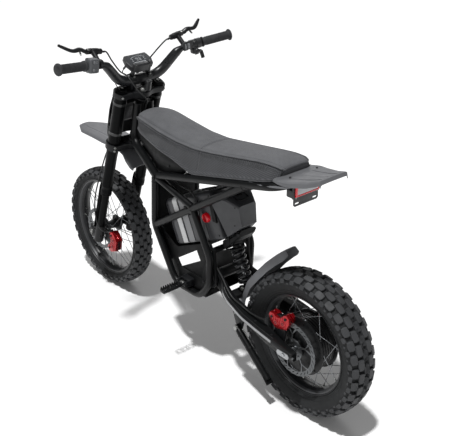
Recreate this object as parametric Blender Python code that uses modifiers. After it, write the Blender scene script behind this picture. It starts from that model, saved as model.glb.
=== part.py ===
"""Electric trail motorcycle: trellis frame, upside-down fork, hub motor, spoked wheels, foot pegs.

Places are metres. x is measured forward of the rear axle, y to the rider's left, z up from the
ground; place() then moves x so that the whole machine is centred on the origin.
"""

import math

import bpy
import bmesh
from mathutils import Matrix, Vector

# Driving dimensions
WHEELBASE = 1.200
REAR_TYRE_R = 0.265
FRONT_TYRE_R = 0.2634
REAR_TYRE_HALF = 0.055
FRONT_TYRE_HALF = 0.0426
REAR_FLANGE_R = 0.185
FRONT_FLANGE_R = 0.216
REAR_RIM_HALF = 0.035
FRONT_RIM_HALF = 0.032
RAKE = math.radians(18.8)
FORK_TOP_X = 0.927
FORK_TOP_Z = 0.949
FORK_HALF_SPACING = 0.083
STEERING_OFFSET = 0.022
FRAME_HALF = 0.100
RAIL_R = 0.0135
LOOP_R = 0.013
BAR_HALF = 0.389
GAP = 0.0003
WHEEL_STEPS = 24
MID_X = (WHEELBASE + FRONT_TYRE_R - REAR_TYRE_R) / 2

# Colour, roughness and metallic value of each finish
FINISHES = {
    "black_steel": ("#1a1b1d", 0.42, 0.4),
    "black_alloy": ("#202124", 0.38, 0.6),
    "grey_plastic": ("#606164", 0.60, 0.0),
    "dark_plastic": ("#2d2e30", 0.55, 0.0),
    "seat_vinyl": ("#5e5f61", 0.75, 0.0),
    "tyre_rubber": ("#2b2c2d", 0.85, 0.0),
    "grip_rubber": ("#333436", 0.80, 0.0),
    "bright_steel": ("#a9abad", 0.30, 1.0),
    "red_anodised": ("#a8121a", 0.30, 0.7),
    "red_plastic": ("#c2202a", 0.35, 0.0),
    "clear_lens": ("#b9babd", 0.15, 0.0),
    "hose_rubber": ("#18181a", 0.60, 0.0),
}


def place(x, y, z):
    """A point given from the rear axle, in the part's own frame."""
    return Vector((x - MID_X, y, z))


def fork_x(z):
    """How far forward the fork legs' axis is at a height."""
    return FORK_TOP_X + (FORK_TOP_Z - z) * math.tan(RAKE)


def stem_x(z):
    """How far forward the steering axis is at a height."""
    return fork_x(z) - STEERING_OFFSET


FORK_UP = Vector((-math.sin(RAKE), 0, math.cos(RAKE)))
FORK_AHEAD = Vector((math.cos(RAKE), 0, math.sin(RAKE)))
REAR_AXLE = place(0, 0, REAR_TYRE_R)
FRONT_AXLE = place(WHEELBASE, 0, FRONT_TYRE_R)


def on_fork(z, side=0.0, ahead=0.0):
    """A point on a fork leg's axis at a height, moved square to the fork by ahead."""
    return place(fork_x(z), side, z) + FORK_AHEAD * ahead


# Scene and objects
for old in list(bpy.data.objects):
    bpy.data.objects.remove(old)
PARTS = bpy.data.collections.new("electric_motorcycle")
bpy.context.scene.collection.children.link(PARTS)
CUTTERS = bpy.data.collections.new("cutters")
bpy.context.scene.collection.children.link(CUTTERS)


def linear(hex_code):
    """An sRGB hex colour as linear RGBA."""
    raw = [int(hex_code[i:i + 2], 16) / 255 for i in (1, 3, 5)]
    return [c / 12.92 if c < 0.04045 else ((c + 0.055) / 1.055) ** 2.4 for c in raw] + [1.0]


def finish(name):
    """The Principled material of a finish, made once."""
    material = bpy.data.materials.get(name)
    if material is None:
        colour, roughness, metallic = FINISHES[name]
        material = bpy.data.materials.new(name)
        material.use_nodes = True
        shader = material.node_tree.nodes["Principled BSDF"]
        shader.inputs["Base Color"].default_value = linear(colour)
        shader.inputs["Roughness"].default_value = roughness
        shader.inputs["Metallic"].default_value = metallic
        material.diffuse_color = linear(colour)
    return material


def raw_object(mesh, matrix=None):
    """An object for a mesh or curve, among the cutters until it becomes a node."""
    piece = bpy.data.objects.new("piece", mesh)
    CUTTERS.objects.link(piece)
    piece.hide_render = True
    piece.display_type = "WIRE"
    if matrix is not None:
        piece.matrix_world = matrix
    return piece


def drop(piece):
    """Removes an object and its data."""
    data = piece.data
    bpy.data.objects.remove(piece)
    if isinstance(data, bpy.types.Mesh):
        bpy.data.meshes.remove(data)
    else:
        bpy.data.curves.remove(data)


def settled(piece, weld=0.000005):
    """The piece as one plain mesh in world space, its modifiers applied and its doubles welded."""
    bpy.context.view_layer.update()
    graph = bpy.context.evaluated_depsgraph_get()
    mesh = bpy.data.meshes.new_from_object(piece.evaluated_get(graph))
    mesh.transform(piece.matrix_world)
    shape = bmesh.new()
    shape.from_mesh(mesh)
    bmesh.ops.remove_doubles(shape, verts=shape.verts, dist=weld)
    bmesh.ops.dissolve_degenerate(shape, edges=shape.edges, dist=weld)
    shape.to_mesh(mesh)
    shape.free()
    drop(piece)
    return raw_object(mesh)


def node(name, piece, look, sharp=35):
    """Turns a finished piece into a named sub-part."""
    CUTTERS.objects.unlink(piece)
    PARTS.objects.link(piece)
    piece.hide_render = False
    piece.display_type = "TEXTURED"
    piece.name = name
    piece.data.name = name
    piece.data.materials.clear()
    piece.data.materials.append(finish(look))
    piece.data.shade_smooth()
    piece.data.set_sharp_from_angle(angle=math.radians(sharp))
    return piece


def combine(base, tools, operation, keep=False):
    """One exact boolean of a base with each tool in turn."""
    for tool in tools:
        step = base.modifiers.new("step", "BOOLEAN")
        step.operation = operation
        step.solver = "EXACT"
        step.object = tool
        base = settled(base)
        if not keep:
            drop(tool)
    return base


def union(base, *tools):
    return combine(base, tools, "UNION")


def cut(base, *tools, keep=False):
    return combine(base, tools, "DIFFERENCE", keep)


def mirrored(piece):
    """A copy of a settled piece on the other side of the middle plane."""
    mesh = piece.data.copy()
    mesh.transform(Matrix.Scale(-1, 4, (0, 1, 0)))
    mesh.flip_normals()
    return raw_object(mesh)


def from_shape(shape):
    """An object for a bmesh."""
    mesh = bpy.data.meshes.new("piece")
    bmesh.ops.recalc_face_normals(shape, faces=shape.faces)
    shape.to_mesh(mesh)
    shape.free()
    return raw_object(mesh)


def axes(origin, x_axis, y_axis):
    """A matrix with the given origin and first two axes."""
    first = x_axis.normalized()
    third = first.cross(y_axis).normalized()
    second = third.cross(first)
    return Matrix.Translation(origin) @ Matrix((first, second, third)).transposed().to_4x4()


LEVEL = Matrix.Identity(4)


def box(size, centre, turn=LEVEL, bevel=0.0, segments=1):
    """A box with beveled edges; turn rotates it about its own centre."""
    shape = bmesh.new()
    bmesh.ops.create_cube(shape, size=1, matrix=Matrix.Diagonal((*size, 1)))
    mesh = bpy.data.meshes.new("box")
    shape.to_mesh(mesh)
    shape.free()
    piece = raw_object(mesh, Matrix.Translation(centre) @ turn)
    if bevel:
        rounding = piece.modifiers.new("rounding", "BEVEL")
        rounding.width = bevel
        rounding.segments = segments
    return settled(piece)


def rod(start, end, radius, end_radius=None, sides=10):
    """A round bar or cone between two points."""
    run = end - start
    shape = bmesh.new()
    bmesh.ops.create_cone(
        shape, cap_ends=True, segments=sides, radius1=radius,
        radius2=radius if end_radius is None else end_radius, depth=run.length)
    turn = run.to_track_quat("Z", "Y").to_matrix().to_4x4()
    bmesh.ops.transform(shape, matrix=Matrix.Translation((start + end) / 2) @ turn, verts=shape.verts)
    return from_shape(shape)


def turned(profile, centre, axis=Vector((0, 1, 0)), steps=32):
    """A lathe-turned piece. The profile's (radius, height) points run down its outer side."""
    mesh = bpy.data.meshes.new("profile")
    points = [(radius, 0, height) for radius, height in profile]
    edges = [(i, i + 1) for i in range(len(points) - 1)]
    if profile[0][0] > 0.00001:
        edges.append((len(points) - 1, 0))
    mesh.from_pydata(points, edges, [])
    turn = axis.to_track_quat("Z", "X").to_matrix().to_4x4()
    piece = raw_object(mesh, Matrix.Translation(centre) @ turn)
    lathe = piece.modifiers.new("lathe", "SCREW")
    lathe.steps = steps
    lathe.render_steps = steps
    lathe.use_merge_vertices = True
    lathe.merge_threshold = 0.00001
    return settled(piece)


def bends(points, radius, steps=4):
    """A run of corner points with each inner corner rounded to a bend radius."""
    run = [points[0]]
    for before, corner, after in zip(points, points[1:], points[2:]):
        back = before - corner
        ahead = after - corner
        reach = radius / math.tan(back.angle(ahead) / 2)
        reach = min(reach, 0.48 * back.length, 0.48 * ahead.length)
        start = corner + back.normalized() * reach
        end = corner + ahead.normalized() * reach
        for i in range(steps + 1):
            t = i / steps
            run.append(start * (1 - t) ** 2 + corner * (2 * t * (1 - t)) + end * t * t)
    run.append(points[-1])
    return run


def smooth_run(points, steps=4):
    """Points along a Catmull-Rom curve through the route's own points."""
    padded = [points[0] * 2 - points[1], *points, points[-1] * 2 - points[-2]]
    run = []
    for a, b, c, d in zip(padded, padded[1:], padded[2:], padded[3:]):
        for i in range(steps):
            t = i / steps
            run.append(0.5 * (2 * b + (c - a) * t + (2 * a - 5 * b + 4 * c - d) * t * t
                              + (3 * b - a - 3 * c + d) * t * t * t))
    run.append(points[-1])
    return run


def tube(points, radius, resolution=2, radii=None):
    """A capped round tube along points, as a mesh."""
    curve = bpy.data.curves.new("run", "CURVE")
    curve.dimensions = "3D"
    curve.bevel_depth = radius
    curve.bevel_resolution = resolution
    curve.use_fill_caps = True
    curve.resolution_u = 1
    spline = curve.splines.new("POLY")
    spline.points.add(len(points) - 1)
    for i, point in enumerate(points):
        spline.points[i].co = (*point, 1)
        if radii:
            spline.points[i].radius = radii[i] / radius
    return settled(raw_object(curve))


def slab(outline, thickness, origin, x_axis, y_axis, holes=()):
    """A flat plate: an outline and its holes in a plane, half the thickness to each side."""
    curve = bpy.data.curves.new("plate", "CURVE")
    curve.dimensions = "2D"
    curve.fill_mode = "BOTH"
    curve.extrude = thickness / 2
    for ring in (outline, *holes):
        spline = curve.splines.new("POLY")
        spline.points.add(len(ring) - 1)
        for point, (x, y) in zip(spline.points, ring):
            point.co = (x, y, 0, 1)
        spline.use_cyclic_u = True
    return settled(raw_object(curve, axes(origin, x_axis, y_axis)))


def ring_points(radius, count, start=0.0, centre=(0.0, 0.0), sweep=2 * math.pi, closed=True):
    """Points on a circle or on an arc of it."""
    last = count if closed else count - 1
    return [(centre[0] + radius * math.cos(start + sweep * i / last),
             centre[1] + radius * math.sin(start + sweep * i / last)) for i in range(count)]


def side_slab(outline, thickness, y, holes=()):
    """A plate parallel to the middle plane, its outline in x and z from the rear axle."""
    shifted = [[(x - MID_X, z) for x, z in ring] for ring in (outline, *holes)]
    return slab(shifted[0], thickness, Vector((0, y, 0)), Vector((1, 0, 0)), Vector((0, 0, 1)),
                shifted[1:])


def sheet(rows, thickness, rounding=0.0, offset=0.0):
    """A thin shell over a grid of points, one list of points a row."""
    shape = bmesh.new()
    grid = [[shape.verts.new(point) for point in row] for row in rows]
    for lower, upper in zip(grid, grid[1:]):
        for i in range(len(lower) - 1):
            shape.faces.new((lower[i], lower[i + 1], upper[i + 1], upper[i]))
    piece = from_shape(shape)
    wall = piece.modifiers.new("wall", "SOLIDIFY")
    wall.thickness = thickness
    wall.offset = offset
    wall.use_even_offset = True
    if rounding:
        edge = piece.modifiers.new("edge", "BEVEL")
        edge.width = rounding
    return settled(piece)


def loft(rings, levels=0):
    """A closed solid through rings of equal point count, with capped ends."""
    shape = bmesh.new()
    loops = [[shape.verts.new(point) for point in ring] for ring in rings]
    for lower, upper in zip(loops, loops[1:]):
        for i in range(len(lower)):
            j = (i + 1) % len(lower)
            shape.faces.new((lower[i], lower[j], upper[j], upper[i]))
    shape.faces.new(loops[0])
    shape.faces.new(loops[-1])
    piece = from_shape(shape)
    if levels:
        soft = piece.modifiers.new("soft", "SUBSURF")
        soft.levels = levels
        soft.render_levels = levels
    return settled(piece)


def bore(point, axis, length, radius, steps=24):
    """A plain round cutter centred on a point, lying along an axis."""
    half = length / 2
    return turned([(0, half), (radius, half), (radius, -half), (0, -half)], point, axis, steps)


SIDE = Vector((0, 1, 0))
RAKE_TURN = Matrix.Rotation(-RAKE, 4, "Y")


def along_fork(z):
    """Distance up the fork's axis from its top reference point to a height."""
    return (z - FORK_TOP_Z) / math.cos(RAKE)


# Wheels
def tyre(centre, top, half, flange, rim_half, shoulder, belly, crown):
    """A knobby tyre: carcass turned in one, blocks pushed out of its tread in alternate rows."""
    outer = [(flange - 0.0127, rim_half - 0.0064), (flange + 0.0008, rim_half - 0.0048), belly,
             shoulder, (crown - 0.0040, half * 0.62), (crown, half * 0.20)]
    inner = [(belly[0] + 0.012, belly[1] - 0.013), (flange - 0.0127, rim_half - 0.016)]
    profile = outer + [(r, -h) for r, h in reversed(outer)]
    profile += [(r, -h) for r, h in reversed(inner)] + inner
    piece = turned(profile, centre, steps=WHEEL_STEPS)
    shape = bmesh.new()
    shape.from_mesh(piece.data)
    blocks = []
    for face in shape.faces:
        middle = face.calc_center_median() - centre
        radius = math.hypot(middle.x, middle.z)
        across = abs(middle.y) / half
        row = int((math.atan2(middle.z, middle.x) / (2 * math.pi) * WHEEL_STEPS) % WHEEL_STEPS)
        facing = face.normal.dot(Vector((middle.x, 0, middle.z))) > 0
        if not facing or radius < shoulder[0] - 0.001:
            continue
        if row % 2 == 0 and (across < 0.1 or across > 0.65):
            blocks.append(face)
        elif row % 2 and 0.25 < across < 0.6:
            blocks.append(face)
    heads = bmesh.ops.extrude_discrete_faces(shape, faces=blocks)["faces"]
    for head in heads:
        middle = head.calc_center_median()
        raised = [(v, Vector((v.co.x - centre.x, 0, v.co.z - centre.z))) for v in head.verts]
        for vert, spoke in raised:
            reach = top * 1.0007 - spoke.length if abs(middle.y) < half * 0.6 else 0.008
            vert.co += spoke.normalized() * reach
            vert.co.y += math.copysign(0.002, vert.co.y) if abs(middle.y) > half * 0.6 else 0
            vert.co += (Vector((middle.x, middle.y, middle.z)) - vert.co) * 0.10
    shape.to_mesh(piece.data)
    shape.free()
    return piece


def rim(centre, flange, half):
    """A drop-centre rim."""
    outer = [(flange, half - 0.001), (flange - 0.013, half - 0.0055), (flange - 0.017, 0.014)]
    inner = [(flange - 0.0170, half), (flange - 0.021, 0.012)]
    profile = outer + [(r, -h) for r, h in reversed(outer)]
    profile += [(r, -h) for r, h in inner] + inner[::-1]
    return turned(profile, centre, steps=WHEEL_STEPS)


def laced(centre, hub, hub_radius, rim_radius, places, turn_degrees):
    """A hub with 32 crossing spokes, 16 to a side, that end just under the rim's bed."""
    spokes = bmesh.new()
    end_radius = rim_radius * math.cos(math.pi / WHEEL_STEPS) - GAP - 0.0012
    for side in (1, -1):
        for i in range(16):
            leading = i % 2
            start_y, end_y = places[leading]
            swing = math.radians(turn_degrees if leading else -turn_degrees)
            angle = math.radians(22.5 * i + (11.25 if side > 0 else 0))
            start = Vector((hub_radius * math.cos(angle), side * start_y,
                            hub_radius * math.sin(angle)))
            end = Vector((end_radius * math.cos(angle + swing), side * end_y,
                          end_radius * math.sin(angle + swing)))
            run = end - start
            turn = run.to_track_quat("Z", "Y").to_matrix().to_4x4()
            bmesh.ops.create_cone(
                spokes, cap_ends=True, segments=3, radius1=0.0015, radius2=0.0015,
                depth=run.length, matrix=Matrix.Translation(centre + (start + end) / 2) @ turn)
    return union(hub, from_shape(spokes))


def rotor(centre, radius, bore_radius, windows):
    """A brake disc with a ring of windows."""
    holes = [ring_points(bore_radius, 16)]
    for i in range(windows):
        start = 2 * math.pi * i / windows
        width = 2 * math.pi / windows * 0.62
        far = ring_points(radius * 0.70, 4, start, sweep=width, closed=False)
        near = ring_points(radius * 0.46, 3, start + width * 0.9, sweep=-width * 0.8, closed=False)
        holes.append(far + near)
    return slab(ring_points(radius, 28), 0.003, centre, Vector((1, 0, 0)), Vector((0, 0, 1)), holes)


node("rear_tyre", tyre(REAR_AXLE, REAR_TYRE_R, REAR_TYRE_HALF, REAR_FLANGE_R, REAR_RIM_HALF,
                       (0.243, 0.0500), (0.225, 0.0535), 0.2555), "tyre_rubber")
node("front_tyre", tyre(FRONT_AXLE, FRONT_TYRE_R, FRONT_TYRE_HALF, FRONT_FLANGE_R, FRONT_RIM_HALF,
                        (0.2450, 0.0385), (0.2360, 0.0405), 0.2545), "tyre_rubber")
node("rear_rim", rim(REAR_AXLE, REAR_FLANGE_R, REAR_RIM_HALF), "black_alloy")
node("front_rim", rim(FRONT_AXLE, FRONT_FLANGE_R, FRONT_RIM_HALF), "black_alloy")

motor = turned([(0.034, 0.0655), (0.034, 0.050), (0.094, 0.0415), (0.107, 0.038),
                (0.107, 0.032), (0.097, 0.030), (0.097, -0.030), (0.107, -0.032), (0.107, -0.038),
                (0.094, -0.0415), (0.030, -0.060), (0.0076, -0.060), (0.0076, 0.0655)],
               REAR_AXLE, steps=18)
node("rear_hub_motor", laced(REAR_AXLE, motor, 0.103, REAR_FLANGE_R - 0.021,
                             ((0.0325, 0.004), (0.0360, 0.009)), 40), "black_alloy")
hub = turned([(0.016, 0.0685), (0.016, 0.054), (0.028, 0.054), (0.036, 0.036),
              (0.036, 0.032), (0.019, 0.028), (0.019, -0.028), (0.036, -0.032), (0.036, -0.036),
              (0.016, -0.0685), (0.0076, -0.0685), (0.0076, 0.0685)],
             FRONT_AXLE, steps=12)
node("front_hub", laced(FRONT_AXLE, hub, 0.033, FRONT_FLANGE_R - 0.021,
                        ((0.0310, 0.004), (0.0370, 0.009)), 52), "black_alloy")
node("rear_rotor", rotor(REAR_AXLE + SIDE * 0.0675, 0.100, 0.0125, 5), "bright_steel")
node("front_rotor", rotor(FRONT_AXLE + SIDE * 0.0558, 0.092, 0.0165, 5), "bright_steel")

# Frame
HEAD_LOW_Z = 0.735
HEAD_TOP_Z = 0.915
MAIN_R = 0.016
JOIN = (0.705, FRAME_HALF, 0.686)
RAIL_END_X = 0.055


def rail_z(x):
    """Height of the seat rail's axis."""
    return JOIN[2] + (JOIN[0] - x) * 0.2496


def main_run(side, past=0.012):
    """The left or right main tube's axis, from the head to a little past the joint."""
    corner = place(0.930, side * 0.037, 0.745)
    join = place(JOIN[0], side * JOIN[1], JOIN[2])
    end = join + (join - corner).normalized() * past
    return bends([place(0.905, side * 0.028, 0.900), corner, end], 0.06, 3)


def rail_run():
    """The seat rail's axis, round the back from one joint to the other."""
    rear = rail_z(RAIL_END_X)
    return bends([place(*JOIN), place(RAIL_END_X, FRAME_HALF, rear),
                  place(RAIL_END_X, -FRAME_HALF, rear), place(JOIN[0], -JOIN[1], JOIN[2])], 0.07, 4)


head = rod(place(stem_x(HEAD_LOW_Z), 0, HEAD_LOW_Z), place(stem_x(HEAD_TOP_Z), 0, HEAD_TOP_Z),
           0.022, sides=20)
neck = union(head, tube(main_run(1), MAIN_R), tube(main_run(-1), MAIN_R),
             rod(place(0.967, 0, 0.758), place(0.927, 0.036, 0.748), 0.010, sides=10),
             rod(place(0.967, 0, 0.758), place(0.927, -0.036, 0.748), 0.010, sides=10),
             rod(place(0.790, 0.078, 0.709), place(0.790, -0.078, 0.709), 0.012))
neck = cut(neck, bore(place(stem_x(0.825), 0, 0.825), FORK_UP, 0.24, 0.017, 20))
node("frame_neck", neck, "black_steel")

fat_mains = [tube(main_run(side, 0.012 + GAP), MAIN_R + GAP) for side in (1, -1)]
rails = union(tube(rail_run(), RAIL_R),
              rod(place(0.55, 0.1, rail_z(0.55)), place(0.55, -0.1, rail_z(0.55)), 0.010, sides=8),
              rod(place(0.30, 0.1, rail_z(0.30)), place(0.30, -0.1, rail_z(0.30)), 0.010, sides=8))
node("seat_rail_loop", cut(rails, *fat_mains), "black_steel")

side_y = FRAME_HALF
loop = tube(bends([place(0.712, side_y, 0.675), place(0.725, side_y, 0.480),
                   place(0.602, side_y, 0.276), place(0.455, side_y, 0.277),
                   place(0.404, side_y, 0.350), place(0.397, side_y, 0.460),
                   place(0.494, side_y, 0.629)], 0.075, 3), LOOP_R)
side = union(loop, rod(place(0.705, side_y, 0.680), place(0.494, side_y, 0.629), LOOP_R, sides=8),
             rod(place(0.722, side_y, 0.475), place(0.205, side_y, 0.809), RAIL_R, sides=10),
             box((0.036, 0.0247, 0.026), place(0.528, 0.0867, 0.602), bevel=0.002))
side = cut(side, tube(main_run(1, 0.012 + GAP), MAIN_R + GAP), tube(rail_run(), RAIL_R + GAP))
right_side = mirrored(side)
node("frame_side_left", side, "black_steel")
node("frame_side_right", right_side, "black_steel")

PIVOT = place(0.405, 0, 0.375)
SHOCK_TOP = place(0.372, 0, 0.503)
SHOCK_LOW = place(0.306, 0, 0.346)
PLATE = [(0.420, 0.322), (0.448, 0.290), (0.470, 0.278), (0.470, 0.330), (0.435, 0.430),
         (0.430, 0.488), (0.390, 0.488), (0.386, 0.420), (0.380, 0.395), (0.380, 0.352),
         (0.392, 0.334)]
CRADLE = [(0.440, 0.284), (0.606, 0.284), (0.665, 0.378), (0.716, 0.466), (0.716, 0.476),
          (0.620, 0.4215), (0.605, 0.4205), (0.455, 0.4905), (0.428, 0.485), (0.430, 0.380)]
CRADLE_WINDOW = [(0.590, 0.341), (0.611, 0.368), (0.495, 0.4475), (0.474, 0.412)]
channel = cut(box((0.160, 0.1730, 0.073), place(0.520, 0, 0.3085), bevel=0.004),
              box((0.180, 0.1630, 0.073), place(0.520, 0, 0.3125)))
belly = [side_slab(PLATE, 0.009, s * 0.0821) for s in (1, -1)]
belly += [side_slab(CRADLE, 0.0050, s * 0.0795, [CRADLE_WINDOW]) for s in (1, -1)]
belly.append(sheet([[place(x, y, z) for y in (-0.0862, 0.0862)] for x, z in (
    (0.700, 0.655), (0.7115, 0.560), (0.7145, 0.482), (0.706, 0.452))], 0.0030))
belly.append(rod(PIVOT + SIDE * 0.084, PIVOT - SIDE * 0.084, 0.008, sides=12))
belly.append(rod(place(0.408, 0.084, 0.478), place(0.408, -0.084, 0.478), 0.011))
belly += [side_slab([(0.400, 0.468), (0.418, 0.486), (0.382, 0.513), (0.368, 0.514),
                     (0.361, 0.504), (0.365, 0.493)], 0.007, s * 0.0185) for s in (1, -1)]
belly.append(rod(SHOCK_TOP + SIDE * 0.019, SHOCK_TOP - SIDE * 0.019, 0.005, sides=10))
for s in (1, -1):
    bracket = union(box((0.050, 0.034, 0.030), place(0.530, s * 0.097, 0.311)),
                    box((0.008, 0.022, 0.026), place(0.509, s * 0.122, 0.311)),
                    box((0.008, 0.022, 0.026), place(0.551, s * 0.122, 0.311)),
                    rod(place(0.507, s * 0.124, 0.311), place(0.553, s * 0.124, 0.311), 0.003, sides=8))
    belly.append(bracket)
node("belly_frame", union(channel, *belly), "black_steel")

# Battery, its rear control box and the main switch
ALONG = Vector((-0.906, 0, 0.423))
ACROSS = Vector((0.423, 0, 0.906))
PACK_LENGTH = 0.292
PACK_HEIGHT = 0.177
PACK_HALF = 0.074
pack_middle = place(0.621, 0, 0.419) + ALONG * PACK_LENGTH / 2 + ACROSS * PACK_HEIGHT / 2
pack_turn = axes(Vector(), -ALONG, SIDE)
pack = box((PACK_LENGTH, PACK_HALF * 2, PACK_HEIGHT), pack_middle, pack_turn, 0.008, 2)
SWITCH = place(0.442, 0.0744, 0.599)
pack = cut(pack, box((0.120, 0.060, 0.030), pack_middle + ACROSS * (PACK_HEIGHT / 2), pack_turn, 0.004),
           bore(SWITCH, SIDE, 0.0128, 0.0185))
grip_bar = rod(pack_middle + ACROSS * 0.0805 - ALONG * 0.061,
               pack_middle + ACROSS * 0.0805 + ALONG * 0.061, 0.006, sides=10)
node("battery_case", union(pack, grip_bar), "dark_plastic")
node("main_switch", turned([(0, 0.0120), (0.014, 0.0120), (0.018, 0.0095), (0.018, -0.0030),
                            (0, -0.0030)], SWITCH, steps=20), "red_plastic")
shell = side_slab([(0.3505, 0.549), (0.4215, 0.7005), (0.388, 0.703), (0.352, 0.695), (0.312, 0.681),
                   (0.300, 0.655), (0.297, 0.617), (0.308, 0.590)], 0.180, 0)
shell = union(shell, side_slab([(0.3525, 0.553), (0.316, 0.592), (0.309, 0.580), (0.309, 0.557),
                                (0.345, 0.519), (0.350, 0.519)], 0.180, 0))
plan = slab([(x - MID_X, y) for x, y in ((0.50, 0.083), (0.40, 0.083), (0.296, 0.033), (0.296, -0.033),
                                         (0.40, -0.083), (0.50, -0.083))],
            0.4, Vector((0, 0, 0.62)), Vector((1, 0, 0)), SIDE)
shell = combine(shell, [plan], "INTERSECT")
shell = union(shell, *[side_slab([(0.381, 0.600), (0.4135, 0.6985), (0.430, 0.690), (0.402, 0.600)],
                                 0.0080, s * 0.0784) for s in (1, -1)])
node("controller_box", shell, "dark_plastic")


# Seat, panels, tail
def blend(stations, x):
    """A straight-line reading of a table of x and one value."""
    for (x0, v0), (x1, v1) in zip(stations, stations[1:]):
        if x0 <= x <= x1:
            return v0 + (v1 - v0) * (x - x0) / (x1 - x0)
    return stations[0][1] if x < stations[0][0] else stations[-1][1]


RIDGE_Z = [(0.083, 0.889), (0.10, 0.8955), (0.15, 0.8950), (0.2, 0.889), (0.3, 0.8735), (0.4, 0.8585),
           (0.5, 0.8455), (0.6, 0.8450), (0.7, 0.855), (0.8, 0.868), (0.86, 0.868), (0.889, 0.850)]
RIDGE_HALF = [(0.083, 0.058), (0.10, 0.063), (0.2, 0.069), (0.3, 0.076), (0.4, 0.081), (0.6, 0.082),
              (0.7, 0.084), (0.8, 0.081), (0.85, 0.071), (0.875, 0.058), (0.889, 0.046)]
CROWN = [(0.083, 0.006), (0.15, 0.008), (0.4, 0.009), (0.55, 0.014), (0.65, 0.024), (0.76, 0.029),
         (0.82, 0.024), (0.86, 0.018), (0.889, 0.016)]
BASE_Z = [(0.122, 0.8463), (0.5, 0.7516), (0.615, 0.773), (0.73, 0.784), (0.87, 0.800), (0.889, 0.806)]
BASE_HALF = [(0.122, 0.100), (0.15, 0.105), (0.3, 0.105), (0.5, 0.101), (0.7, 0.088), (0.85, 0.062),
             (0.889, 0.046)]
RAKED = [(0.083, 0.039), (0.11, 0.028), (0.16, 0.008), (0.22, 0.0)]
SEAM_X = 0.472


def seat_ring(x):
    """One cross-section of the seat, its foot moved forward where the rear end is raked."""
    top = blend(RIDGE_Z, x)
    wide = blend(RIDGE_HALF, x)
    foot = blend(RAKED, x)
    low = blend(BASE_Z, x + foot)
    base = blend(BASE_HALF, x + foot)
    dip = 0.0035 if abs(x - SEAM_X) < 0.0005 else 0.0
    half = [(base - 0.004, low), (base, low + 0.007)]
    for share, drawn in ((0.35, 0.004), (0.75, 0.0045)):
        half.append((base + (wide - base) * share - drawn - dip, low + (top - low) * share))
    crown = blend(CROWN, x)
    half += [(wide - dip, top - 0.008), (wide + 0.001 - dip, top - 0.003),
             (wide - 0.004, top - 0.001 - dip), (wide - 0.009, top + 0.002 - dip),
             (wide * 0.60, top + crown * 0.72 - dip), (wide * 0.25, top + crown - dip)]
    ring = []
    for y, z in half + [(-y, z) for y, z in reversed(half)]:
        ring.append(place(x + foot * max(0.0, top - z) / (top - low), y, z))
    return ring


SEAT_X = [0.083, 0.092, 0.11, 0.16, 0.22, 0.30, 0.38, 0.44, SEAM_X - 0.007, SEAM_X, SEAM_X + 0.007,
          0.53, 0.60, 0.68, 0.76, 0.82, 0.86, 0.881, 0.889]
rings = [seat_ring(x) for x in SEAT_X]
for ring, shrink in ((rings[0], 0.93), (rings[-1], 0.90)):
    centre = sum(ring, Vector()) / len(ring)
    for point in ring:
        point.z = centre.z + (point.z - centre.z) * shrink
        point.y *= shrink
node("seat_cushion", loft(rings), "seat_vinyl", 50)


def panel(side):
    """A thin cover under the seat's front, bowed outwards."""
    stations = [(0.872, 0.046, 0.799, 0.0300, 0.7290), (0.812, 0.062, 0.7925, 0.0470, 0.7240),
                (0.770, 0.069, 0.7877, 0.0610, 0.7225), (0.730, 0.077, 0.7832, 0.0735, 0.6886),
                (0.660, 0.084, 0.7765, 0.0805, 0.6952), (0.600, 0.0860, 0.7694, 0.0795, 0.7110),
                (0.572, 0.0865, 0.7640, 0.0790, 0.7175), (0.557, 0.087, 0.7612, 0.0800, 0.7368),
                (0.545, 0.087, 0.7590, 0.0800, 0.7372)]
    rows = []
    for share, bow in ((0, 0), (0.35, 0.003), (0.75, 0.005), (1, 0)):
        rows.append([place(x, side * (y1 + (y0 - y1) * share + bow), z1 + (z0 - z1) * share)
                     for x, y0, z0, y1, z1 in stations])
    return sheet(rows, 0.003)


node("side_panel_left", panel(1), "grey_plastic")
node("side_panel_right", panel(-1), "grey_plastic")

tail_rows = []
for x, z, half, edge in ((0.0955, 0.865, 0.091, 0.001), (0.070, 0.870, 0.091, 0.001), (0.040, 0.873, 0.090, 0.001),
                         (0.030, 0.875, 0.088, 0.004), (0.018, 0.877, 0.085, 0.016),
                         (-0.030, 0.887, 0.071, 0.017), (-0.068, 0.897, 0.058, 0.015),
                         (-0.077, 0.898, 0.052, 0.007)):
    crown = [(1.0, -edge), (0.985, -edge * 0.25), (0.90, 0.0015), (0.5, 0.0045), (0.45, 0.0025)]
    row = [place(x, half * share, z + rise) for share, rise in crown]
    row += [place(x, -half * share, z + rise) for share, rise in reversed(crown)]
    tail_rows.append(row)
node("tail_fender", sheet(tail_rows, 0.003), "grey_plastic")

lamp = box((0.0055, 0.122, 0.064), place(0.0385, 0, 0.829), bevel=0.0015)
lamp = union(lamp, box((0.034, 0.110, 0.030), place(0.0565, 0, 0.8155), bevel=0.003),
             box((0.0030, 0.112, 0.030), place(0.0386, 0, 0.790), bevel=0.001))
lamp = cut(lamp, *[box((0.020, 0.020, 0.006), place(0.0386, s * 0.040, 0.785)) for s in (1, -1)])
node("tail_light_housing", lamp, "dark_plastic")
node("tail_light_lens", box((0.0075, 0.110, 0.050), place(0.0316, 0, 0.834), bevel=0.003, segments=2),
     "clear_lens")

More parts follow.
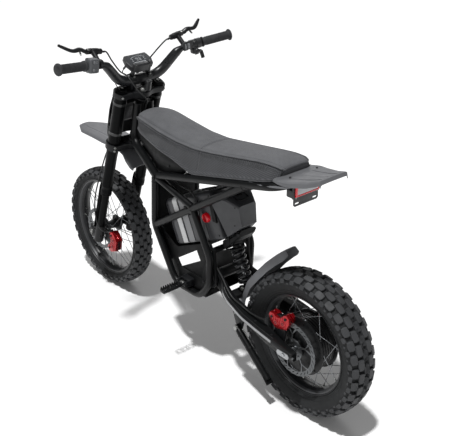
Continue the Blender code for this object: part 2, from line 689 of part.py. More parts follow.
# Swingarm and what it carries
ARM = [(0.427, 0.353, 0.405, 0.064, 0.077), (0.40, 0.345, 0.415, 0.064, 0.077),
       (0.362, 0.323, 0.377, 0.063, 0.0775), (0.340, 0.311, 0.361, 0.063, 0.089),
       (0.300, 0.289, 0.337, 0.063, 0.096), (0.21, 0.260, 0.318, 0.067, 0.098),
       (0.12, 0.240, 0.305, 0.074, 0.100), (0.06, 0.2375, 0.2963, 0.082, 0.102),
       (0.03, 0.236, 0.292, 0.087, 0.104), (-0.035, 0.245, 0.280, 0.087, 0.104)]


def arm_ring(x, low, high, near, far):
    """One eight-sided section of the left swingarm leg."""
    edge = 0.003
    corners = [(near + edge, low), (far - edge, low), (far, low + edge), (far, high - edge),
               (far - edge, high), (near + edge, high), (near, high - edge), (near, low + edge)]
    return [place(x, y, z) for y, z in corners]


def round_points(circles, count=10):
    """Points round each circle (x, z, radius), for an outline taken as their hull."""
    points = [Vector(p) for x, z, r in circles for p in ring_points(r, count, centre=(x, z))]
    points.sort(key=lambda p: (p.x, p.y))
    hull = []
    for run in (points, points[::-1]):
        part_hull = []
        for p in run:
            while len(part_hull) > 1 and (part_hull[-1] - part_hull[-2]).cross(p - part_hull[-1]) <= 0:
                part_hull.pop()
            part_hull.append(p)
        hull += part_hull[:-1]
    return [tuple(p) for p in hull]


left_arm = loft([arm_ring(*station) for station in ARM])
right_arm = mirrored(left_arm)
STAND = place(0.250, 0.095, 0.240)
swing = [right_arm, rod(PIVOT + SIDE * 0.0770, PIVOT - SIDE * 0.0770, 0.020, sides=16),
         box((0.045, 0.136, 0.032), place(0.3225, 0, 0.316), bevel=0.002)]
swing += [side_slab([(0.300, 0.320), (0.340, 0.320), (0.322, 0.352), (0.312, 0.3575),
                     (0.302, 0.358), (0.2945, 0.350), (0.2945, 0.341)], 0.008, s * 0.0205)
          for s in (1, -1)]
swing.append(rod(SHOCK_LOW + SIDE * 0.022, SHOCK_LOW - SIDE * 0.022, 0.0045, sides=10))
swing.append(side_slab(round_points([(0.250, 0.240, 0.013), (0.235, 0.285, 0.008),
                                     (0.275, 0.290, 0.008)]), 0.009, 0.0865))
swingarm = union(left_arm, *swing)
swingarm = cut(swingarm, bore(PIVOT, SIDE, 0.2, 0.0086, 12), bore(REAR_AXLE, SIDE, 0.3, 0.0075, 12),
               bore(STAND, SIDE, 0.03, 0.0055, 10),
               box((0.018, 0.030, 0.018), place(0.413, 0, 0.39), bevel=0))
node("swingarm", swingarm, "black_alloy")

spindle = rod(REAR_AXLE + SIDE * 0.122, REAR_AXLE - SIDE * 0.122, 0.0070, sides=10)
node("rear_axle", union(
    spindle,
    rod(REAR_AXLE + SIDE * 0.0662, REAR_AXLE + SIDE * 0.0865, 0.0110, sides=12),
    rod(REAR_AXLE - SIDE * 0.0605, REAR_AXLE - SIDE * 0.0865, 0.0110, sides=12),
    rod(REAR_AXLE + SIDE * 0.1044, REAR_AXLE + SIDE * 0.1170, 0.0125, sides=6),
    rod(REAR_AXLE - SIDE * 0.1044, REAR_AXLE - SIDE * 0.1170, 0.0125, sides=6)), "bright_steel")

hugger_rows = []
for x, z, half in ((0.2985, 0.3165, 0.050), (0.2865, 0.3185, 0.052), (0.2835, 0.345, 0.053),
                   (0.262, 0.405, 0.051), (0.225, 0.455, 0.048), (0.180, 0.510, 0.044),
                   (0.140, 0.551, 0.038), (0.111, 0.577, 0.032), (0.104, 0.583, 0.023)):
    lift = 0.0 if x > 0.285 else min(1.0, half / 0.045)
    row = []
    for share, back in ((1.0, 0.017), (0.97, 0.004), (0.80, 0.0), (0.30, -0.001)):
        row.append((half * share, back * lift))
    row += [(-y, back) for y, back in reversed(row)]
    hugger_rows.append([place(x - back * 0.72, y, z - back * 0.68) for y, back in row])
node("rear_hugger", sheet(hugger_rows, 0.0026), "grey_plastic")


def caliper(outline, centre_x, centre_z, y_in, y_out, tilt, disc_centre, disc_radius, disc_y, bracket):
    """A brake caliper: two bolted halves over the disc, with a bracket fused on."""
    turn = Matrix.Rotation(tilt, 4, "Y")
    middle = place(centre_x, (y_in + y_out) / 2, centre_z)
    body = slab(outline, y_out - y_in, middle, turn @ Vector((1, 0, 0)), turn @ Vector((0, 0, 1)))
    pistons = [bore(middle + turn @ Vector((dx, 0, -0.002)) + SIDE * (y_out - y_in) / 2, SIDE, 0.006,
                    0.0125, 12) for dx in (-0.017, 0.017)]
    bolts = [bore(middle + turn @ Vector((dx, 0, 0.017)) + SIDE * (y_out - y_in) / 2, SIDE, 0.008,
                  0.0045, 6) for dx in (-0.033, 0.033)]
    body = union(body, *pistons, *bolts, bracket)
    return cut(body, bore(disc_centre + SIDE * disc_y, SIDE, 0.0050, disc_radius + 0.0030, 28))


CALIPER = [(-0.042, -0.010), (-0.030, -0.024), (0.030, -0.024), (0.042, -0.010), (0.042, 0.012),
           (0.034, 0.024), (0.012, 0.024), (0.008, 0.019), (-0.008, 0.019), (-0.012, 0.024),
           (-0.034, 0.024), (-0.042, 0.012)]
rear_bracket = side_slab([(0.030, 0.338), (0.080, 0.338), (0.075, 0.280), (0.035, 0.280)],
                         0.0075, 0.0757)
node("rear_caliper", caliper(CALIPER, 0.056, 0.350, 0.052, 0.084, math.radians(-18), REAR_AXLE,
                             0.100, 0.0675, rear_bracket), "red_anodised")
front_bracket = side_slab([(1.100, 0.232), (1.105, 0.275), (1.138, 0.280), (1.145, 0.236)],
                          0.0050, 0.0660)
front_caliper = caliper(CALIPER, 1.082, 0.247, 0.040, 0.0725, math.radians(62), FRONT_AXLE,
                        0.092, 0.0558, front_bracket)
node("front_caliper", front_caliper, "red_anodised")

leg_end = place(0.088, 0.1005, 0.092)
stand = union(rod(STAND + SIDE * 0.0085, STAND - SIDE * 0.0037, 0.012, sides=12),
              rod(STAND + SIDE * 0.0045, leg_end, 0.0075, 0.0070, sides=10),
              rod(STAND - SIDE * 0.0150, STAND + SIDE * 0.0100, 0.0050, sides=10),
              rod(STAND - SIDE * 0.0134, STAND - SIDE * 0.0170, 0.0080, sides=6),
              box((0.030, 0.020, 0.006), leg_end, Matrix.Rotation(math.radians(-48), 4, "Y"), 0.002))
node("kickstand", stand, "black_steel")


def peg(side):
    """A folding foot peg with a toothed top, its knuckle between the bracket's ears."""
    hinge = place(0.530, side * 0.124, 0.311)
    deck = [box((0.026, 0.092, 0.012), hinge + Vector((0, side * 0.051, -0.001)), bevel=0.002)]
    for i in range(4):
        for dx in (-0.0095, 0.0095):
            deck.append(box((0.006, 0.005, 0.008), hinge + Vector((dx, side * (0.021 + 0.020 * i), 0.007))))
    knuckle = rod(hinge - Vector((0.0165, 0, 0)), hinge + Vector((0.0165, 0, 0)), 0.0075, sides=12)
    return cut(union(knuckle, *deck), bore(hinge, Vector((1, 0, 0)), 0.06, 0.0034, 8))


node("foot_peg_left", peg(1), "black_alloy")
node("foot_peg_right", peg(-1), "black_alloy")

# Rear shock
LEAN = (SHOCK_TOP - SHOCK_LOW).normalized()
SHOCK_LENGTH = (SHOCK_TOP - SHOCK_LOW).length
SPRING_R = 0.0205
SPRING_WIRE = 0.0034


def up_shock(distance):
    """A point on the shock's axis, measured up from its lower eye."""
    return SHOCK_LOW + LEAN * distance


cylinder = turned([(0, 0.1590), (0.0140, 0.1590), (0.0140, 0.1500), (0.0270, 0.1490), (0.0270, 0.1440),
                   (0.0150, 0.1425), (0.0150, 0.0880), (0.0058, 0.0880), (0.0058, 0.1300),
                   (0, 0.1300)], SHOCK_LOW, LEAN, 16)
shock_body = union(cylinder, rod(SHOCK_TOP + SIDE * 0.0145, SHOCK_TOP - SIDE * 0.0145, 0.0125, sides=14))
shock_body = cut(shock_body, bore(SHOCK_TOP, SIDE, 0.04, 0.0056, 10))
node("shock_body", shock_body, "black_alloy")

damper = turned([(0, 0.1140), (0.0052, 0.1140), (0.0052, 0.0260), (0.0270, 0.0240), (0.0270, 0.0190),
                 (0.0120, 0.0170), (0.0120, 0.0060), (0, 0.0060)], SHOCK_LOW, LEAN, 16)
damper = union(damper, rod(SHOCK_LOW + SIDE * 0.0160, SHOCK_LOW - SIDE * 0.0160, 0.0120, sides=14))
damper = cut(damper, bore(SHOCK_LOW, SIDE, 0.04, 0.0060, 10))
node("shock_rod", damper, "bright_steel")

TURNS = 5.5
COIL_LOW = 0.0245 + SPRING_WIRE + 0.0008
COIL_HIGH = 0.1435 - SPRING_WIRE - 0.0008
first = Vector((0, 1, 0))
second = LEAN.cross(first)
coil = []
for i in range(int(TURNS * 8) + 1):
    turn_share = i / (TURNS * 8)
    angle = 2 * math.pi * TURNS * turn_share
    eased = min(max((turn_share * TURNS - 0.6) / (TURNS - 1.2), 0), 1)
    height = COIL_LOW + (COIL_HIGH - COIL_LOW) * (0.06 * turn_share + 0.94 * eased)
    coil.append(up_shock(height) + first * SPRING_R * math.cos(angle) + second * SPRING_R * math.sin(angle))
gaps = [(coil[i] - coil[j]).length - 2 * SPRING_WIRE
        for i in range(len(coil)) for j in range(i + 4, len(coil))]
print("spring, least gap between its coils (mm):", round(min(gaps) * 1000, 2))
node("shock_spring", tube(coil, SPRING_WIRE, 1), "black_steel", 60)

# Fork, upper half: clamps, outer tubes, plate, fender

def clamp_plate(z, thickness, front):
    """A fork clamp seen along the fork: two rings joined by a bridge round the stem."""
    half = [(-0.043, 0.014), (-0.031, 0.046), (-0.032, 0.088), (-0.022, 0.106), (0.0, 0.1135),
            (0.022, 0.106), (0.031, 0.088), (0.029, 0.066), (front, 0.045), (front - 0.004, 0.016)]
    outline = half + [(a, -s) for a, s in reversed(half)]
    return slab(outline, thickness, on_fork(z), FORK_AHEAD, SIDE)


FORK_PROFILE = [(0, 0.965), (0.0180, 0.965), (0.0200, 0.960), (0.0250, 0.958), (0.0250, 0.700),
                (0.0225, 0.660), (0.0225, 0.500), (0.0238, 0.496), (0.0238, 0.476),
                (0.0172, 0.476), (0.0172, 0.760), (0, 0.760)]
TUBE_PROFILE = [(r, along_fork(z)) for r, z in FORK_PROFILE]
FORK_STEPS = 16
for name, s in (("fork_tube_left", 1), ("fork_tube_right", -1)):
    node(name, turned(TUBE_PROFILE, on_fork(FORK_TOP_Z, s * FORK_HALF_SPACING), FORK_UP, FORK_STEPS),
         "black_alloy")


def fork_bores(z, length, radius=0.0254):
    return [bore(on_fork(z, s * FORK_HALF_SPACING), FORK_UP, length, radius, FORK_STEPS) for s in (1, -1)]


BAR_CORNERS = [(0.848, 0.389, 1.107), (0.893, 0.172, 1.081), (0.925, 0.088, 0.987)]
BAR_DIRECTION = {s: (place(0.848, s * 0.389, 1.107) - place(0.893, s * 0.172, 1.081)).normalized()
                 for s in (1, -1)}


def bar_point(side, y):
    """A point on the axis of the bar's straight grip section."""
    share = (y - 0.172) / (0.389 - 0.172)
    return place(0.893 - 0.045 * share, side * y, 1.081 + 0.026 * share)


def bar(extra=0.0, end=0.3845):
    """The handlebar, thick between its bends and thinner at the grips."""
    corners = [bar_point(1, end)] + [place(*p) for p in BAR_CORNERS[1:]]
    corners += [Vector((p.x, -p.y, p.z)) for p in reversed(corners)]
    run = bends(corners, 0.045, 4)
    radii = [0.0143 if abs(p.y) < 0.10 else 0.0111 if abs(p.y) > 0.165 else 0.0127 for p in run]
    return tube(run, 0.0143 + extra, 2, [r + extra for r in radii])


fat_bar = bar(0.0003, 0.395)
node("handlebar", bar(), "black_alloy")

BAR_Z = 0.987
stem = union(clamp_plate(0.715, 0.028, 0.024),
             rod(on_fork(0.706, 0, -0.0208), on_fork(0.956, 0, -0.0208), 0.0155, sides=16))
stem = cut(stem, *fork_bores(0.715, 0.06))
nut = rod(on_fork(0.9535, 0, -0.0208), on_fork(0.964, 0, -0.0208), 0.0180, sides=6)
node("steering_stem", union(stem, nut), "black_alloy")

top = clamp_plate(0.9425, 0.022, 0.030)
risers = []
for s in (1, -1):
    seat_point = place(0.925, s * 0.036, BAR_Z)
    risers.append(box((0.038, 0.024, 0.062), seat_point - FORK_UP * 0.012, RAKE_TURN))
top = union(top, *risers)
top = cut(top, *fork_bores(0.9425, 0.06), bore(on_fork(0.9425, 0, -0.0208), FORK_UP, 0.06, 0.0159, 16))
top = cut(top, fat_bar, keep=True)
node("top_clamp", top, "black_alloy")

# Display on its own legs over the bar clamp
SCREEN_TURN = Matrix.Rotation(math.radians(-30), 4, "Y")
screen_middle = place(0.930, 0, 1.050)
screen = box((0.060, 0.106, 0.022), screen_middle, SCREEN_TURN, 0.007, 2)
leg_foot = place(0.925, 0, BAR_Z) + FORK_UP * 0.0193
legs = [box((0.016, 0.010, 0.060), leg_foot + SIDE * (s * 0.036) + FORK_UP * 0.030, RAKE_TURN, 0.001)
        for s in (1, -1)]
screen = union(screen, *legs)
cap = box((0.060, 0.120, 0.040), screen_middle + SCREEN_TURN @ Vector((0, 0, 0.0305)), SCREEN_TURN)
screen = cut(screen, cap)
node("display", screen, "dark_plastic")

# Number plate with the headlight's shell
plate_rows = []
for z, ahead, half, bulge in ((0.946, 0.048, 0.078, 0.010), (0.922, 0.048, 0.087, 0.014),
                              (0.870, 0.048, 0.094, 0.024), (0.810, 0.047, 0.093, 0.036),
                              (0.755, 0.046, 0.088, 0.036), (0.728, 0.044, 0.078, 0.028)):
    columns = [(1.0, 0.0), (0.86, 0.35), (0.52, 0.8), (0.2, 1.0)]
    row = [place(fork_x(z) + ahead + bulge * b, half * c, z) for c, b in columns]
    row += [place(fork_x(z) + ahead + bulge * b, -half * c, z) for c, b in reversed(columns)]
    plate_rows.append(row)
plate = sheet(plate_rows, 0.003)
straps = [rod(on_fork(z, s * 0.078, 0.020), on_fork(z, s * 0.078, 0.0545), 0.0055, sides=6)
          for z in (0.905, 0.775) for s in (1, -1)]
plate = union(plate, *straps)
plate = cut(plate, *[bore(on_fork(0.85, s * FORK_HALF_SPACING), FORK_UP, 0.3, 0.0263, 12)
                     for s in (1, -1)])
shell_rings = []
for ahead, grow in ((0.0325, 0.75), (0.040, 1.0), (0.068, 1.0)):
    ring = [(0.040, -0.030), (0.040, 0.030), (0.030, 0.042), (-0.030, 0.042), (-0.040, 0.030),
            (-0.040, -0.030), (-0.030, -0.042), (0.030, -0.042)]
    shell_rings.append([on_fork(0.822, y * grow, ahead) + FORK_UP * (z * grow) for y, z in ring])
node("number_plate", union(plate, loft(shell_rings)), "dark_plastic")
LENS = place(fork_x(0.808) + 0.0480 + 0.0375, 0, 0.808)
node("headlight_lens", slab([(-0.030, -0.020), (-0.020, -0.028), (0.020, -0.028), (0.030, -0.020),
                             (0.030, 0.020), (0.020, 0.028), (-0.020, 0.028), (-0.030, 0.020)],
                            0.006, LENS + Vector((0.0054, 0, 0)), SIDE,
                            FORK_UP), "clear_lens")

# Front fender
fender_rows = []
for x, z, half, edge in ((0.918, 0.633, 0.056, 0.010), (0.930, 0.643, 0.062, 0.014),
                         (0.960, 0.664, 0.062, 0.014), (0.990, 0.679, 0.0545, 0.010),
                         (1.030, 0.690, 0.0535, 0.010), (1.064, 0.696, 0.0560, 0.012),
                         (1.110, 0.699, 0.0740, 0.016), (1.180, 0.700, 0.0780, 0.017),
                         (1.240, 0.697, 0.0720, 0.016), (1.292, 0.691, 0.0600, 0.013),
                         (1.328, 0.683, 0.0420, 0.008), (1.342, 0.679, 0.0260, 0.004)):
    profile = ((1.0, -edge), (0.975, -edge * 0.3), (0.88, 0.0), (0.40, 0.004))
    row = [place(x, half * share, z + rise) for share, rise in profile]
    row += [place(x, -half * share, z + rise) for share, rise in reversed(profile)]
    fender_rows.append(row)
fender = sheet(fender_rows, 0.003)
posts = [rod(place(1.012, s * 0.024, 0.688), place(1.008, s * 0.024, 0.6998), 0.007, sides=10)
         for s in (1, -1)]
node("front_fender", union(fender, *posts), "grey_plastic")


# Controls
def grip(side):
    """A rubber grip with a flange at each end."""
    profile = [(0, 0.0), (0.0200, 0.0), (0.0220, -0.0020), (0.0220, -0.0060), (0.0165, -0.0080),
               (0.0165, -0.1200), (0.0195, -0.1225), (0.0195, -0.1275), (0.01145, -0.1275),
               (0.01145, -0.0042), (0, -0.0042)]
    return turned(profile, bar_point(side, 0.389), BAR_DIRECTION[side], 14)


node("grip_left", grip(1), "grip_rubber")
node("grip_right", grip(-1), "grip_rubber")


def at_bar(side, y, ahead, rise):
    """A point near the bar, level with a place on it."""
    return bar_point(side, y) + Vector((ahead, 0, rise))


LEVER_PIVOT = {s: place(0.934, s * 0.215, 1.124) for s in (1, -1)}
LEVER_AXIS = {}
for s in (1, -1):
    toward = bar_point(s, 0.215) - LEVER_PIVOT[s]
    LEVER_AXIS[s] = BAR_DIRECTION[s].cross(toward).normalized()


def perch(side):
    """The clamp on the bar, the master cylinder and the fork that holds the lever."""
    pivot = LEVER_PIVOT[side]
    axis = LEVER_AXIS[side]
    ring = bore(bar_point(side, 0.195), BAR_DIRECTION[side], 0.016, 0.0175, 12)
    inner = place(0.931, side * 0.157, 1.116)
    barrel = rod(inner, inner + (pivot - inner) * 0.70, 0.0095, sides=8)
    arm = rod(bar_point(side, 0.195), inner + (pivot - inner) * 0.60, 0.0070, 0.0090, sides=8)
    ears = [slab([(-0.026, -0.008), (0.006, -0.008), (0.010, 0.0), (0.006, 0.008), (-0.026, 0.008)],
                 0.003, pivot + axis * (0.0062 * way), BAR_DIRECTION[side],
                 axis.cross(BAR_DIRECTION[side])) for way in (1, -1)]
    pin = rod(pivot - axis * 0.0085, pivot + axis * 0.0085, 0.0028, sides=8)
    body_piece = union(barrel, arm, ring, *ears, pin)
    return cut(body_piece, fat_bar, keep=True)


node("brake_perch_left", perch(1), "black_alloy")
node("brake_perch_right", perch(-1), "black_alloy")


def lever(side):
    """A short two-finger brake lever on its pivot."""
    pivot = LEVER_PIVOT[side]
    axis = LEVER_AXIS[side]
    away = -(axis.cross(BAR_DIRECTION[side])).normalized()
    if away.dot(bar_point(side, 0.215) - pivot) > 0:
        away = -away
    knuckle = bore(pivot, axis, 0.0088, 0.0075, 14)
    run = [pivot, pivot + BAR_DIRECTION[side] * 0.012 + away * 0.004,
           place(0.934, side * 0.244, 1.136), place(0.933, side * 0.277, 1.137),
           place(0.952, side * 0.313, 1.156)]
    blade = tube(smooth_run(run, 2), 0.0046, 1, [0.0042] * 3 + [0.0046] * 4 + [0.0040] * 2)
    tip = rod(place(0.950, side * 0.309, 1.1545), place(0.953, side * 0.316, 1.158), 0.0056, sides=10)
    adjuster = rod(place(0.932, side * 0.2475, 1.134), place(0.917, side * 0.2520, 1.122), 0.0035,
                   sides=8)
    return cut(union(blade, knuckle, tip, adjuster), bore(pivot, axis, 0.03, 0.0033, 8))


node("brake_lever_left", lever(1), "black_alloy")
node("brake_lever_right", lever(-1), "black_alloy")


pod_turn = axes(Vector(), Vector((1, 0, 0)), BAR_DIRECTION[1])
pod_middle = at_bar(1, 0.2345, -0.004, 0.0)
pod = box((0.040, 0.042, 0.052), pod_middle, pod_turn, 0.005)
pod = cut(pod, box((0.012, 0.012, 0.013), pod_middle + pod_turn @ Vector((-0.019, 0.004, 0.0145)), pod_turn),
          bore(pod_middle + pod_turn @ Vector((-0.019, 0.004, -0.0125)), pod_turn @ Vector((1, 0, 0)),
               0.014, 0.0063, 14))
node("switch_left", cut(pod, fat_bar, keep=True), "dark_plastic")
light_switch = box((0.0095, 0.0080, 0.0108), pod_middle + pod_turn @ Vector((-0.0195, 0.004, 0.0145)),
                   pod_turn, 0.001)
node("light_switch", light_switch, "grey_plastic")
horn = bore(pod_middle + pod_turn @ Vector((-0.0185, 0.004, -0.0125)), pod_turn @ Vector((1, 0, 0)),
            0.0085, 0.0058, 14)
node("horn_button", horn, "red_plastic")

key_turn = axes(Vector(), Vector((1, 0, 0)), -BAR_DIRECTION[-1])
right_bar = BAR_DIRECTION[-1]
mount = bore(bar_point(-1, 0.2255), right_bar, 0.026, 0.0185, 14)
paddle_base = at_bar(-1, 0.2255, -0.012, -0.020)
throttle_shell = union(mount,
                       box((0.028, 0.026, 0.026), paddle_base, key_turn, 0.004),
                       bore(bar_point(-1, 0.2485), right_bar, 0.021, 0.0195, 14),
                       box((0.018, 0.012, 0.012), at_bar(-1, 0.2100, -0.0190, 0.000), key_turn),
                       box((0.010, 0.046, 0.032), at_bar(-1, 0.1880, -0.0268, 0.010), key_turn, 0.003))
keys_middle = at_bar(-1, 0.1830, -0.0318, 0.010)
throttle_shell = cut(throttle_shell,
                     box((0.010, 0.0080, 0.022), keys_middle + key_turn @ Vector((0, 0.0090, 0)), key_turn),
                     box((0.010, 0.0130, 0.022), keys_middle + key_turn @ Vector((0, -0.0060, 0)), key_turn))
THROTTLE_HINGE = paddle_base + Vector((-0.004, 0, -0.006))
throttle_shell = cut(throttle_shell, bore(THROTTLE_HINGE + right_bar * 0.012, right_bar, 0.012, 0.0088, 12))
node("throttle_body", cut(throttle_shell, fat_bar, keep=True), "dark_plastic")
thumb = union(bore(THROTTLE_HINGE + right_bar * 0.0128, right_bar, 0.0120, 0.0083, 12),
              box((0.006, 0.016, 0.030), THROTTLE_HINGE + right_bar * 0.0265 + Vector((-0.006, 0, -0.014)),
                  key_turn @ Matrix.Rotation(math.radians(20), 4, "Y"), 0.002),
              box((0.012, 0.014, 0.010), THROTTLE_HINGE + right_bar * 0.0215, key_turn, 0.001))
node("throttle_lever", thumb, "grip_rubber")
node("power_key", box((0.0060, 0.0070, 0.0200), keys_middle + key_turn @ Vector((-0.0008, 0.0090, 0)), key_turn,
                      0.001), "grey_plastic")
node("mode_rocker", box((0.0056, 0.0116, 0.0200), keys_middle + key_turn @ Vector((-0.0012, -0.0060, 0)),
                        key_turn, 0.001), "grey_plastic")

# Fork, lower half
def fork_leg(side):
    """A stanchion with its axle lug and guard."""
    y = side * FORK_HALF_SPACING
    post = rod(on_fork(0.268, y), on_fork(0.640, y), 0.0165, sides=14)
    clamp_ring = rod(on_fork(0.228, y), on_fork(0.312, y), 0.0205, sides=12)
    lug = side_slab(round_points([(1.1600, 0.2620, 0.0190), (WHEELBASE, FRONT_TYRE_R, 0.0215)], 9),
                    0.0275, y)
    collar = slab(ring_points(0.0300, 7, math.radians(-52), sweep=math.radians(104), closed=False)
                  + [(0.0, 0.014), (0.0, -0.014)], 0.007, on_fork(0.295, y), FORK_AHEAD, SIDE)
    rows = []
    for z, spread in ((0.286, 40), (0.300, 52), (0.480, 52), (0.505, 46), (0.518, 30)):
        rows.append([on_fork(z, y + 0.0302 * math.sin(math.radians(spread * i / 2)),
                             0.0302 * math.cos(math.radians(spread * i / 2))) for i in range(-2, 3)])
    return union(post, clamp_ring, lug, collar, sheet(rows, 0.0022))


left_leg = cut(fork_leg(1), bore(FRONT_AXLE + SIDE * 0.0775, SIDE, 0.0200, 0.0075, 12))
node("fork_leg_left", left_leg, "black_alloy")
right_leg = union(fork_leg(-1), rod(FRONT_AXLE + SIDE * 0.0870, FRONT_AXLE - SIDE * 0.0900, 0.0070, sides=12),
                  rod(FRONT_AXLE - SIDE * 0.0960, FRONT_AXLE - SIDE * 0.1020, 0.0120, sides=6))
node("fork_leg_right", right_leg, "black_alloy")

# Brake hoses
def hose(points, radius=0.0030):
    return tube(smooth_run(points, 2), radius, 1)


node("front_brake_hose", hose([
    place(0.9300, -0.1555, 1.1155), place(0.9340, -0.130, 1.105), place(0.955, -0.085, 1.055),
    place(0.972, -0.035, 1.000), on_fork(0.955, 0.020, 0.037), on_fork(0.925, 0.048, 0.0370),
    on_fork(0.850, 0.0545, 0.0365), on_fork(0.760, 0.0570, 0.0365), on_fork(0.700, 0.0640, 0.0370),
    on_fork(0.640, 0.0800, 0.0420), on_fork(0.540, 0.0950, 0.0420), on_fork(0.440, 0.1120, 0.0300),
    on_fork(0.360, 0.1150, 0.0020), on_fork(0.318, 0.1050, -0.0260), on_fork(0.302, 0.0800, -0.0420),
    place(1.0920, 0.0640, 0.2960)]), "hose_rubber")
node("rear_brake_hose", hose([
    place(0.9300, 0.1555, 1.1155), place(0.9360, 0.132, 1.107), place(0.952, 0.100, 1.065),
    place(0.945, 0.072, 1.022), place(0.915, 0.064, 1.012), place(0.884, 0.058, 0.985),
    place(0.873, 0.040, 0.955), place(0.871, 0.015, 0.925), place(0.884, 0.0, 0.901),
    place(0.898, 0.0, 0.868), place(0.899, 0.0, 0.820), place(0.892, 0.003, 0.776),
    place(0.865, 0.015, 0.752), place(0.830, 0.030, 0.742), place(0.760, 0.057, 0.722),
    place(0.700, 0.0700, 0.699),
    place(0.600, 0.0800, 0.678), place(0.520, 0.0800, 0.672), place(0.482, 0.0805, 0.630),
    place(0.472, 0.0810, 0.570), place(0.456, 0.0810, 0.512)]), "hose_rubber")
node("rear_hose_lower", hose([
    place(0.4545, 0.0810, 0.5080), place(0.440, 0.0790, 0.5060), place(0.4275, 0.0750, 0.4965),
    place(0.4240, 0.0732, 0.474), place(0.414, 0.0732, 0.440), place(0.385, 0.0740, 0.412),
    place(0.352, 0.0770, 0.386), place(0.325, 0.0830, 0.365), place(0.290, 0.0880, 0.344),
    place(0.240, 0.0895, 0.334), place(0.190, 0.0895, 0.326), place(0.130, 0.0890, 0.330),
    place(0.1120, 0.0830, 0.3430), place(0.1045, 0.0775, 0.3530)]), "hose_rubber")

# The cutters that stay are guides and are hidden
for index, guide in enumerate(list(CUTTERS.objects)):
    guide.name = f"guide_{index}"
    guide.hide_render = True
    guide.display_type = "WIRE"
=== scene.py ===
"""Looks of an electric dirt bike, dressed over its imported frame.

Every piece is built in the frame's own axes: +X forward, +Y to the rider's left, +Z up, in metres.
The function at() takes x from the rear axle, as the drawings of such a machine do.
"""
import enum
import logging
import math
from dataclasses import dataclass
from typing import Sequence

import bmesh
import bpy
from mathutils import Matrix, Vector


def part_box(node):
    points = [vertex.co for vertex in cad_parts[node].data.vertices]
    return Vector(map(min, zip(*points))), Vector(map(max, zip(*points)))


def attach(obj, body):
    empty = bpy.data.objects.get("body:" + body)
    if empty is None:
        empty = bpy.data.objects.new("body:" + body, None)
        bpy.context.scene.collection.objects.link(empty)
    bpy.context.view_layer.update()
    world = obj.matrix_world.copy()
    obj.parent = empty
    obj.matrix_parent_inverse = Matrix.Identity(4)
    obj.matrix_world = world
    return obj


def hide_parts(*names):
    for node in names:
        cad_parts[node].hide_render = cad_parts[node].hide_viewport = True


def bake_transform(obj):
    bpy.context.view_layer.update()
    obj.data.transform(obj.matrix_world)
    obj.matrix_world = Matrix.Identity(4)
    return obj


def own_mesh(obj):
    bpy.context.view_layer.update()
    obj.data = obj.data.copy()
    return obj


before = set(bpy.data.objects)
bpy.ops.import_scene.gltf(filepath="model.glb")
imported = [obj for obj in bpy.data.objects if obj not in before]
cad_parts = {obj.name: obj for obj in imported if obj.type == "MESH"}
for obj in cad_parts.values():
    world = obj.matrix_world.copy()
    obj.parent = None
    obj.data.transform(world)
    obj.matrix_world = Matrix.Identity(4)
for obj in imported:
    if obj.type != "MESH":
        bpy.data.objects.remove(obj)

LOG = logging.getLogger("dirt_bike")
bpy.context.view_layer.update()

# Driving dimensions, read from the frame where it has them
REAR_LOW, REAR_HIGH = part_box("rear_rim")
FRONT_LOW, FRONT_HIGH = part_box("front_rim")
REAR_AXLE = (REAR_LOW + REAR_HIGH) / 2
FRONT_AXLE = (FRONT_LOW + FRONT_HIGH) / 2
MID_X = -REAR_AXLE.x
RAKE = math.radians(18.8)
FORK_TOP_X = 0.927
FORK_TOP_Z = 0.949
FORK_HALF = 0.083
STEM_BACK = 0.0208
FRAME_HALF = 0.100
FORWARD = Vector((1, 0, 0))
SIDE = Vector((0, 1, 0))
UP = Vector((0, 0, 1))
FORK_UP = Vector((-math.sin(RAKE), 0, math.cos(RAKE)))
FORK_AHEAD = Vector((math.cos(RAKE), 0, math.sin(RAKE)))
RAIL_SLOPE = 0.2496
BAR_MID_X = 0.925
BAR_MID_Z = 0.987
RISER_Y = 0.036
PEG_Y = 0.124
PEG_Z = 0.311
PIVOT_X = 0.405
PIVOT_Z = 0.375


def at(x: float, y: float, z: float) -> Vector:
    """A point given from the rear axle, in the frame's axes."""
    return Vector((x - MID_X, y, z))


SHOCK_TOP = at(0.372, 0, 0.503)
SHOCK_LOW = at(0.306, 0, 0.346)


def fork_x(z: float) -> float:
    """How far ahead of the rear axle the fork legs' axis is at a height."""
    return FORK_TOP_X + (FORK_TOP_Z - z) * math.tan(RAKE)


def on_fork(z: float, side: float = 0.0, ahead: float = 0.0) -> Vector:
    """A point beside the fork legs' axis at a height, moved square to the fork by ahead."""
    return at(fork_x(z), side, z) + FORK_AHEAD * ahead


def mixed(a: float, b: float, share: float) -> float:
    """The value at a share of the way from a to b."""
    return a + (b - a) * share


def reading(table: Sequence[tuple], x: float) -> float:
    """A straight-line reading of a table of x and one value, held flat past its ends."""
    for (x0, v0), (x1, v1) in zip(table, table[1:]):
        if x0 <= x <= x1:
            return mixed(v0, v1, (x - x0) / (x1 - x0))
    return table[0][1] if x < table[0][0] else table[-1][1]


def eased(table: Sequence[tuple], x: float, reach: float = 0.014) -> float:
    """A table's reading with its corners rounded off."""
    reach = min(reach, max(0.0, x - table[0][0]), max(0.0, table[-1][0] - x))
    return sum(reading(table, x + reach * k / 2) for k in (-2, -1, 0, 1, 2)) / 5


def columns(table: Sequence[tuple]) -> list[list[tuple]]:
    """A table of x and several values as one table of x and a value for each."""
    return [[(row[0], row[i]) for row in table] for i in range(1, len(table[0]))]


def within(value: float, low: float = 0.0, high: float = 1.0) -> float:
    """The value held between two limits."""
    return min(high, max(low, value))


def hump(x: float, middle: float, width: float) -> float:
    """A smooth hump of height 1, for pressed lines and ribs."""
    return math.exp(-((x - middle) / width) ** 2)


def side_name(s: int) -> str:
    """The word for a side, where 1 is the rider's left and -1 the right."""
    return "left" if s > 0 else "right"


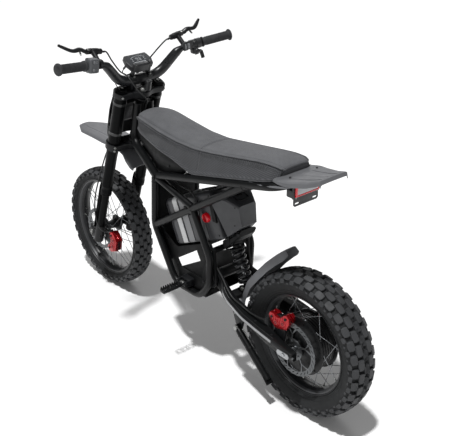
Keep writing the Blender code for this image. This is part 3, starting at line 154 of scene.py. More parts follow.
def mirrored(point: Vector) -> Vector:
    """The point's place on the other side of the middle plane."""
    return Vector((point.x, -point.y, point.z))


class Body(str, enum.Enum):
    """The frame's moving bodies."""

    FRAME = "frame"
    SWITCH = "power_button"
    LEFT_PEG = "left_peg"
    RIGHT_PEG = "right_peg"
    SWINGARM = "swingarm_unit"
    STAND = "side_stand"
    REAR_WHEEL = "rear_wheel"
    SHOCK_UPPER = "shock_upper"
    SHOCK_LOWER = "shock_lower"
    FORK_UPPER = "fork_upper"
    LEFT_LEVER = "left_lever"
    RIGHT_LEVER = "right_lever"
    THROTTLE = "thumb_throttle"
    HORN = "horn"
    LIGHTS = "lights"
    POWER_PAD = "power_pad"
    MODE_PAD = "mode_pad"
    FORK_LOWER = "fork_lower"
    FRONT_WHEEL = "front_wheel"


class Pattern(enum.Enum):
    """What a finish's surface is like close up."""

    GRAIN = "grain"
    WEAVE = "weave"
    MESH = "mesh"
    BRUSHED = "brushed"
    TURNED = "turned"
    DUSTY = "dusty"


@dataclass(frozen=True)
class Finish:
    """A surface finish, with its colour as sRGB hex and its pattern sizes in metres."""

    name: str
    colour: str
    roughness: float
    metallic: float = 0.0
    slot: str = "dark_plastic"
    pattern: Pattern = Pattern.GRAIN
    grain: float = 0.0012
    depth: float = 0.00006
    shade: float = 0.14
    coat: float = 0.0
    sheen: float = 0.0
    specular: float = 0.5
    glow: float = 0.0


SMOOTH = 0.00002
FRAME_PAINT = Finish("frame_paint", "#0d0e0f", 0.38, 0.0, "black_steel", specular=0.22, grain=0.0030,
                     depth=0.00004)
FORK_BLACK = Finish("fork_black", "#08090a", 0.34, 0.0, "black_alloy", specular=0.07, grain=0.004,
                    depth=SMOOTH)
BAR_BLACK = Finish("bar_black", "#1a1b1d", 0.32, 0.0, "black_alloy", specular=0.4, depth=SMOOTH)
CAST_BLACK = Finish("cast_black", "#141517", 0.46, 0.0, "black_alloy", specular=0.28, grain=0.0016,
                    depth=0.0001)
ARM_BLACK = Finish("arm_black", "#101112", 0.36, 0.0, "black_alloy", specular=0.25, grain=0.002)
RIM_BLACK = Finish("rim_black", "#17181a", 0.34, 0.0, "black_alloy", specular=0.3, depth=SMOOTH)
# A lighter grey ring under each rim flange, painted as the flange's highlight.
RIM_FLANGE_HIGHLIGHT = Finish("rim_flange_highlight", "#38393b", 0.38, 0.3, "black_alloy", Pattern.TURNED)
FENDER_GREY = Finish("fender_grey", "#626366", 0.55, 0.0, "grey_plastic", grain=0.0011, depth=0.00007,
                     shade=0.07)
PANEL_GREY = Finish("panel_grey", "#0f1011", 0.55, 0.0, "grey_plastic", specular=0.2, grain=0.0011)
CASE_DARK = Finish("case_dark", "#3a3b3e", 0.42, grain=0.0010, depth=0.00008)
PACK_GREY = Finish("pack_grey", "#505154", 0.45)
SHELL_BLACK = Finish("shell_black", "#1f2022", 0.42)
BUTTON_GREY = Finish("button_grey", "#7b7d80", 0.5, 0.0, "grey_plastic")
SEAT_TOP = Finish("seat_top", "#66676a", 0.86, 0.0, "seat_vinyl", Pattern.WEAVE, 0.0040, 0.0005,
                  0.12, sheen=0.12, specular=0.3)
SEAT_SIDE = Finish("seat_side", "#505154", 0.84, 0.0, "seat_vinyl", Pattern.MESH, 0.0050, 0.0006,
                   0.10, sheen=0.12, specular=0.3)
POD_PALE = Finish("pod_pale", "#57595c", 0.50, 0.0, "grey_plastic")
GLOSS_BLACK = Finish("gloss_black", "#141415", 0.16, 0.0, "grip_rubber", coat=0.8, depth=SMOOTH)
GUARD_BLACK = Finish("guard_black", "#0c0d0e", 0.55, specular=0.18)
MASK_BLACK = Finish("mask_black", "#1a1b1c", 0.42, coat=0.2)
SEAT_RIB = Finish("seat_rib", "#434446", 0.82, 0.0, "seat_vinyl", grain=0.001, depth=0.0001)
SPRING_BLACK = Finish("spring_black", "#2b2c2f", 0.30, 0.1, "black_steel", coat=0.3, depth=SMOOTH)
SEAT_PIPING = Finish("seat_piping", "#5b5c5f", 0.7, 0.0, "seat_vinyl", grain=0.001, depth=0.0001)
# Tyre rubber in two copies: the carcass darker as painted shade between the knobs, the knobs lighter as
# painted light on their faces.
TYRE_SHADED = Finish("tyre_carcass_shaded", "#242526", 0.72, 0.0, "tyre_rubber", Pattern.DUSTY, 0.0025, 0.00012,
                   specular=0.25)
TYRE_LIT = Finish("tyre_rubber", "#353638", 0.62, 0.0, "tyre_rubber", Pattern.DUSTY, 0.0025, 0.00018,
              0.25, specular=0.4)
GRIP = Finish("grip_rubber", "#303133", 0.78, 0.0, "grip_rubber", grain=0.0014, depth=0.0002)
STEEL = Finish("steel", "#a5a7a9", 0.30, 1.0, "bright_steel", Pattern.BRUSHED)
SPOKE_STEEL = Finish("spoke_steel", "#8f9194", 0.28, 1.0, "bright_steel", depth=SMOOTH)
ROTOR_STEEL = Finish("rotor_steel", "#66686a", 0.38, 0.9, "bright_steel", Pattern.TURNED)
ZINC = Finish("zinc", "#9b9c9a", 0.38, 0.9, "bright_steel")
BLACK_BOLT = Finish("black_bolt", "#2a2b2d", 0.35, 0.7, "black_steel")
RED_ALLOY = Finish("red_alloy", "#a90f19", 0.24, 0.72, "red_anodised", coat=0.4, depth=0.00003)
RED_GLOSS = Finish("red_gloss", "#b51420", 0.28, 0.0, "red_plastic", coat=0.5)
RED_LENS = Finish("red_lens", "#c10f1c", 0.16, 0.0, "red_plastic", coat=0.8, glow=0.15)
CLEAR_LENS = Finish("clear_lens", "#a2a4a7", 0.18, 0.0, "clear_lens", coat=0.8, depth=0.0001)
HOSE = Finish("hose", "#18191a", 0.45, 0.0, "hose_rubber", depth=SMOOTH)
WHITE_STRIPE = Finish("white_stripe", "#dcdddd", 0.42, 0.0, "grey_plastic", shade=0.04)
GREY_STRIPE = Finish("grey_stripe", "#8b8c8e", 0.42, 0.0, "grey_plastic", shade=0.06)
# Silver over the swingarm's upright outer edge: painted highlight of that edge.
ARM_EDGE_HIGHLIGHT = Finish("arm_edge_highlight", "#9c9d9f", 0.33, 0.75, "bright_steel", Pattern.BRUSHED)
SCREEN = Finish("screen", "#3c3e41", 0.20, coat=0.7, shade=0.05)
SCREEN_MARK = Finish("screen_mark", "#b9bcbf", 0.35, 0.0, "grey_plastic", glow=0.2)
MARK_GREY = Finish("mark_grey", "#9b9da0", 0.5, 0.0, "grey_plastic", shade=0.04)


def linear(hex_code: str) -> tuple:
    """An sRGB hex colour as linear RGBA, the only place where colours are converted."""
    raw = [int(hex_code[i:i + 2], 16) / 255 for i in (1, 3, 5)]
    return (*[c / 12.92 if c <= 0.04045 else ((c + 0.055) / 1.055) ** 2.4 for c in raw], 1.0)


def scaled(colour: Sequence[float], share: float) -> tuple:
    """A linear colour made darker or lighter."""
    return (*[min(1.0, c * share) for c in colour[:3]], 1.0)


class Graph:
    """A material's node tree, with one short way to add a node."""

    def __init__(self, material: bpy.types.Material) -> None:
        material.use_nodes = True
        self.tree = material.node_tree
        self.shader = self.tree.nodes["Principled BSDF"]

    def add(self, kind: str, settings: dict | None = None, **sockets) -> bpy.types.Node:
        """Adds a node, sets its properties and its sockets; a socket value may be an output to link."""
        made = self.tree.nodes.new(kind)
        for name, value in (settings or {}).items():
            setattr(made, name, value)
        for name, value in sockets.items():
            socket = made.inputs[name.replace("_", " ")]
            if isinstance(value, bpy.types.NodeSocket):
                self.tree.links.new(value, socket)
            else:
                socket.default_value = value
        return made

    def feed(self, output: bpy.types.NodeSocket, socket: str) -> None:
        """Links an output to one of the shader's sockets."""
        self.tree.links.new(output, self.shader.inputs[socket])

    def settle(self, values: dict) -> None:
        """Sets the shader's sockets by name."""
        for name, value in values.items():
            self.shader.inputs[name].default_value = value


class MaterialShop:
    """Makes each finish's material once and hands it out."""

    COAT_ROUGHNESS = 0.18
    SHEEN_ROUGHNESS = 0.45
    PATCH_SCALE = 16.0
    WEAR_SCALE = 45.0
    TONE_STOPS = (0.30, 0.72)
    BUMP_STRENGTH = 0.6
    # Tone keyed to the relief's height: on weave and mesh, painted shade in the low threads and painted
    # highlight on the high ones; on dusty rubber, random dust tone.
    SHADE_AND_DUST_TONES = {Pattern.WEAVE: (0.66, 1.30), Pattern.MESH: (0.48, 1.30), Pattern.DUSTY: (0.78, 1.25)}

    def __init__(self) -> None:
        self.made: dict[str, bpy.types.Material] = {}

    def get(self, finish: Finish) -> bpy.types.Material:
        """Returns the finish's material, made on first use."""
        if finish.name not in self.made:
            self.made[finish.name] = self._make(finish)
        return self.made[finish.name]

    def _make(self, finish: Finish) -> bpy.types.Material:
        material = bpy.data.materials.new(finish.name)
        graph = Graph(material)
        colour = linear(finish.colour)
        graph.settle({"Metallic": finish.metallic, "Coat Weight": finish.coat,
                      "Coat Roughness": self.COAT_ROUGHNESS, "Specular IOR Level": finish.specular,
                      "Sheen Weight": finish.sheen, "Sheen Roughness": self.SHEEN_ROUGHNESS})
        if finish.glow:
            graph.settle({"Emission Color": colour, "Emission Strength": finish.glow})
        place = graph.add("ShaderNodeTexCoord").outputs["Object"]
        patches = graph.add("ShaderNodeTexNoise", Vector=place, Scale=self.PATCH_SCALE, Detail=4.0,
                            Roughness=0.6)
        tone = graph.add("ShaderNodeValToRGB", Fac=patches.outputs["Fac"])
        for stop, position, change in zip(tone.color_ramp.elements, self.TONE_STOPS, (-1, 1)):
            stop.position = position
            stop.color = scaled(colour, 1.0 + change * finish.shade)
        self._pattern(graph, finish, place, tone)
        wear = graph.add("ShaderNodeTexNoise", Vector=place, Scale=self.WEAR_SCALE, Detail=3.0)
        rough = graph.add("ShaderNodeMapRange", Value=wear.outputs["Fac"], From_Min=0.3, From_Max=0.7,
                          To_Min=max(0.05, finish.roughness - 0.06), To_Max=finish.roughness + 0.07)
        graph.feed(rough.outputs["Result"], "Roughness")
        return material

    def _pattern(self, graph: Graph, finish: Finish, place, tone) -> None:
        """Adds the finish's close-up relief and, for cloth and rubber, a tone keyed to it: painted shade and
        highlight on the cloth's threads, random dust tone on the rubber.
        """
        scale = 1.0 / finish.grain
        if finish.pattern in (Pattern.WEAVE, Pattern.MESH):
            turn, other = (math.radians(45), "Y") if finish.pattern is Pattern.WEAVE else (0, "Z")
            spread = graph.add("ShaderNodeMapping", Vector=place, Rotation=(0, 0, turn))
            waves = [graph.add("ShaderNodeTexWave", {"bands_direction": way}, Vector=spread.outputs[0],
                               Scale=scale * 0.32, Distortion=0.4) for way in ("X", other)]
            relief = graph.add("ShaderNodeMath", {"operation": "MULTIPLY"})
            for wave, socket in zip(waves, relief.inputs):
                graph.tree.links.new(wave.outputs["Fac"], socket)
            height = relief.outputs[0]
        elif finish.pattern is Pattern.BRUSHED:
            spread = graph.add("ShaderNodeMapping", Vector=place, Scale=(6, 90, 90))
            height = graph.add("ShaderNodeTexNoise", Vector=spread.outputs[0], Scale=8.0,
                               Detail=6.0).outputs["Fac"]
        elif finish.pattern is Pattern.TURNED:
            height = graph.add("ShaderNodeTexNoise", Vector=place, Scale=scale * 0.7,
                               Detail=8.0).outputs["Fac"]
        else:
            height = graph.add("ShaderNodeTexNoise", Vector=place, Scale=scale, Detail=5.0,
                               Roughness=0.65).outputs["Fac"]
        bump = graph.add("ShaderNodeBump", Strength=self.BUMP_STRENGTH, Distance=finish.depth,
                         Height=height)
        graph.feed(bump.outputs["Normal"], "Normal")
        shades = tone.outputs["Color"]
        # Cloth darker in its low threads and lighter on its high ones is painted shade and highlight; rubber
        # gets random dust tone.
        if finish.pattern in self.SHADE_AND_DUST_TONES:
            blend = graph.add("ShaderNodeMix", {"data_type": "RGBA", "blend_type": "MULTIPLY"})
            blend.inputs["Factor"].default_value = 1.0
            graph.tree.links.new(shades, blend.inputs["A"])
            lift = graph.add("ShaderNodeValToRGB", Fac=height)
            for stop, grey in zip(lift.color_ramp.elements, self.SHADE_AND_DUST_TONES[finish.pattern]):
                stop.color = (grey, grey, grey, 1)
            graph.tree.links.new(lift.outputs["Color"], blend.inputs["B"])
            shades = blend.outputs["Result"]
        graph.feed(shades, "Base Color")


SHOP = MaterialShop()


def smooth_run(points: Sequence[Vector], steps: int = 6) -> list[Vector]:
    """Points along a Catmull-Rom curve through the given points."""
    points = [Vector(p) for p in points]
    padded = [points[0] * 2 - points[1], *points, points[-1] * 2 - points[-2]]
    run = []
    for a, b, c, d in zip(padded, padded[1:], padded[2:], padded[3:]):
        for i in range(steps):
            t = i / steps
            run.append(0.5 * (2 * b + (c - a) * t + (2 * a - 5 * b + 4 * c - d) * t * t
                              + (3 * b - a - 3 * c + d) * t ** 3))
    run.append(points[-1])
    return run


def bends(points: Sequence[Vector], radius: float, steps: int = 10) -> list[Vector]:
    """A run of corner points with each inner corner rounded to a bend radius."""
    run = [points[0]]
    for before, corner, after in zip(points, points[1:], points[2:]):
        back = before - corner
        ahead = after - corner
        reach = radius / math.tan(back.angle(ahead) / 2)
        reach = min(reach, 0.48 * back.length, 0.48 * ahead.length)
        start = corner + back.normalized() * reach
        end = corner + ahead.normalized() * reach
        for i in range(steps + 1):
            t = i / steps
            run.append(start * (1 - t) ** 2 + corner * (2 * t * (1 - t)) + end * t * t)
    run.append(points[-1])
    return run


def axes(origin: Vector, x_axis: Vector, y_axis: Vector) -> Matrix:
    """A matrix with the given origin and first two axes."""
    first = x_axis.normalized()
    third = first.cross(y_axis).normalized()
    second = third.cross(first)
    return Matrix.Translation(origin) @ Matrix((first, second, third)).transposed().to_4x4()


def turns(count: int) -> list[float]:
    """The angles of evenly spaced places round a full turn."""
    return [2 * math.pi * k / count for k in range(count)]


def polar(radius: float, angle: float) -> tuple[float, float]:
    """A flat point by its distance from the middle and its angle."""
    return radius * math.cos(angle), radius * math.sin(angle)


def arc(radius: float, count: int, start: float = 0.0, centre: tuple = (0.0, 0.0),
        sweep: float = 2 * math.pi, closed: bool = True) -> list[tuple]:
    """Points on a circle or on an arc of it, angles in radians."""
    last = count if closed else count - 1
    return [(centre[0] + radius * math.cos(start + sweep * i / last),
             centre[1] + radius * math.sin(start + sweep * i / last)) for i in range(count)]


def round_hull(circles: Sequence[tuple], count: int = 32) -> list[tuple]:
    """The outline round circles given as (x, y, radius)."""
    points = sorted(p for x, y, r in circles for p in arc(r, count, centre=(x, y)))
    hull: list[tuple] = []
    for run in (points, points[::-1]):
        part: list[tuple] = []
        for p in run:
            while len(part) > 1 and ((part[-1][0] - part[-2][0]) * (p[1] - part[-1][1])
                                     - (part[-1][1] - part[-2][1]) * (p[0] - part[-1][0])) <= 0:
                part.pop()
            part.append(p)
        hull += part[:-1]
    return hull


def rounded(half_x: float, half_y: float, corner: float, count: int = 40,
            more: Sequence[tuple] = ()) -> list[tuple]:
    """A rectangle with round corners, given by where its corner circles sit, with more circles."""
    return round_hull([(sx * half_x, sy * half_y, corner) for sx in (1, -1) for sy in (1, -1)]
                      + list(more), count)


def collar(bore: float, radius: float, half: float, edge: float, rise: float | None = None) -> list[tuple]:
    """A ring's section for Shape.lathe, with its outer edges cut by edge in radius and rise along."""
    step = half - (edge if rise is None else rise)
    return [(bore, -half), (radius - edge, -half), (radius, -step), (radius, step),
            (radius - edge, half), (bore, half)]


def placed(name: str, data: bpy.types.ID) -> bpy.types.Object:
    """A new object of the scene for a mesh, a camera or a lamp."""
    made = bpy.data.objects.new(name, data)
    bpy.context.scene.collection.objects.link(made)
    return made


class Shape:
    """Solid geometry in the making: each call adds one closed form, in metres."""

    ON_AXIS = 1e-6
    FLAT = 1e-7
    RIM_ANGLE = math.radians(60)

    def __init__(self) -> None:
        self.bm = bmesh.new()

    def take(self, other: bmesh.types.BMesh, matrix: Matrix | None = None) -> "Shape":
        """Adds another bmesh, moved by a matrix, and frees it."""
        bmesh.ops.recalc_face_normals(other, faces=other.faces)
        mesh = bpy.data.meshes.new("part")
        other.to_mesh(mesh)
        other.free()
        if matrix is not None:
            mesh.transform(matrix)
        self.bm.from_mesh(mesh)
        bpy.data.meshes.remove(mesh)
        return self

    def loft(self, rings: Sequence[Sequence], ends_meet: bool = False) -> "Shape":
        """Skins rings of equal point count, capped, or with the last joined to the first."""
        bm = bmesh.new()
        rows = [[bm.verts.new(p) for p in ring] for ring in rings]
        pairs = list(zip(rows, rows[1:]))
        if ends_meet:
            pairs.append((rows[-1], rows[0]))
        for low, high in pairs:
            for i in range(len(low)):
                j = (i + 1) % len(low)
                bm.faces.new((low[i], low[j], high[j], high[i]))
        if not ends_meet:
            bm.faces.new(rows[0][::-1])
            bm.faces.new(rows[-1])
        return self.take(bm)

    def tube(self, points: Sequence[Vector], radius: float, sides: int = 20,
             radii: Sequence[float] | None = None, closed: bool = False) -> "Shape":
        """A round tube along points; radii gives a radius for each point."""
        points = [Vector(p) for p in points]
        count = len(points)
        heading = []
        for i in range(count):
            before = points[i - 1] if i or closed else points[i]
            after = points[(i + 1) % count] if i + 1 < count or closed else points[i]
            heading.append((after - before).normalized())
        normal = heading[0].orthogonal().normalized()
        circle = [polar(1, angle) for angle in turns(sides)]
        rings = []
        for i, (point, along) in enumerate(zip(points, heading)):
            if i:
                normal = heading[i - 1].rotation_difference(along) @ normal
            normal = (normal - along * normal.dot(along)).normalized()
            other = along.cross(normal)
            r = radii[i] if radii else radius
            rings.append([point + (normal * a + other * b) * r for a, b in circle])
        return self.loft(rings, ends_meet=closed)

    def rod(self, start: Vector, end: Vector, radius: float, end_radius: float | None = None,
            sides: int = 24, edge: float = 0.0004) -> "Shape":
        """A round bar between two points with a small chamfer at each end."""
        run = (end - start).normalized()
        last = radius if end_radius is None else end_radius
        edge = min(edge, radius * 0.4, (end - start).length * 0.3)
        return self.tube([start, start + run * edge, end - run * edge, end], radius, sides,
                         [radius - edge, radius, last, last - edge])

    def lathe(self, profile: Sequence[tuple], centre: Vector, axis: Vector = SIDE,
              steps: int = 64) -> "Shape":
        """A turned form from (radius, height) points; a profile off the axis is closed on itself."""
        bm = bmesh.new()
        turn = axis.to_track_quat("Z", "X").to_matrix().to_4x4()
        solid = profile[0][0] < self.ON_AXIS
        columns = []
        poles = {}
        for angle in turns(steps):
            column = []
            for i, (r, h) in enumerate(profile):
                if r < self.ON_AXIS:
                    if i not in poles:
                        poles[i] = bm.verts.new((0, 0, h))
                    column.append(poles[i])
                else:
                    column.append(bm.verts.new((*polar(r, angle), h)))
            columns.append(column)
        count = len(profile)
        for k in range(steps):
            one, two = columns[k], columns[(k + 1) % steps]
            for i in range(count - 1 if solid else count):
                j = (i + 1) % count
                corners = [one[i], one[j], two[j], two[i]]
                unique = [v for n, v in enumerate(corners) if v not in corners[:n]]
                if len(unique) > 2:
                    bm.faces.new(unique)
        return self.take(bm, Matrix.Translation(centre) @ turn)

    def plate(self, outline: Sequence[tuple], thickness: float, matrix: Matrix,
              holes: Sequence[Sequence[tuple]] = (), bevel: float = 0.0, segments: int = 2) -> "Shape":
        """A flat plate with holes, half its thickness to each side of the matrix's x-y plane."""
        bm = bmesh.new()
        edges = []
        for ring in (outline, *holes):
            verts = [bm.verts.new((x, y, -thickness / 2)) for x, y in ring]
            edges += [bm.edges.new((a, b)) for a, b in zip(verts, verts[1:] + verts[:1])]
        if holes:
            bmesh.ops.triangle_fill(bm, edges=edges, use_beauty=True)
        else:
            bm.faces.new([e.verts[0] for e in edges])
        base = list(bm.faces)
        bmesh.ops.recalc_face_normals(bm, faces=base)
        if base and base[0].normal.z > 0:
            bmesh.ops.reverse_faces(bm, faces=base)
        grown = bmesh.ops.extrude_face_region(bm, geom=base)["geom"]
        top = [v for v in grown if isinstance(v, bmesh.types.BMVert)]
        bmesh.ops.translate(bm, verts=top, vec=(0, 0, thickness))
        bmesh.ops.reverse_faces(bm, faces=[f for f in base if f.is_valid])
        bmesh.ops.recalc_face_normals(bm, faces=bm.faces)
        if bevel:
            rims = [e for e in bm.edges if len(e.link_faces) == 2
                    and e.calc_face_angle(0) > self.RIM_ANGLE
                    and abs(e.verts[0].co.z - e.verts[1].co.z) < self.FLAT]
            bmesh.ops.bevel(bm, geom=rims, offset=bevel, segments=segments, affect="EDGES",
                            profile=0.6, clamp_overlap=True)
        return self.take(bm, matrix)

    def side_plate(self, outline: Sequence[tuple], thickness: float, y: float,
                   holes: Sequence[Sequence[tuple]] = (), bevel: float = 0.0006) -> "Shape":
        """A plate parallel to the middle plane, its outline in x from the rear axle and z."""
        rings = [[(x - MID_X, z) for x, z in ring] for ring in (outline, *holes)]
        return self.plate(rings[0], thickness, axes(Vector((0, y, 0)), FORWARD, UP), rings[1:], bevel)

    def box(self, size: Sequence[float], centre: Vector, turn: Matrix | None = None,
            bevel: float = 0.001, segments: int = 3) -> "Shape":
        """A box with rounded edges; turn rotates it about its own centre."""
        bm = bmesh.new()
        bmesh.ops.create_cube(bm, size=1, matrix=Matrix.Diagonal((*size, 1)))
        if bevel:
            bmesh.ops.bevel(bm, geom=bm.edges[:], offset=min(bevel, min(size) * 0.45),
                            segments=segments, affect="EDGES", profile=0.5)
        return self.take(bm, Matrix.Translation(centre) @ (turn or Matrix.Identity(4)))

    def ball(self, centre: Vector, radius: float) -> "Shape":
        """A sphere."""
        bm = bmesh.new()
        bmesh.ops.create_uvsphere(bm, u_segments=20, v_segments=12, radius=radius)
        return self.take(bm, Matrix.Translation(centre))

    def bolt(self, centre: Vector, axis: Vector, radius: float, height: float,
             hexagon: bool = False) -> "Shape":
        """A bolt head on its washer, with a socket or as a hexagon, standing out along axis."""
        turn = axis.to_track_quat("Z", "X").to_matrix().to_4x4()
        if hexagon:
            self.lathe([(0, height * 0.3), (radius * 1.25, height * 0.3), (radius * 1.25, 0), (0, 0)],
                       centre, axis, 24)
            return self.plate(arc(radius, 6), height, Matrix.Translation(centre) @ turn
                              @ Matrix.Translation((0, 0, height * 0.7)), bevel=height * 0.15)
        return self.lathe([(0, height * 0.35), (radius * 0.52, height * 0.35), (radius * 0.52, height),
                           (radius * 0.86, height), (radius, height * 0.82), (radius, 0), (0, 0)],
                          centre, axis, 20)

    def flip(self) -> None:
        """Moves the geometry to the other side of the middle plane."""
        bmesh.ops.transform(self.bm, matrix=Matrix.Scale(-1, 4, SIDE), verts=self.bm.verts)
        bmesh.ops.reverse_faces(self.bm, faces=self.bm.faces)

    def sheet(self, rows: Sequence[Sequence], thickness: float) -> "Shape":
        """A shell of even thickness under a grid of points."""
        bm = bmesh.new()
        grid = [[bm.verts.new(p) for p in row] for row in rows]
        for low, high in zip(grid, grid[1:]):
            for i in range(len(low) - 1):
                bm.faces.new((low[i], low[i + 1], high[i + 1], high[i]))
        bmesh.ops.recalc_face_normals(bm, faces=bm.faces)
        bmesh.ops.solidify(bm, geom=bm.faces[:], thickness=thickness)
        return self.take(bm)

    def piece(self, name: str, finish: Finish, body: Body | None, *, replaces: Sequence[str] = (),
              sharp: float = 32.0) -> bpy.types.Object:
        """Turns the geometry into a finished piece that rides on a body, or on none yet."""
        mesh = bpy.data.meshes.new(name)
        bmesh.ops.remove_doubles(self.bm, verts=self.bm.verts, dist=self.FLAT)
        self.bm.to_mesh(mesh)
        self.bm.free()
        mesh.materials.append(SHOP.get(finish))
        mesh.shade_smooth()
        mesh.set_sharp_from_angle(angle=math.radians(sharp))
        made = placed(name, mesh)
        if body is not None:
            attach(made, body.value)
        if replaces:
            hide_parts(*replaces)
        return made


# The camera, the floor and the light
@dataclass(frozen=True)
class Viewpoint:
    """The photograph's camera, solved from the wheels, the fork and the bar."""

    place: Vector = Vector((-2.1830, 1.7449, 1.8736))
    yaw: float = math.radians(-41.18)
    pitch: float = math.radians(25.945)
    focal_pixels: float = 820.72
    image_width: float = 457.0

    def build(self) -> bpy.types.Object:
        """Creates the camera and makes it the scene's."""
        data = bpy.data.cameras.new("photo_camera")
        data.sensor_width = 36.0
        data.sensor_fit = "HORIZONTAL"
        data.lens = self.focal_pixels / self.image_width * data.sensor_width
        made = placed("photo_camera", data)
        made.location = self.place
        made.rotation_euler = (math.pi / 2 - self.pitch, 0, self.yaw - math.pi / 2)
        bpy.context.scene.camera = made
        return made


class Studio:
    """A pale floor under plain soft light."""

    FLOOR_HALF = 14.0
    FLOOR_COLOUR = "#f4f4f4"
    AIM = Vector((0, 0, 0.4))
    SEEN_STRENGTH = 1.0
    LIGHT_STRENGTH = 0.20

    def build(self) -> None:
        """Makes the floor, the lamps and the background."""
        bm = bmesh.new()
        bmesh.ops.create_grid(bm, x_segments=1, y_segments=1, size=self.FLOOR_HALF)
        mesh = bpy.data.meshes.new("floor")
        bm.to_mesh(mesh)
        bm.free()
        floor = placed("floor", mesh)
        material = bpy.data.materials.new("floor")
        Graph(material).settle({"Base Color": linear(self.FLOOR_COLOUR), "Roughness": 0.9,
                                "Specular IOR Level": 0.0})
        mesh.materials.append(material)
        self._sun("key", Vector((-0.04, 0.22, 1.0)), 3.5, 3.05)
        self._lamp("back", Vector((2.8, -2.2, 2.6)), 2.0, 30.0)
        self._lamp("fill", Vector((-2.6, 2.9, 1.7)), 1.6, 13.0)
        self._world()

    @staticmethod
    def _sun(name: str, toward: Vector, angle: float, strength: float) -> None:
        data = bpy.data.lights.new(name, "SUN")
        data.angle = math.radians(angle)
        data.energy = strength
        lamp = placed(name, data)
        lamp.location = toward * 4
        lamp.rotation_euler = toward.to_track_quat("Z", "Y").to_euler()

    def _lamp(self, name: str, place: Vector, size: float, power: float) -> None:
        data = bpy.data.lights.new(name, "AREA")
        data.shape = "DISK"
        data.size = size
        data.energy = power
        lamp = placed(name, data)
        lamp.location = place
        lamp.rotation_euler = (self.AIM - place).to_track_quat("-Z", "Y").to_euler()

    def _world(self) -> None:
        world = bpy.data.worlds.new("studio")
        bpy.context.scene.world = world
        world.use_nodes = True
        tree = world.node_tree
        tree.nodes.clear()
        seen, light = (tree.nodes.new("ShaderNodeBackground") for _ in range(2))
        for node, strength in ((seen, self.SEEN_STRENGTH), (light, self.LIGHT_STRENGTH)):
            node.inputs["Color"].default_value = (1, 1, 1, 1)
            node.inputs["Strength"].default_value = strength
        path = tree.nodes.new("ShaderNodeLightPath")
        choice = tree.nodes.new("ShaderNodeMixShader")
        output = tree.nodes.new("ShaderNodeOutputWorld")
        tree.links.new(path.outputs["Is Camera Ray"], choice.inputs["Fac"])
        tree.links.new(light.outputs["Background"], choice.inputs[1])
        tree.links.new(seen.outputs["Background"], choice.inputs[2])
        tree.links.new(choice.outputs["Shader"], output.inputs["Surface"])
        bpy.context.scene.view_settings.view_transform = "Standard"


# Wheels
@dataclass(frozen=True)
class WheelSpec:
    """One wheel's real sizes in metres."""

    name: str
    centre: Vector
    body: Body
    tyre_radius: float
    tyre_half: float
    flange: float
    rim_half: float
    shoulder: tuple
    belly: tuple
    crown: float
    pitches: int
    disc_y: float
    disc_radius: float
    disc_bore: float


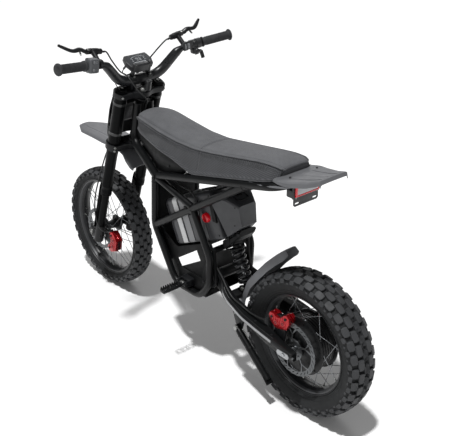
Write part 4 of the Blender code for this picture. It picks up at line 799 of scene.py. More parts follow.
class Wheel:
    """A knobby tyre on a laced rim with a brake disc."""

    SPOKES = 16
    SPOKE_R = 0.00135
    DISC_HOLES = 30
    DISC_ARMS = 5
    KNOB_CORNERS = ((-1, -1), (-1, 0), (-1, 1), (0, 1), (1, 1), (1, 0), (1, -1), (0, -1))

    def __init__(self, spec: WheelSpec) -> None:
        self.spec = spec

    def spot(self, angle: float, radius: float, y: float) -> Vector:
        """A point by its angle about the axle, its radius and its side place."""
        return self.spec.centre + Vector((radius * math.cos(angle), y, radius * math.sin(angle)))

    def section(self) -> list[tuple]:
        """The outer carcass from its middle to its bead, as (radius, y) on a smooth curve."""
        s = self.spec
        knots = [Vector((s.crown + 0.0002, -0.004, 0)), Vector((s.crown + 0.0002, 0.004, 0)),
                 Vector((s.crown - 0.0035, s.tyre_half * 0.58, 0)), Vector((*s.shoulder, 0)),
                 Vector((*s.belly, 0)), Vector((s.flange + 0.010, s.rim_half + 0.004, 0)),
                 Vector((s.flange - 0.002, s.rim_half - 0.0042, 0))]
        run = smooth_run(knots, 8)[4:]
        run[0] = Vector((s.crown + 0.0002, 0, 0))
        return [(p.x, p.y) for p in run]

    def tread_point(self, reach: float, height: float) -> tuple:
        """The (radius, y) at a distance along the section from the middle, raised by height."""
        section = self.section()
        left = abs(reach)
        for (r0, y0), (r1, y1) in zip(section, section[1:]):
            step = math.hypot(r1 - r0, y1 - y0)
            if left <= step:
                share = left / step
                slope = ((y1 - y0) / step, -(r1 - r0) / step)
                radius = mixed(r0, r1, share) + slope[0] * height
                y = mixed(y0, y1, share) + slope[1] * height
                return radius, math.copysign(y, reach)
            left -= step
        return section[-1][0], math.copysign(section[-1][1], reach)

    def block(self, shape: Shape, angle: float, reach: float, length: float, width: float,
              height: float) -> None:
        """One tread block with drafted walls and a rounded top."""
        rings = []
        for rise, share in ((-0.002, 1.10), (height - 0.0009, 1.00), (height, 0.90)):
            ring = []
            for a, b in self.KNOB_CORNERS:
                trim = 0.88 if a and b else 1.0
                along = a * length / 2 * share * trim
                across = reach + b * width / 2 * share * trim
                radius, y = self.tread_point(across, rise)
                if across * reach < 0:
                    y = -abs(y) * math.copysign(1, reach)
                ring.append(self.spot(angle + along / self.spec.tyre_radius, radius, y))
            rings.append(ring)
        shape.loft(rings)

    def tyre(self) -> None:
        """The tyre: carcass, bead line, side ribs and knobs in alternate rows, the carcass painted darker
        than the knobs as shade between them.
        """
        s = self.spec
        carcass = Shape()
        half = self.section()
        inner = [(s.flange - 0.012, s.rim_half - 0.010), (s.belly[0] + 0.006, s.belly[1] - 0.012),
                 (s.crown - 0.016, s.tyre_half * 0.5)]
        profile = half + inner + [(s.crown - 0.014, 0.0)]
        profile += [(r, -y) for r, y in reversed(inner)] + [(r, -y) for r, y in half[:0:-1]]
        carcass.lathe(profile, s.centre, SIDE, 120)
        wall = sorted(half, key=lambda p: p[0])
        for rib, size in ((s.flange + 0.0075, 0.0009), (s.flange + 0.0165, 0.0007)):
            for side in (1, -1):
                y = side * (reading(wall, rib) + size * 0.1)
                carcass.tube([self.spot(angle, rib, y) for angle in turns(96)], size, 6, closed=True)
        # The carcass takes the darker copy of the rubber: painted shade between the knobs.
        carcass.piece(f"{s.name}_tyre_carcass_shaded", TYRE_SHADED, s.body, replaces=[f"{s.name}_tyre"], sharp=40)
        shape = Shape()
        wide = s.tyre_half / 0.055
        high = s.tyre_radius - s.crown
        pitch = 2 * math.pi / s.pitches
        even = ((0.0435, 0.0340, 0.0190, high * 0.97), (0.0655, 0.0110, 0.0070, 0.0016))
        odd = ((0.0225, 0.0385, 0.0222, high), (0.0580, 0.0210, 0.0130, 0.0048))
        for i in range(s.pitches):
            for side in (1, -1):
                for reach, length, width, height in odd if i % 2 else even:
                    self.block(shape, pitch * i, side * reach * wide, length, width * wide, height)
            if not i % 2:
                self.block(shape, pitch * i, 0.0001, 0.0385, 0.0222 * wide, high)
        # The knobs take the lighter copy of the rubber: painted light on their faces.
        shape.piece(f"{s.name}_tyre_knobs", TYRE_LIT, s.body, sharp=22)

    def rim(self) -> None:
        """The rim with its bead flanges and a lighter band under each flange, painted as the flange's
        highlight.
        """
        s = self.spec
        f, h = s.flange, s.rim_half
        half = [(f, h - 0.0014), (f - 0.0010, h - 0.0002), (f - 0.0030, h - 0.0006),
                (f - 0.0042, h - 0.0030), (f - 0.0090, h - 0.0052), (f - 0.0135, h - 0.0130),
                (f - 0.0185, 0.0125), (f - 0.0205, 0.0060)]
        back = [(f - 0.0188, 0.006), (f - 0.0165, 0.0120), (f - 0.0110, h - 0.0130),
                (f - 0.0060, h - 0.0068), (f - 0.0020, h - 0.0040)]
        profile = half + [(r, -y) for r, y in reversed(half)] + [(r, -y) for r, y in reversed(back)]
        profile += back
        Shape().lathe(profile, s.centre, SIDE, 128).piece(
            f"{s.name}_rim_shell", RIM_BLACK, s.body, replaces=[f"{s.name}_rim"])
        # A lighter grey band under each flange, painted as the flange's edge highlight.
        band = Shape()
        for side in (1, -1):
            near = [(f - 0.0044, side * (h - 0.0034)), (f - 0.0092, side * (h - 0.0055)),
                    (f - 0.0130, side * (h - 0.0126)), (f - 0.0120, side * (h - 0.0136)),
                    (f - 0.0080, side * (h - 0.0072))]
            band.lathe([(r - 0.0007, y + side * 0.0004) for r, y in near], s.centre, SIDE, 96)
        band.piece(f"{s.name}_rim_flange_highlight", RIM_FLANGE_HIGHLIGHT, s.body)

    def spokes(self, hub_radius: float, places: Sequence[tuple], turn_degrees: float) -> None:
        """The crossing spokes of both sides, with elbows at the hub and nipples at the rim."""
        s = self.spec
        wires = Shape()
        nipples = Shape()
        end_radius = s.flange - 0.0200
        for side in (1, -1):
            for i in range(self.SPOKES):
                leading = i % 2
                start_y, end_y = places[leading]
                swing = math.radians(turn_degrees if leading else -turn_degrees)
                angle = math.radians(22.5 * i + (11.25 if side > 0 else 0))
                start = self.spot(angle, hub_radius, side * start_y)
                end = self.spot(angle + swing, end_radius, side * end_y)
                run = (end - start).normalized()
                wires.tube([start - SIDE * side * 0.003, start, start + run * 0.003, end],
                           self.SPOKE_R, 8, [0.0016, 0.0016, self.SPOKE_R, self.SPOKE_R])
                nipples.rod(end - run * 0.0130, end + run * 0.0004, 0.0021, 0.0028, sides=10)
        wires.piece(f"{s.name}_spokes", SPOKE_STEEL, s.body, sharp=50)
        nipples.piece(f"{s.name}_nipples", ZINC, s.body)

    def disc(self) -> None:
        """The brake disc: a drilled band carried on swept arms, with its bolts."""
        s = self.spec
        full = s.disc_radius
        place = axes(s.centre + SIDE * s.disc_y, FORWARD, UP)
        holes = [arc(full * 0.82, 96)]
        for angle in turns(self.DISC_HOLES):
            holes.append(round_hull([(*polar(full * row, angle + lean), 0.0013)
                                     for row, lean in ((0.870, 0.0), (0.945, 0.11))], 10))
        outline = [polar(full - 0.0008 + 0.0008 * math.cos(angle * 24), angle) for angle in turns(288)]
        band = Shape().plate(outline, 0.0028, place, holes)
        band.piece(f"{s.name}_disc_band", ROTOR_STEEL, s.body, replaces=[f"{s.name}_rotor"])
        carrier = Shape()
        carrier.plate(arc(full * 0.40, 48), 0.0032, place, [arc(s.disc_bore, 40)], bevel=0.0005)
        sweep = 0.42
        arm = ((0.36, 0, -0.10), (0.58, 0.45, -0.045), (0.84, 1.0, -0.050), (0.84, 1.0, 0.050),
               (0.58, 0.45, 0.030), (0.36, 0, 0.10))
        strut = ((0.57, 0.150), (0.61, 0.150), (0.84, 0.02), (0.84, -0.06))
        for angle in turns(self.DISC_ARMS):
            carrier.plate([polar(full * r, angle + sweep * t + w) for r, t, w in arm], 0.0030, place,
                          bevel=0.0005)
            carrier.plate([polar(full * r, angle + a) for r, a in strut], 0.0030, place, bevel=0.0004)
            carrier.bolt(self.spot(angle, full * 0.30, s.disc_y + 0.0016), SIDE, 0.0042, 0.0026)
        carrier.piece(f"{s.name}_disc_carrier", ROTOR_STEEL, s.body)


REAR = WheelSpec("rear", REAR_AXLE, Body.REAR_WHEEL, 0.2652, 0.055, 0.185, 0.035, (0.2430, 0.0490),
                 (0.2250, 0.0520), 0.2550, 66, 0.0675, 0.100, 0.0130)
FRONT = WheelSpec("front", FRONT_AXLE, Body.FRONT_WHEEL, 0.2632, 0.0426, 0.216, 0.032,
                  (0.2455, 0.0375), (0.2365, 0.0395), 0.2540, 68, 0.0558, 0.092, 0.0168)


class RearWheel(Wheel):
    """The rear wheel round its hub motor."""

    def build(self) -> None:
        """Builds tyre, rim, motor, spokes and disc."""
        self.tyre()
        self.rim()
        self.spokes(0.1035, ((0.0325, 0.004), (0.0360, 0.009)), 40)
        self.disc()
        drum = Shape()
        drum.lathe([(0.020, 0.0655), (0.032, 0.0655), (0.034, 0.0640), (0.034, 0.0520), (0.040, 0.0492),
                    (0.090, 0.0428), (0.0935, 0.0412), (0.1050, 0.0392), (0.1070, 0.0375),
                    (0.1070, 0.0330), (0.1058, 0.0318), (0.0985, 0.0306), (0.0970, 0.0290),
                    (0.0970, -0.0290), (0.0985, -0.0306), (0.1058, -0.0318), (0.1070, -0.0330),
                    (0.1070, -0.0375), (0.1050, -0.0392), (0.0935, -0.0412), (0.0600, -0.0490),
                    (0.0320, -0.0590), (0.0300, -0.0600), (0.0140, -0.0600), (0.0140, 0.040),
                    (0.020, 0.040)], REAR_AXLE, SIDE, 96)
        for side in (1, -1):
            for i in range(9):
                angle = 2 * math.pi * (i + 0.5) / 9
                drum.bolt(self.spot(angle, 0.0985, side * 0.0405), SIDE * side, 0.0032, 0.0024)
            for angle in turns(18):
                drum.rod(self.spot(angle, 0.050, side * 0.0470), self.spot(angle, 0.087, side * 0.0424),
                         0.0014, sides=8)
        for i in range(5):
            y = -0.022 + 0.011 * i
            drum.lathe([(0.0955, y - 0.0025), (0.0990, y - 0.0010), (0.0990, y + 0.0010),
                        (0.0955, y + 0.0025)], REAR_AXLE, SIDE, 72)
        drum.piece("motor_drum", ARM_BLACK, Body.REAR_WHEEL, replaces=["rear_hub_motor"])


class FrontWheel(Wheel):
    """The front wheel on its plain hub."""

    def build(self) -> None:
        """Builds tyre, rim, hub, spokes and disc."""
        self.tyre()
        self.rim()
        self.spokes(0.0330, ((0.0310, 0.004), (0.0370, 0.009)), 52)
        self.disc()
        hub = Shape()
        hub.lathe([(0.0078, 0.0685), (0.0145, 0.0685), (0.0158, 0.0670), (0.0160, 0.0545),
                   (0.0270, 0.0540), (0.0285, 0.0525), (0.0290, 0.0440), (0.0350, 0.0375),
                   (0.0360, 0.0360), (0.0360, 0.0325), (0.0345, 0.0312), (0.0230, 0.0290),
                   (0.0195, 0.0240), (0.0180, 0.0), (0.0195, -0.0240), (0.0230, -0.0290),
                   (0.0345, -0.0312), (0.0360, -0.0325), (0.0360, -0.0360), (0.0345, -0.0372),
                   (0.0200, -0.0480), (0.0160, -0.0560), (0.0160, -0.0670), (0.0145, -0.0685),
                   (0.0078, -0.0685)], FRONT_AXLE, SIDE, 64)
        hub.piece("front_hub_shell", ARM_BLACK, Body.FRONT_WHEEL, replaces=["front_hub"])


def stem(z: float) -> Vector:
    """A point on the steering axis at a height."""
    return on_fork(z) + Vector((-0.022, 0, 0))


def bead(shape: Shape, centre: Vector, axis: Vector, radius: float, size: float = 0.0014) -> None:
    """A weld bead round a tube: a ring that swells and thins like laid metal."""
    turn = axis.to_track_quat("Z", "X").to_matrix()
    ring = [centre + turn @ Vector((*polar(radius, angle), 0)) for angle in turns(72)]
    sizes = [size * (1 + 0.28 * math.sin(k * 1.57)) for k in range(72)]
    shape.tube(ring, size, 8, sizes, closed=True)


# The frame
class TubeFrame:
    """The welded steel frame: neck, seat rails and side loops."""

    MAIN_R = 0.0159
    RAIL_R = 0.0135
    LOOP_R = 0.0130
    JOIN = (0.705, FRAME_HALF, 0.686)
    TAIL_X = 0.055
    LOOP = ((0.712, 0.675), (0.725, 0.480), (0.602, 0.276), (0.455, 0.277), (0.404, 0.350),
            (0.397, 0.460), (0.494, 0.629))
    LOOP_BEND = 0.075

    def rail_z(self, x: float) -> float:
        """Height of the seat rail's axis."""
        return self.JOIN[2] + (self.JOIN[0] - x) * RAIL_SLOPE

    def neck(self) -> None:
        """The head tube, the two main tubes and their cross tubes."""
        shape = Shape()
        half = 0.0949
        shape.lathe([(0.0170, -half), (0.0214, -half), (0.0219, -0.0925), (0.0219, -0.083),
                     (0.0206, -0.080), (0.0206, 0.080), (0.0219, 0.083), (0.0219, 0.0925),
                     (0.0214, half), (0.0170, half)], stem(0.825), FORK_UP, 48)
        for s in (1, -1):
            corner = at(0.930, s * 0.037, 0.745)
            join = at(self.JOIN[0], s * self.JOIN[1], self.JOIN[2])
            lean = (join - corner).normalized()
            end = join + lean * 0.012
            run = bends([at(0.905, s * 0.028, 0.900), corner, end], 0.06, 12)
            shape.tube(run, self.MAIN_R, 28)
            shape.rod(at(0.967, 0, 0.758), at(0.927, s * 0.036, 0.748), 0.010)
            bead(shape, at(0.790, s * 0.064, 0.709), SIDE, 0.0125)
            bead(shape, end, lean, self.MAIN_R - 0.0006)
        shape.rod(at(0.790, 0.078, 0.709), at(0.790, -0.078, 0.709), 0.012)
        gusset = [(0.0, 0.0), (0.052, 0.004), (0.047, 0.014), (0.012, 0.052), (0.0, 0.056)]
        for s in (1, -1):
            shape.plate(gusset, 0.003, axes(at(0.914, s * 0.034, 0.762), Vector((-1, 0, -0.22)),
                                            Vector((0.32, 0, 1))), bevel=0.0006)
        bead(shape, stem(0.752), FORK_UP, 0.0206)
        shape.piece("neck_tubes", FRAME_PAINT, Body.FRAME, replaces=["frame_neck"])

    def rails(self) -> None:
        """The seat rail loop with its cross tubes, seat tabs and bolts."""
        shape = Shape()
        rear = self.rail_z(self.TAIL_X)
        front = at(*self.JOIN)
        run = bends([front, at(self.TAIL_X, FRAME_HALF, rear), at(self.TAIL_X, -FRAME_HALF, rear),
                     mirrored(front)], 0.07, 14)
        shape.tube(run, self.RAIL_R, 24)
        for x in (0.55, 0.30):
            z = self.rail_z(x)
            shape.rod(at(x, 0.1, z), at(x, -0.1, z), 0.010)
            for s in (1, -1):
                bead(shape, at(x, s * 0.0868, z), SIDE, 0.0100)
        slope = Matrix.Rotation(math.atan(RAIL_SLOPE), 4, "Y")
        for x in (0.16, 0.42, 0.62):
            for s in (1, -1):
                tab = at(x, s * 0.0800, self.rail_z(x) + 0.0085)
                shape.box((0.026, 0.022, 0.003), tab, slope, 0.0008)
        shape.piece("seat_rails", FRAME_PAINT, Body.FRAME, replaces=["seat_rail_loop"])

    def side(self, s: int) -> None:
        """One side loop with its diagonal tube and the tie to the battery."""
        shape = Shape()
        points = [at(x, s * FRAME_HALF, z) for x, z in self.LOOP]
        shape.tube(bends(points, self.LOOP_BEND, 12), self.LOOP_R, 24)
        top = at(0.705, s * FRAME_HALF, 0.680)
        shape.rod(top, points[-1], self.LOOP_R)
        low, high = at(0.722, s * FRAME_HALF, 0.475), at(0.205, s * FRAME_HALF, 0.809)
        shape.rod(low, high, self.RAIL_R)
        lean, last, tie = (high - low).normalized(), points[-1] - points[-2], points[-1] - top
        cross = low + lean * ((0.722 - 0.4995) / abs(lean.x))
        for point, axis, radius in ((low + lean * 0.012, lean, self.RAIL_R),
                                    (high - lean * 0.018, lean, self.RAIL_R),
                                    (points[-1] - last.normalized() * 0.009, last, self.LOOP_R),
                                    (points[0] - UP * 0.018, UP, self.LOOP_R),
                                    (cross - tie.normalized() * 0.014, tie, self.LOOP_R)):
            bead(shape, point, axis, radius)
        shape.box((0.036, 0.0247, 0.026), at(0.528, s * 0.0867, 0.602), bevel=0.002)
        label = side_name(s)
        shape.piece(f"side_loop_{label}", FRAME_PAINT, Body.FRAME, replaces=[f"frame_side_{label}"])

    def build(self) -> None:
        """Builds neck, rails and both side loops."""
        self.neck()
        self.rails()
        for s in (1, -1):
            self.side(s)


class Belly:
    """The lower plates, the skid channel and the peg brackets."""

    OUTER = 0.0868
    PLATE = ((0.420, 0.322), (0.448, 0.290), (0.470, 0.278), (0.470, 0.330), (0.435, 0.430),
             (0.430, 0.488), (0.390, 0.488), (0.386, 0.420), (0.380, 0.395), (0.380, 0.352),
             (0.392, 0.334))
    CRADLE = ((0.440, 0.284), (0.618, 0.284), (0.679, 0.375), (0.728, 0.462), (0.724, 0.478),
              (0.620, 0.4215), (0.605, 0.4205), (0.455, 0.4905), (0.428, 0.485), (0.430, 0.380))
    WINDOW = ((0.590, 0.341), (0.611, 0.368), (0.495, 0.4475), (0.474, 0.412))
    CHANNEL = ((-0.0865, 0.272), (0.0865, 0.272), (0.0865, 0.345), (0.0815, 0.345),
               (0.0815, 0.276), (-0.0815, 0.276), (-0.0815, 0.345), (-0.0865, 0.345))
    SPLASH = ((0.700, 0.655), (0.7115, 0.560), (0.7145, 0.482), (0.706, 0.452), (0.688, 0.420),
              (0.662, 0.376), (0.646, 0.350))
    EAR = ((0.400, 0.468), (0.418, 0.486), (0.382, 0.513), (0.368, 0.514), (0.361, 0.504),
           (0.365, 0.493))
    PEG_EAR = ((0.0, -0.013), (0.014, -0.013), (0.022, -0.006), (0.022, 0.006), (0.014, 0.013),
               (0.0, 0.013))

    def plates(self) -> None:
        """Side plates, cradle cheeks, skid channel and the sheet between the front tubes."""
        shape = Shape()
        shape.plate(self.CHANNEL, 0.160, axes(at(0.520, 0, 0), SIDE, UP), bevel=0.0012)
        for s in (1, -1):
            shape.side_plate(self.PLATE, 0.009, s * 0.0821, [arc(0.009, 24, centre=(0.410, 0.448))],
                             bevel=0.0012)
            shape.side_plate(self.CRADLE, 0.0050, s * 0.0795, [self.WINDOW], bevel=0.0008)
            shape.side_plate(self.EAR, 0.007, s * 0.0185, bevel=0.0010)
        splash = smooth_run([Vector((x, 0, z)) for x, z in self.SPLASH], 5)
        ribs = [(-0.087, -0.018), (-0.086, 0), (-0.070, 0), (-0.064, -0.0012), (0.064, -0.0012),
                (0.070, 0), (0.086, 0), (0.087, -0.018)]
        shape.sheet([[at(p.x - back, y, p.z) for y, back in ribs] for p in splash], 0.0030)
        shape.rod(at(PIVOT_X, 0.084, PIVOT_Z), at(PIVOT_X, -0.084, PIVOT_Z), 0.008)
        shape.rod(at(0.408, 0.084, 0.478), at(0.408, -0.084, 0.478), 0.011)
        shape.rod(SHOCK_TOP + SIDE * 0.019, SHOCK_TOP - SIDE * 0.019, 0.005)
        for i in range(4):
            shape.box((0.005, 0.150, 0.004), at(0.470 + 0.034 * i, 0, 0.2775), bevel=0.0012)
        shape.piece("belly_plates", GUARD_BLACK, Body.FRAME, replaces=["belly_frame"])

    def brackets(self) -> None:
        """The two peg brackets with their gussets, and the bolts of the plates."""
        shape = Shape()
        bolts = Shape()
        bright = Shape()
        for s in (1, -1):
            shape.box((0.050, 0.034, 0.030), at(0.530, s * 0.097, 0.311), bevel=0.003)
            for x in (0.509, 0.551):
                shape.plate(self.PEG_EAR, 0.008, axes(at(x, s * 0.111, 0.311), SIDE * s, UP), bevel=0.0012)
            shape.rod(at(0.507, s * PEG_Y, PEG_Z), at(0.553, s * PEG_Y, PEG_Z), 0.003)
            for x, way in ((0.5045, -FORWARD), (0.5550, FORWARD)):
                bolts.bolt(at(x, s * PEG_Y, PEG_Z), way, 0.0046, 0.003, True)
            bright.bolt(at(PIVOT_X, s * self.OUTER, PIVOT_Z), SIDE * s, 0.0085, 0.0065, True)
            bright.bolt(at(0.408, s * self.OUTER, 0.478), SIDE * s, 0.0060, 0.0050)
            for z in (0.300, 0.336):
                bolts.bolt(at(0.452, s * self.OUTER, z), SIDE * s, 0.0045, 0.0030)
            for x, y, z in ((0.575, self.OUTER, 0.305), (0.668, 0.0820, 0.432)):
                bolts.bolt(at(x, s * y, z), SIDE * s, 0.0042, 0.0026)
        shape.piece("peg_brackets", CAST_BLACK, Body.FRAME)
        bolts.piece("belly_bolts", BLACK_BOLT, Body.FRAME)
        bright.piece("pivot_bolts", ZINC, Body.FRAME)

    def build(self) -> None:
        """Builds the plates and what is bolted to them."""
        self.plates()
        self.brackets()


class Battery:
    """The removable pack: a domed case with two vertical bands, a carry handle and a lock."""

    ALONG = Vector((-0.906, 0, 0.423))
    ACROSS = Vector((0.423, 0, 0.906))
    LENGTH = 0.292
    HEIGHT = 0.177
    HALF = 0.074

    def spot(self, u: float, y: float, v: float) -> Vector:
        """A point by its way along the pack, to its side, and up from its lower edge."""
        return at(0.621, y, 0.419) + self.ALONG * u + self.ACROSS * v

    def ring(self, u: float, grow: float = 0.0, shrink: float = 0.0) -> list[Vector]:
        """The pack's section: square below and domed above."""
        half = self.HALF - 0.0010 + grow - shrink
        low, high = 0.0010 + shrink, self.HEIGHT - 0.0010 + grow - shrink
        points: list[tuple] = []
        for cx, cv, r, start in ((half - 0.014, high - 0.014, 0.014, 0.0),
                                 (-half + 0.014, high - 0.014, 0.014, math.pi / 2),
                                 (-half + 0.008, low + 0.008, 0.008, math.pi),
                                 (half - 0.008, low + 0.008, 0.008, 1.5 * math.pi)):
            points += arc(r, 9, start, (cx, cv), math.pi / 2, closed=False)
        return [self.spot(u, y, v) for y, v in points]

    def band(self, name: str, finish: Finish, start: float, end: float) -> None:
        """A raised band over the pack's sides and top."""
        rings = []
        for u, grow in ((start, -0.0006), (start, 0.0004), (start + 0.0006, 0.0009),
                        (end - 0.0006, 0.0009), (end, 0.0004), (end, -0.0006)):
            rings.append(self.ring(u, grow))
        Shape().loft(rings).piece(name, finish, Body.FRAME)

    def build(self) -> None:
        """Builds case, bands, top recess, handle, seams and the switch."""
        case = Shape()
        ends = [(0.0, 0.0075), (0.0006, 0.0045), (0.0025, 0.0018), (0.0060, 0.0)]
        rings = [self.ring(u, 0.0, inset) for u, inset in ends]
        rings += [self.ring(self.LENGTH - u, 0.0, inset) for u, inset in reversed(ends)]
        case.loft(rings)
        case.piece("battery_shell", CASE_DARK, Body.FRAME, replaces=["battery_case"], sharp=40)
        self.band("battery_band_white", WHITE_STRIPE, 0.0480, 0.0770)
        self.band("battery_band_grey", PACK_GREY, 0.0200, 0.0470)
        self.band("battery_band_mid", GREY_STRIPE, 0.0880, 0.1245)
        cover = Shape()
        along = axes(self.spot(0.197, 0, self.HEIGHT - 0.0005), -self.ALONG, SIDE)
        cover.plate(rounded(0.052, 0.036, 0.008, 24), 0.0010, along, [rounded(0.040, 0.022, 0.008, 24)],
                    bevel=0.0003)
        cover.piece("battery_top_cover", PACK_GREY, Body.FRAME)
        grip = Shape()
        run = [self.spot(0.157 + u, 0, self.HEIGHT - v) for u, v in
               ((0.0, 0.0020), (0.004, 0.0), (0.016, -0.0004), (0.064, -0.0004), (0.076, 0.0),
                (0.080, 0.0020))]
        grip.tube(smooth_run(run, 6), 0.0060, 16)
        grip.box((0.086, 0.050, 0.0016), self.spot(0.197, 0, self.HEIGHT - 0.0016),
                 axes(Vector(), -self.ALONG, SIDE), 0.0005)
        seams = [(u, 0.006, self.HEIGHT - 0.016, 0.0009) for u in (0.0478, 0.0825, 0.1262)]
        seams += [(0.2180, 0.006, 0.110, 0.0009)]
        seams += [(u, 0.030, 0.078, 0.0008) for u in (0.160, 0.168, 0.176)]
        for s in (1, -1):
            y = s * (self.HALF - 0.0004)
            for u, low, high, size in seams:
                grip.tube([self.spot(u, y, low), self.spot(u, y, high)], size, 8)
        grip.piece("battery_handle_and_seams", SHELL_BLACK, Body.FRAME)
        bolts = Shape()
        for u, v in ((0.012, 0.014), (0.012, 0.155), (0.278, 0.016)):
            for s in (1, -1):
                bolts.bolt(self.spot(u, s * (self.HALF - 0.0014), v), SIDE * s, 0.0038, 0.0012)
        bolts.piece("battery_screws", BLACK_BOLT, Body.FRAME)
        switch = Shape()
        place = at(0.442, 0.0744, 0.599)
        switch.lathe([(0, 0.0084), (0.0085, 0.0088), (0.0112, 0.0080), (0.0120, 0.0058),
                      (0.0120, -0.0028), (0, -0.0028)], place, SIDE, 48)
        switch.piece("switch_cap", RED_GLOSS, Body.SWITCH, replaces=["main_switch"])
        bezel = Shape()
        bezel.lathe([(0.0122, 0.0105), (0.0136, 0.0119), (0.0150, 0.0112), (0.0179, 0.0050),
                     (0.0179, -0.0028), (0.0122, -0.0028)], place, SIDE, 56)
        bezel.piece("switch_bezel", RED_LENS, Body.SWITCH)


class Controller:
    """The faceted control box behind the battery, narrower towards the rear."""

    LOW = ((0.2985, 0.5985), (0.3505, 0.549), (0.4215, 0.6995))
    HIGH = ((0.2985, 0.6000), (0.3115, 0.6740), (0.352, 0.6935), (0.388, 0.703), (0.4215, 0.7005))
    UNDER_LOW = ((0.309, 0.557), (0.345, 0.519), (0.3505, 0.519))
    UNDER_HIGH = ((0.309, 0.580), (0.3520, 0.541))
    PLAN = ((0.2985, 0.034), (0.400, 0.0825), (0.500, 0.0825))

    def ring(self, x: float, low: float, high: float, inset: float = 0.0) -> list[Vector]:
        """The box's section at one place along it."""
        half = reading(self.PLAN, x) - inset
        edge = within((high - low) * 0.30, 0.0001, 0.0050)
        corners = [(half - edge, low), (half - edge * 0.3, low + edge * 0.3), (half, low + edge),
                   (half, high - edge * 1.6), (half - edge * 0.7, high - edge * 0.5),
                   (half - edge * 2.2, high)]
        return [at(x, y, z) for y, z in corners] + [at(x, -y, z) for y, z in reversed(corners)]

    def build(self) -> None:
        """Builds the shell, its cheeks, the lower plate, dark lines along the shell's lower edges as painted
        shadow, and the top recess, its outline a dark U line of painted shade.
        """
        shell = Shape()
        shell.loft([self.ring(x, reading(self.LOW, x), reading(self.HIGH, x))
                    for x in (0.2987, 0.2995, 0.301, 0.305, 0.309, 0.3115, 0.318, 0.335, 0.3505, 0.352,
                              0.370, 0.388, 0.398, 0.402, 0.412, 0.4208)])
        shell.piece("controller_shell", CASE_DARK, Body.FRAME, replaces=["controller_box"], sharp=9)
        under = Shape()
        for s in (1, -1):
            under.side_plate([(0.381, 0.600), (0.4135, 0.6985), (0.430, 0.690), (0.402, 0.600)], 0.0080,
                             s * 0.0784, bevel=0.0020)
            under.side_plate([(0.344, 0.5200), (0.344, 0.5500), (0.3505, 0.5500), (0.378, 0.5230),
                              (0.372, 0.4930)], 0.0060, s * 0.0540, bevel=0.0015)
        under.loft([self.ring(x, reading(self.UNDER_LOW, x), reading(self.UNDER_HIGH, x), 0.0015)
                    for x in (0.3092, 0.3105, 0.318, 0.330, 0.340, 0.345, 0.3500)])
        # A dark U line on the top, painted as the shade of the recess's outline.
        recess_shade_outline = bends([at(0.392, 0.026, 0.7028), at(0.330, 0.026, 0.6868), at(0.330, -0.026, 0.6868),
                           at(0.392, -0.026, 0.7028)], 0.012, 8)
        under.tube(recess_shade_outline, 0.0018, 10)
        under.box((0.030, 0.026, 0.006), at(0.366, 0, 0.6975),
                  Matrix.Rotation(math.radians(-14), 4, "Y"), 0.002)
        # Dark lines along the shell's lower edges: painted shadow under the shell.
        for s in (1, -1):
            under.tube([at(x, s * (reading(self.PLAN, x) + 0.0004), z)
                        for x, z in ((0.395, 0.647), (0.352, 0.556))], 0.0011, 8)
        under.piece("controller_foot", GUARD_BLACK, Body.FRAME)
        bolts = Shape()
        for s in (1, -1):
            outward = Vector((-0.43, s * 0.90, 0)).normalized()
            for x, z, sunk, radius, height in ((0.3145, 0.567, 0.002, 0.0048, 0.0034),
                                               (0.385, 0.688, 0.0002, 0.0028, 0.0008),
                                               (0.325, 0.668, 0.0002, 0.0028, 0.0008),
                                               (0.325, 0.600, 0.0002, 0.0028, 0.0008)):
                bolts.bolt(at(x, s * (reading(self.PLAN, x) - sunk), z), outward, radius, height)
        bolts.piece("controller_screws", BLACK_BOLT, Body.FRAME)


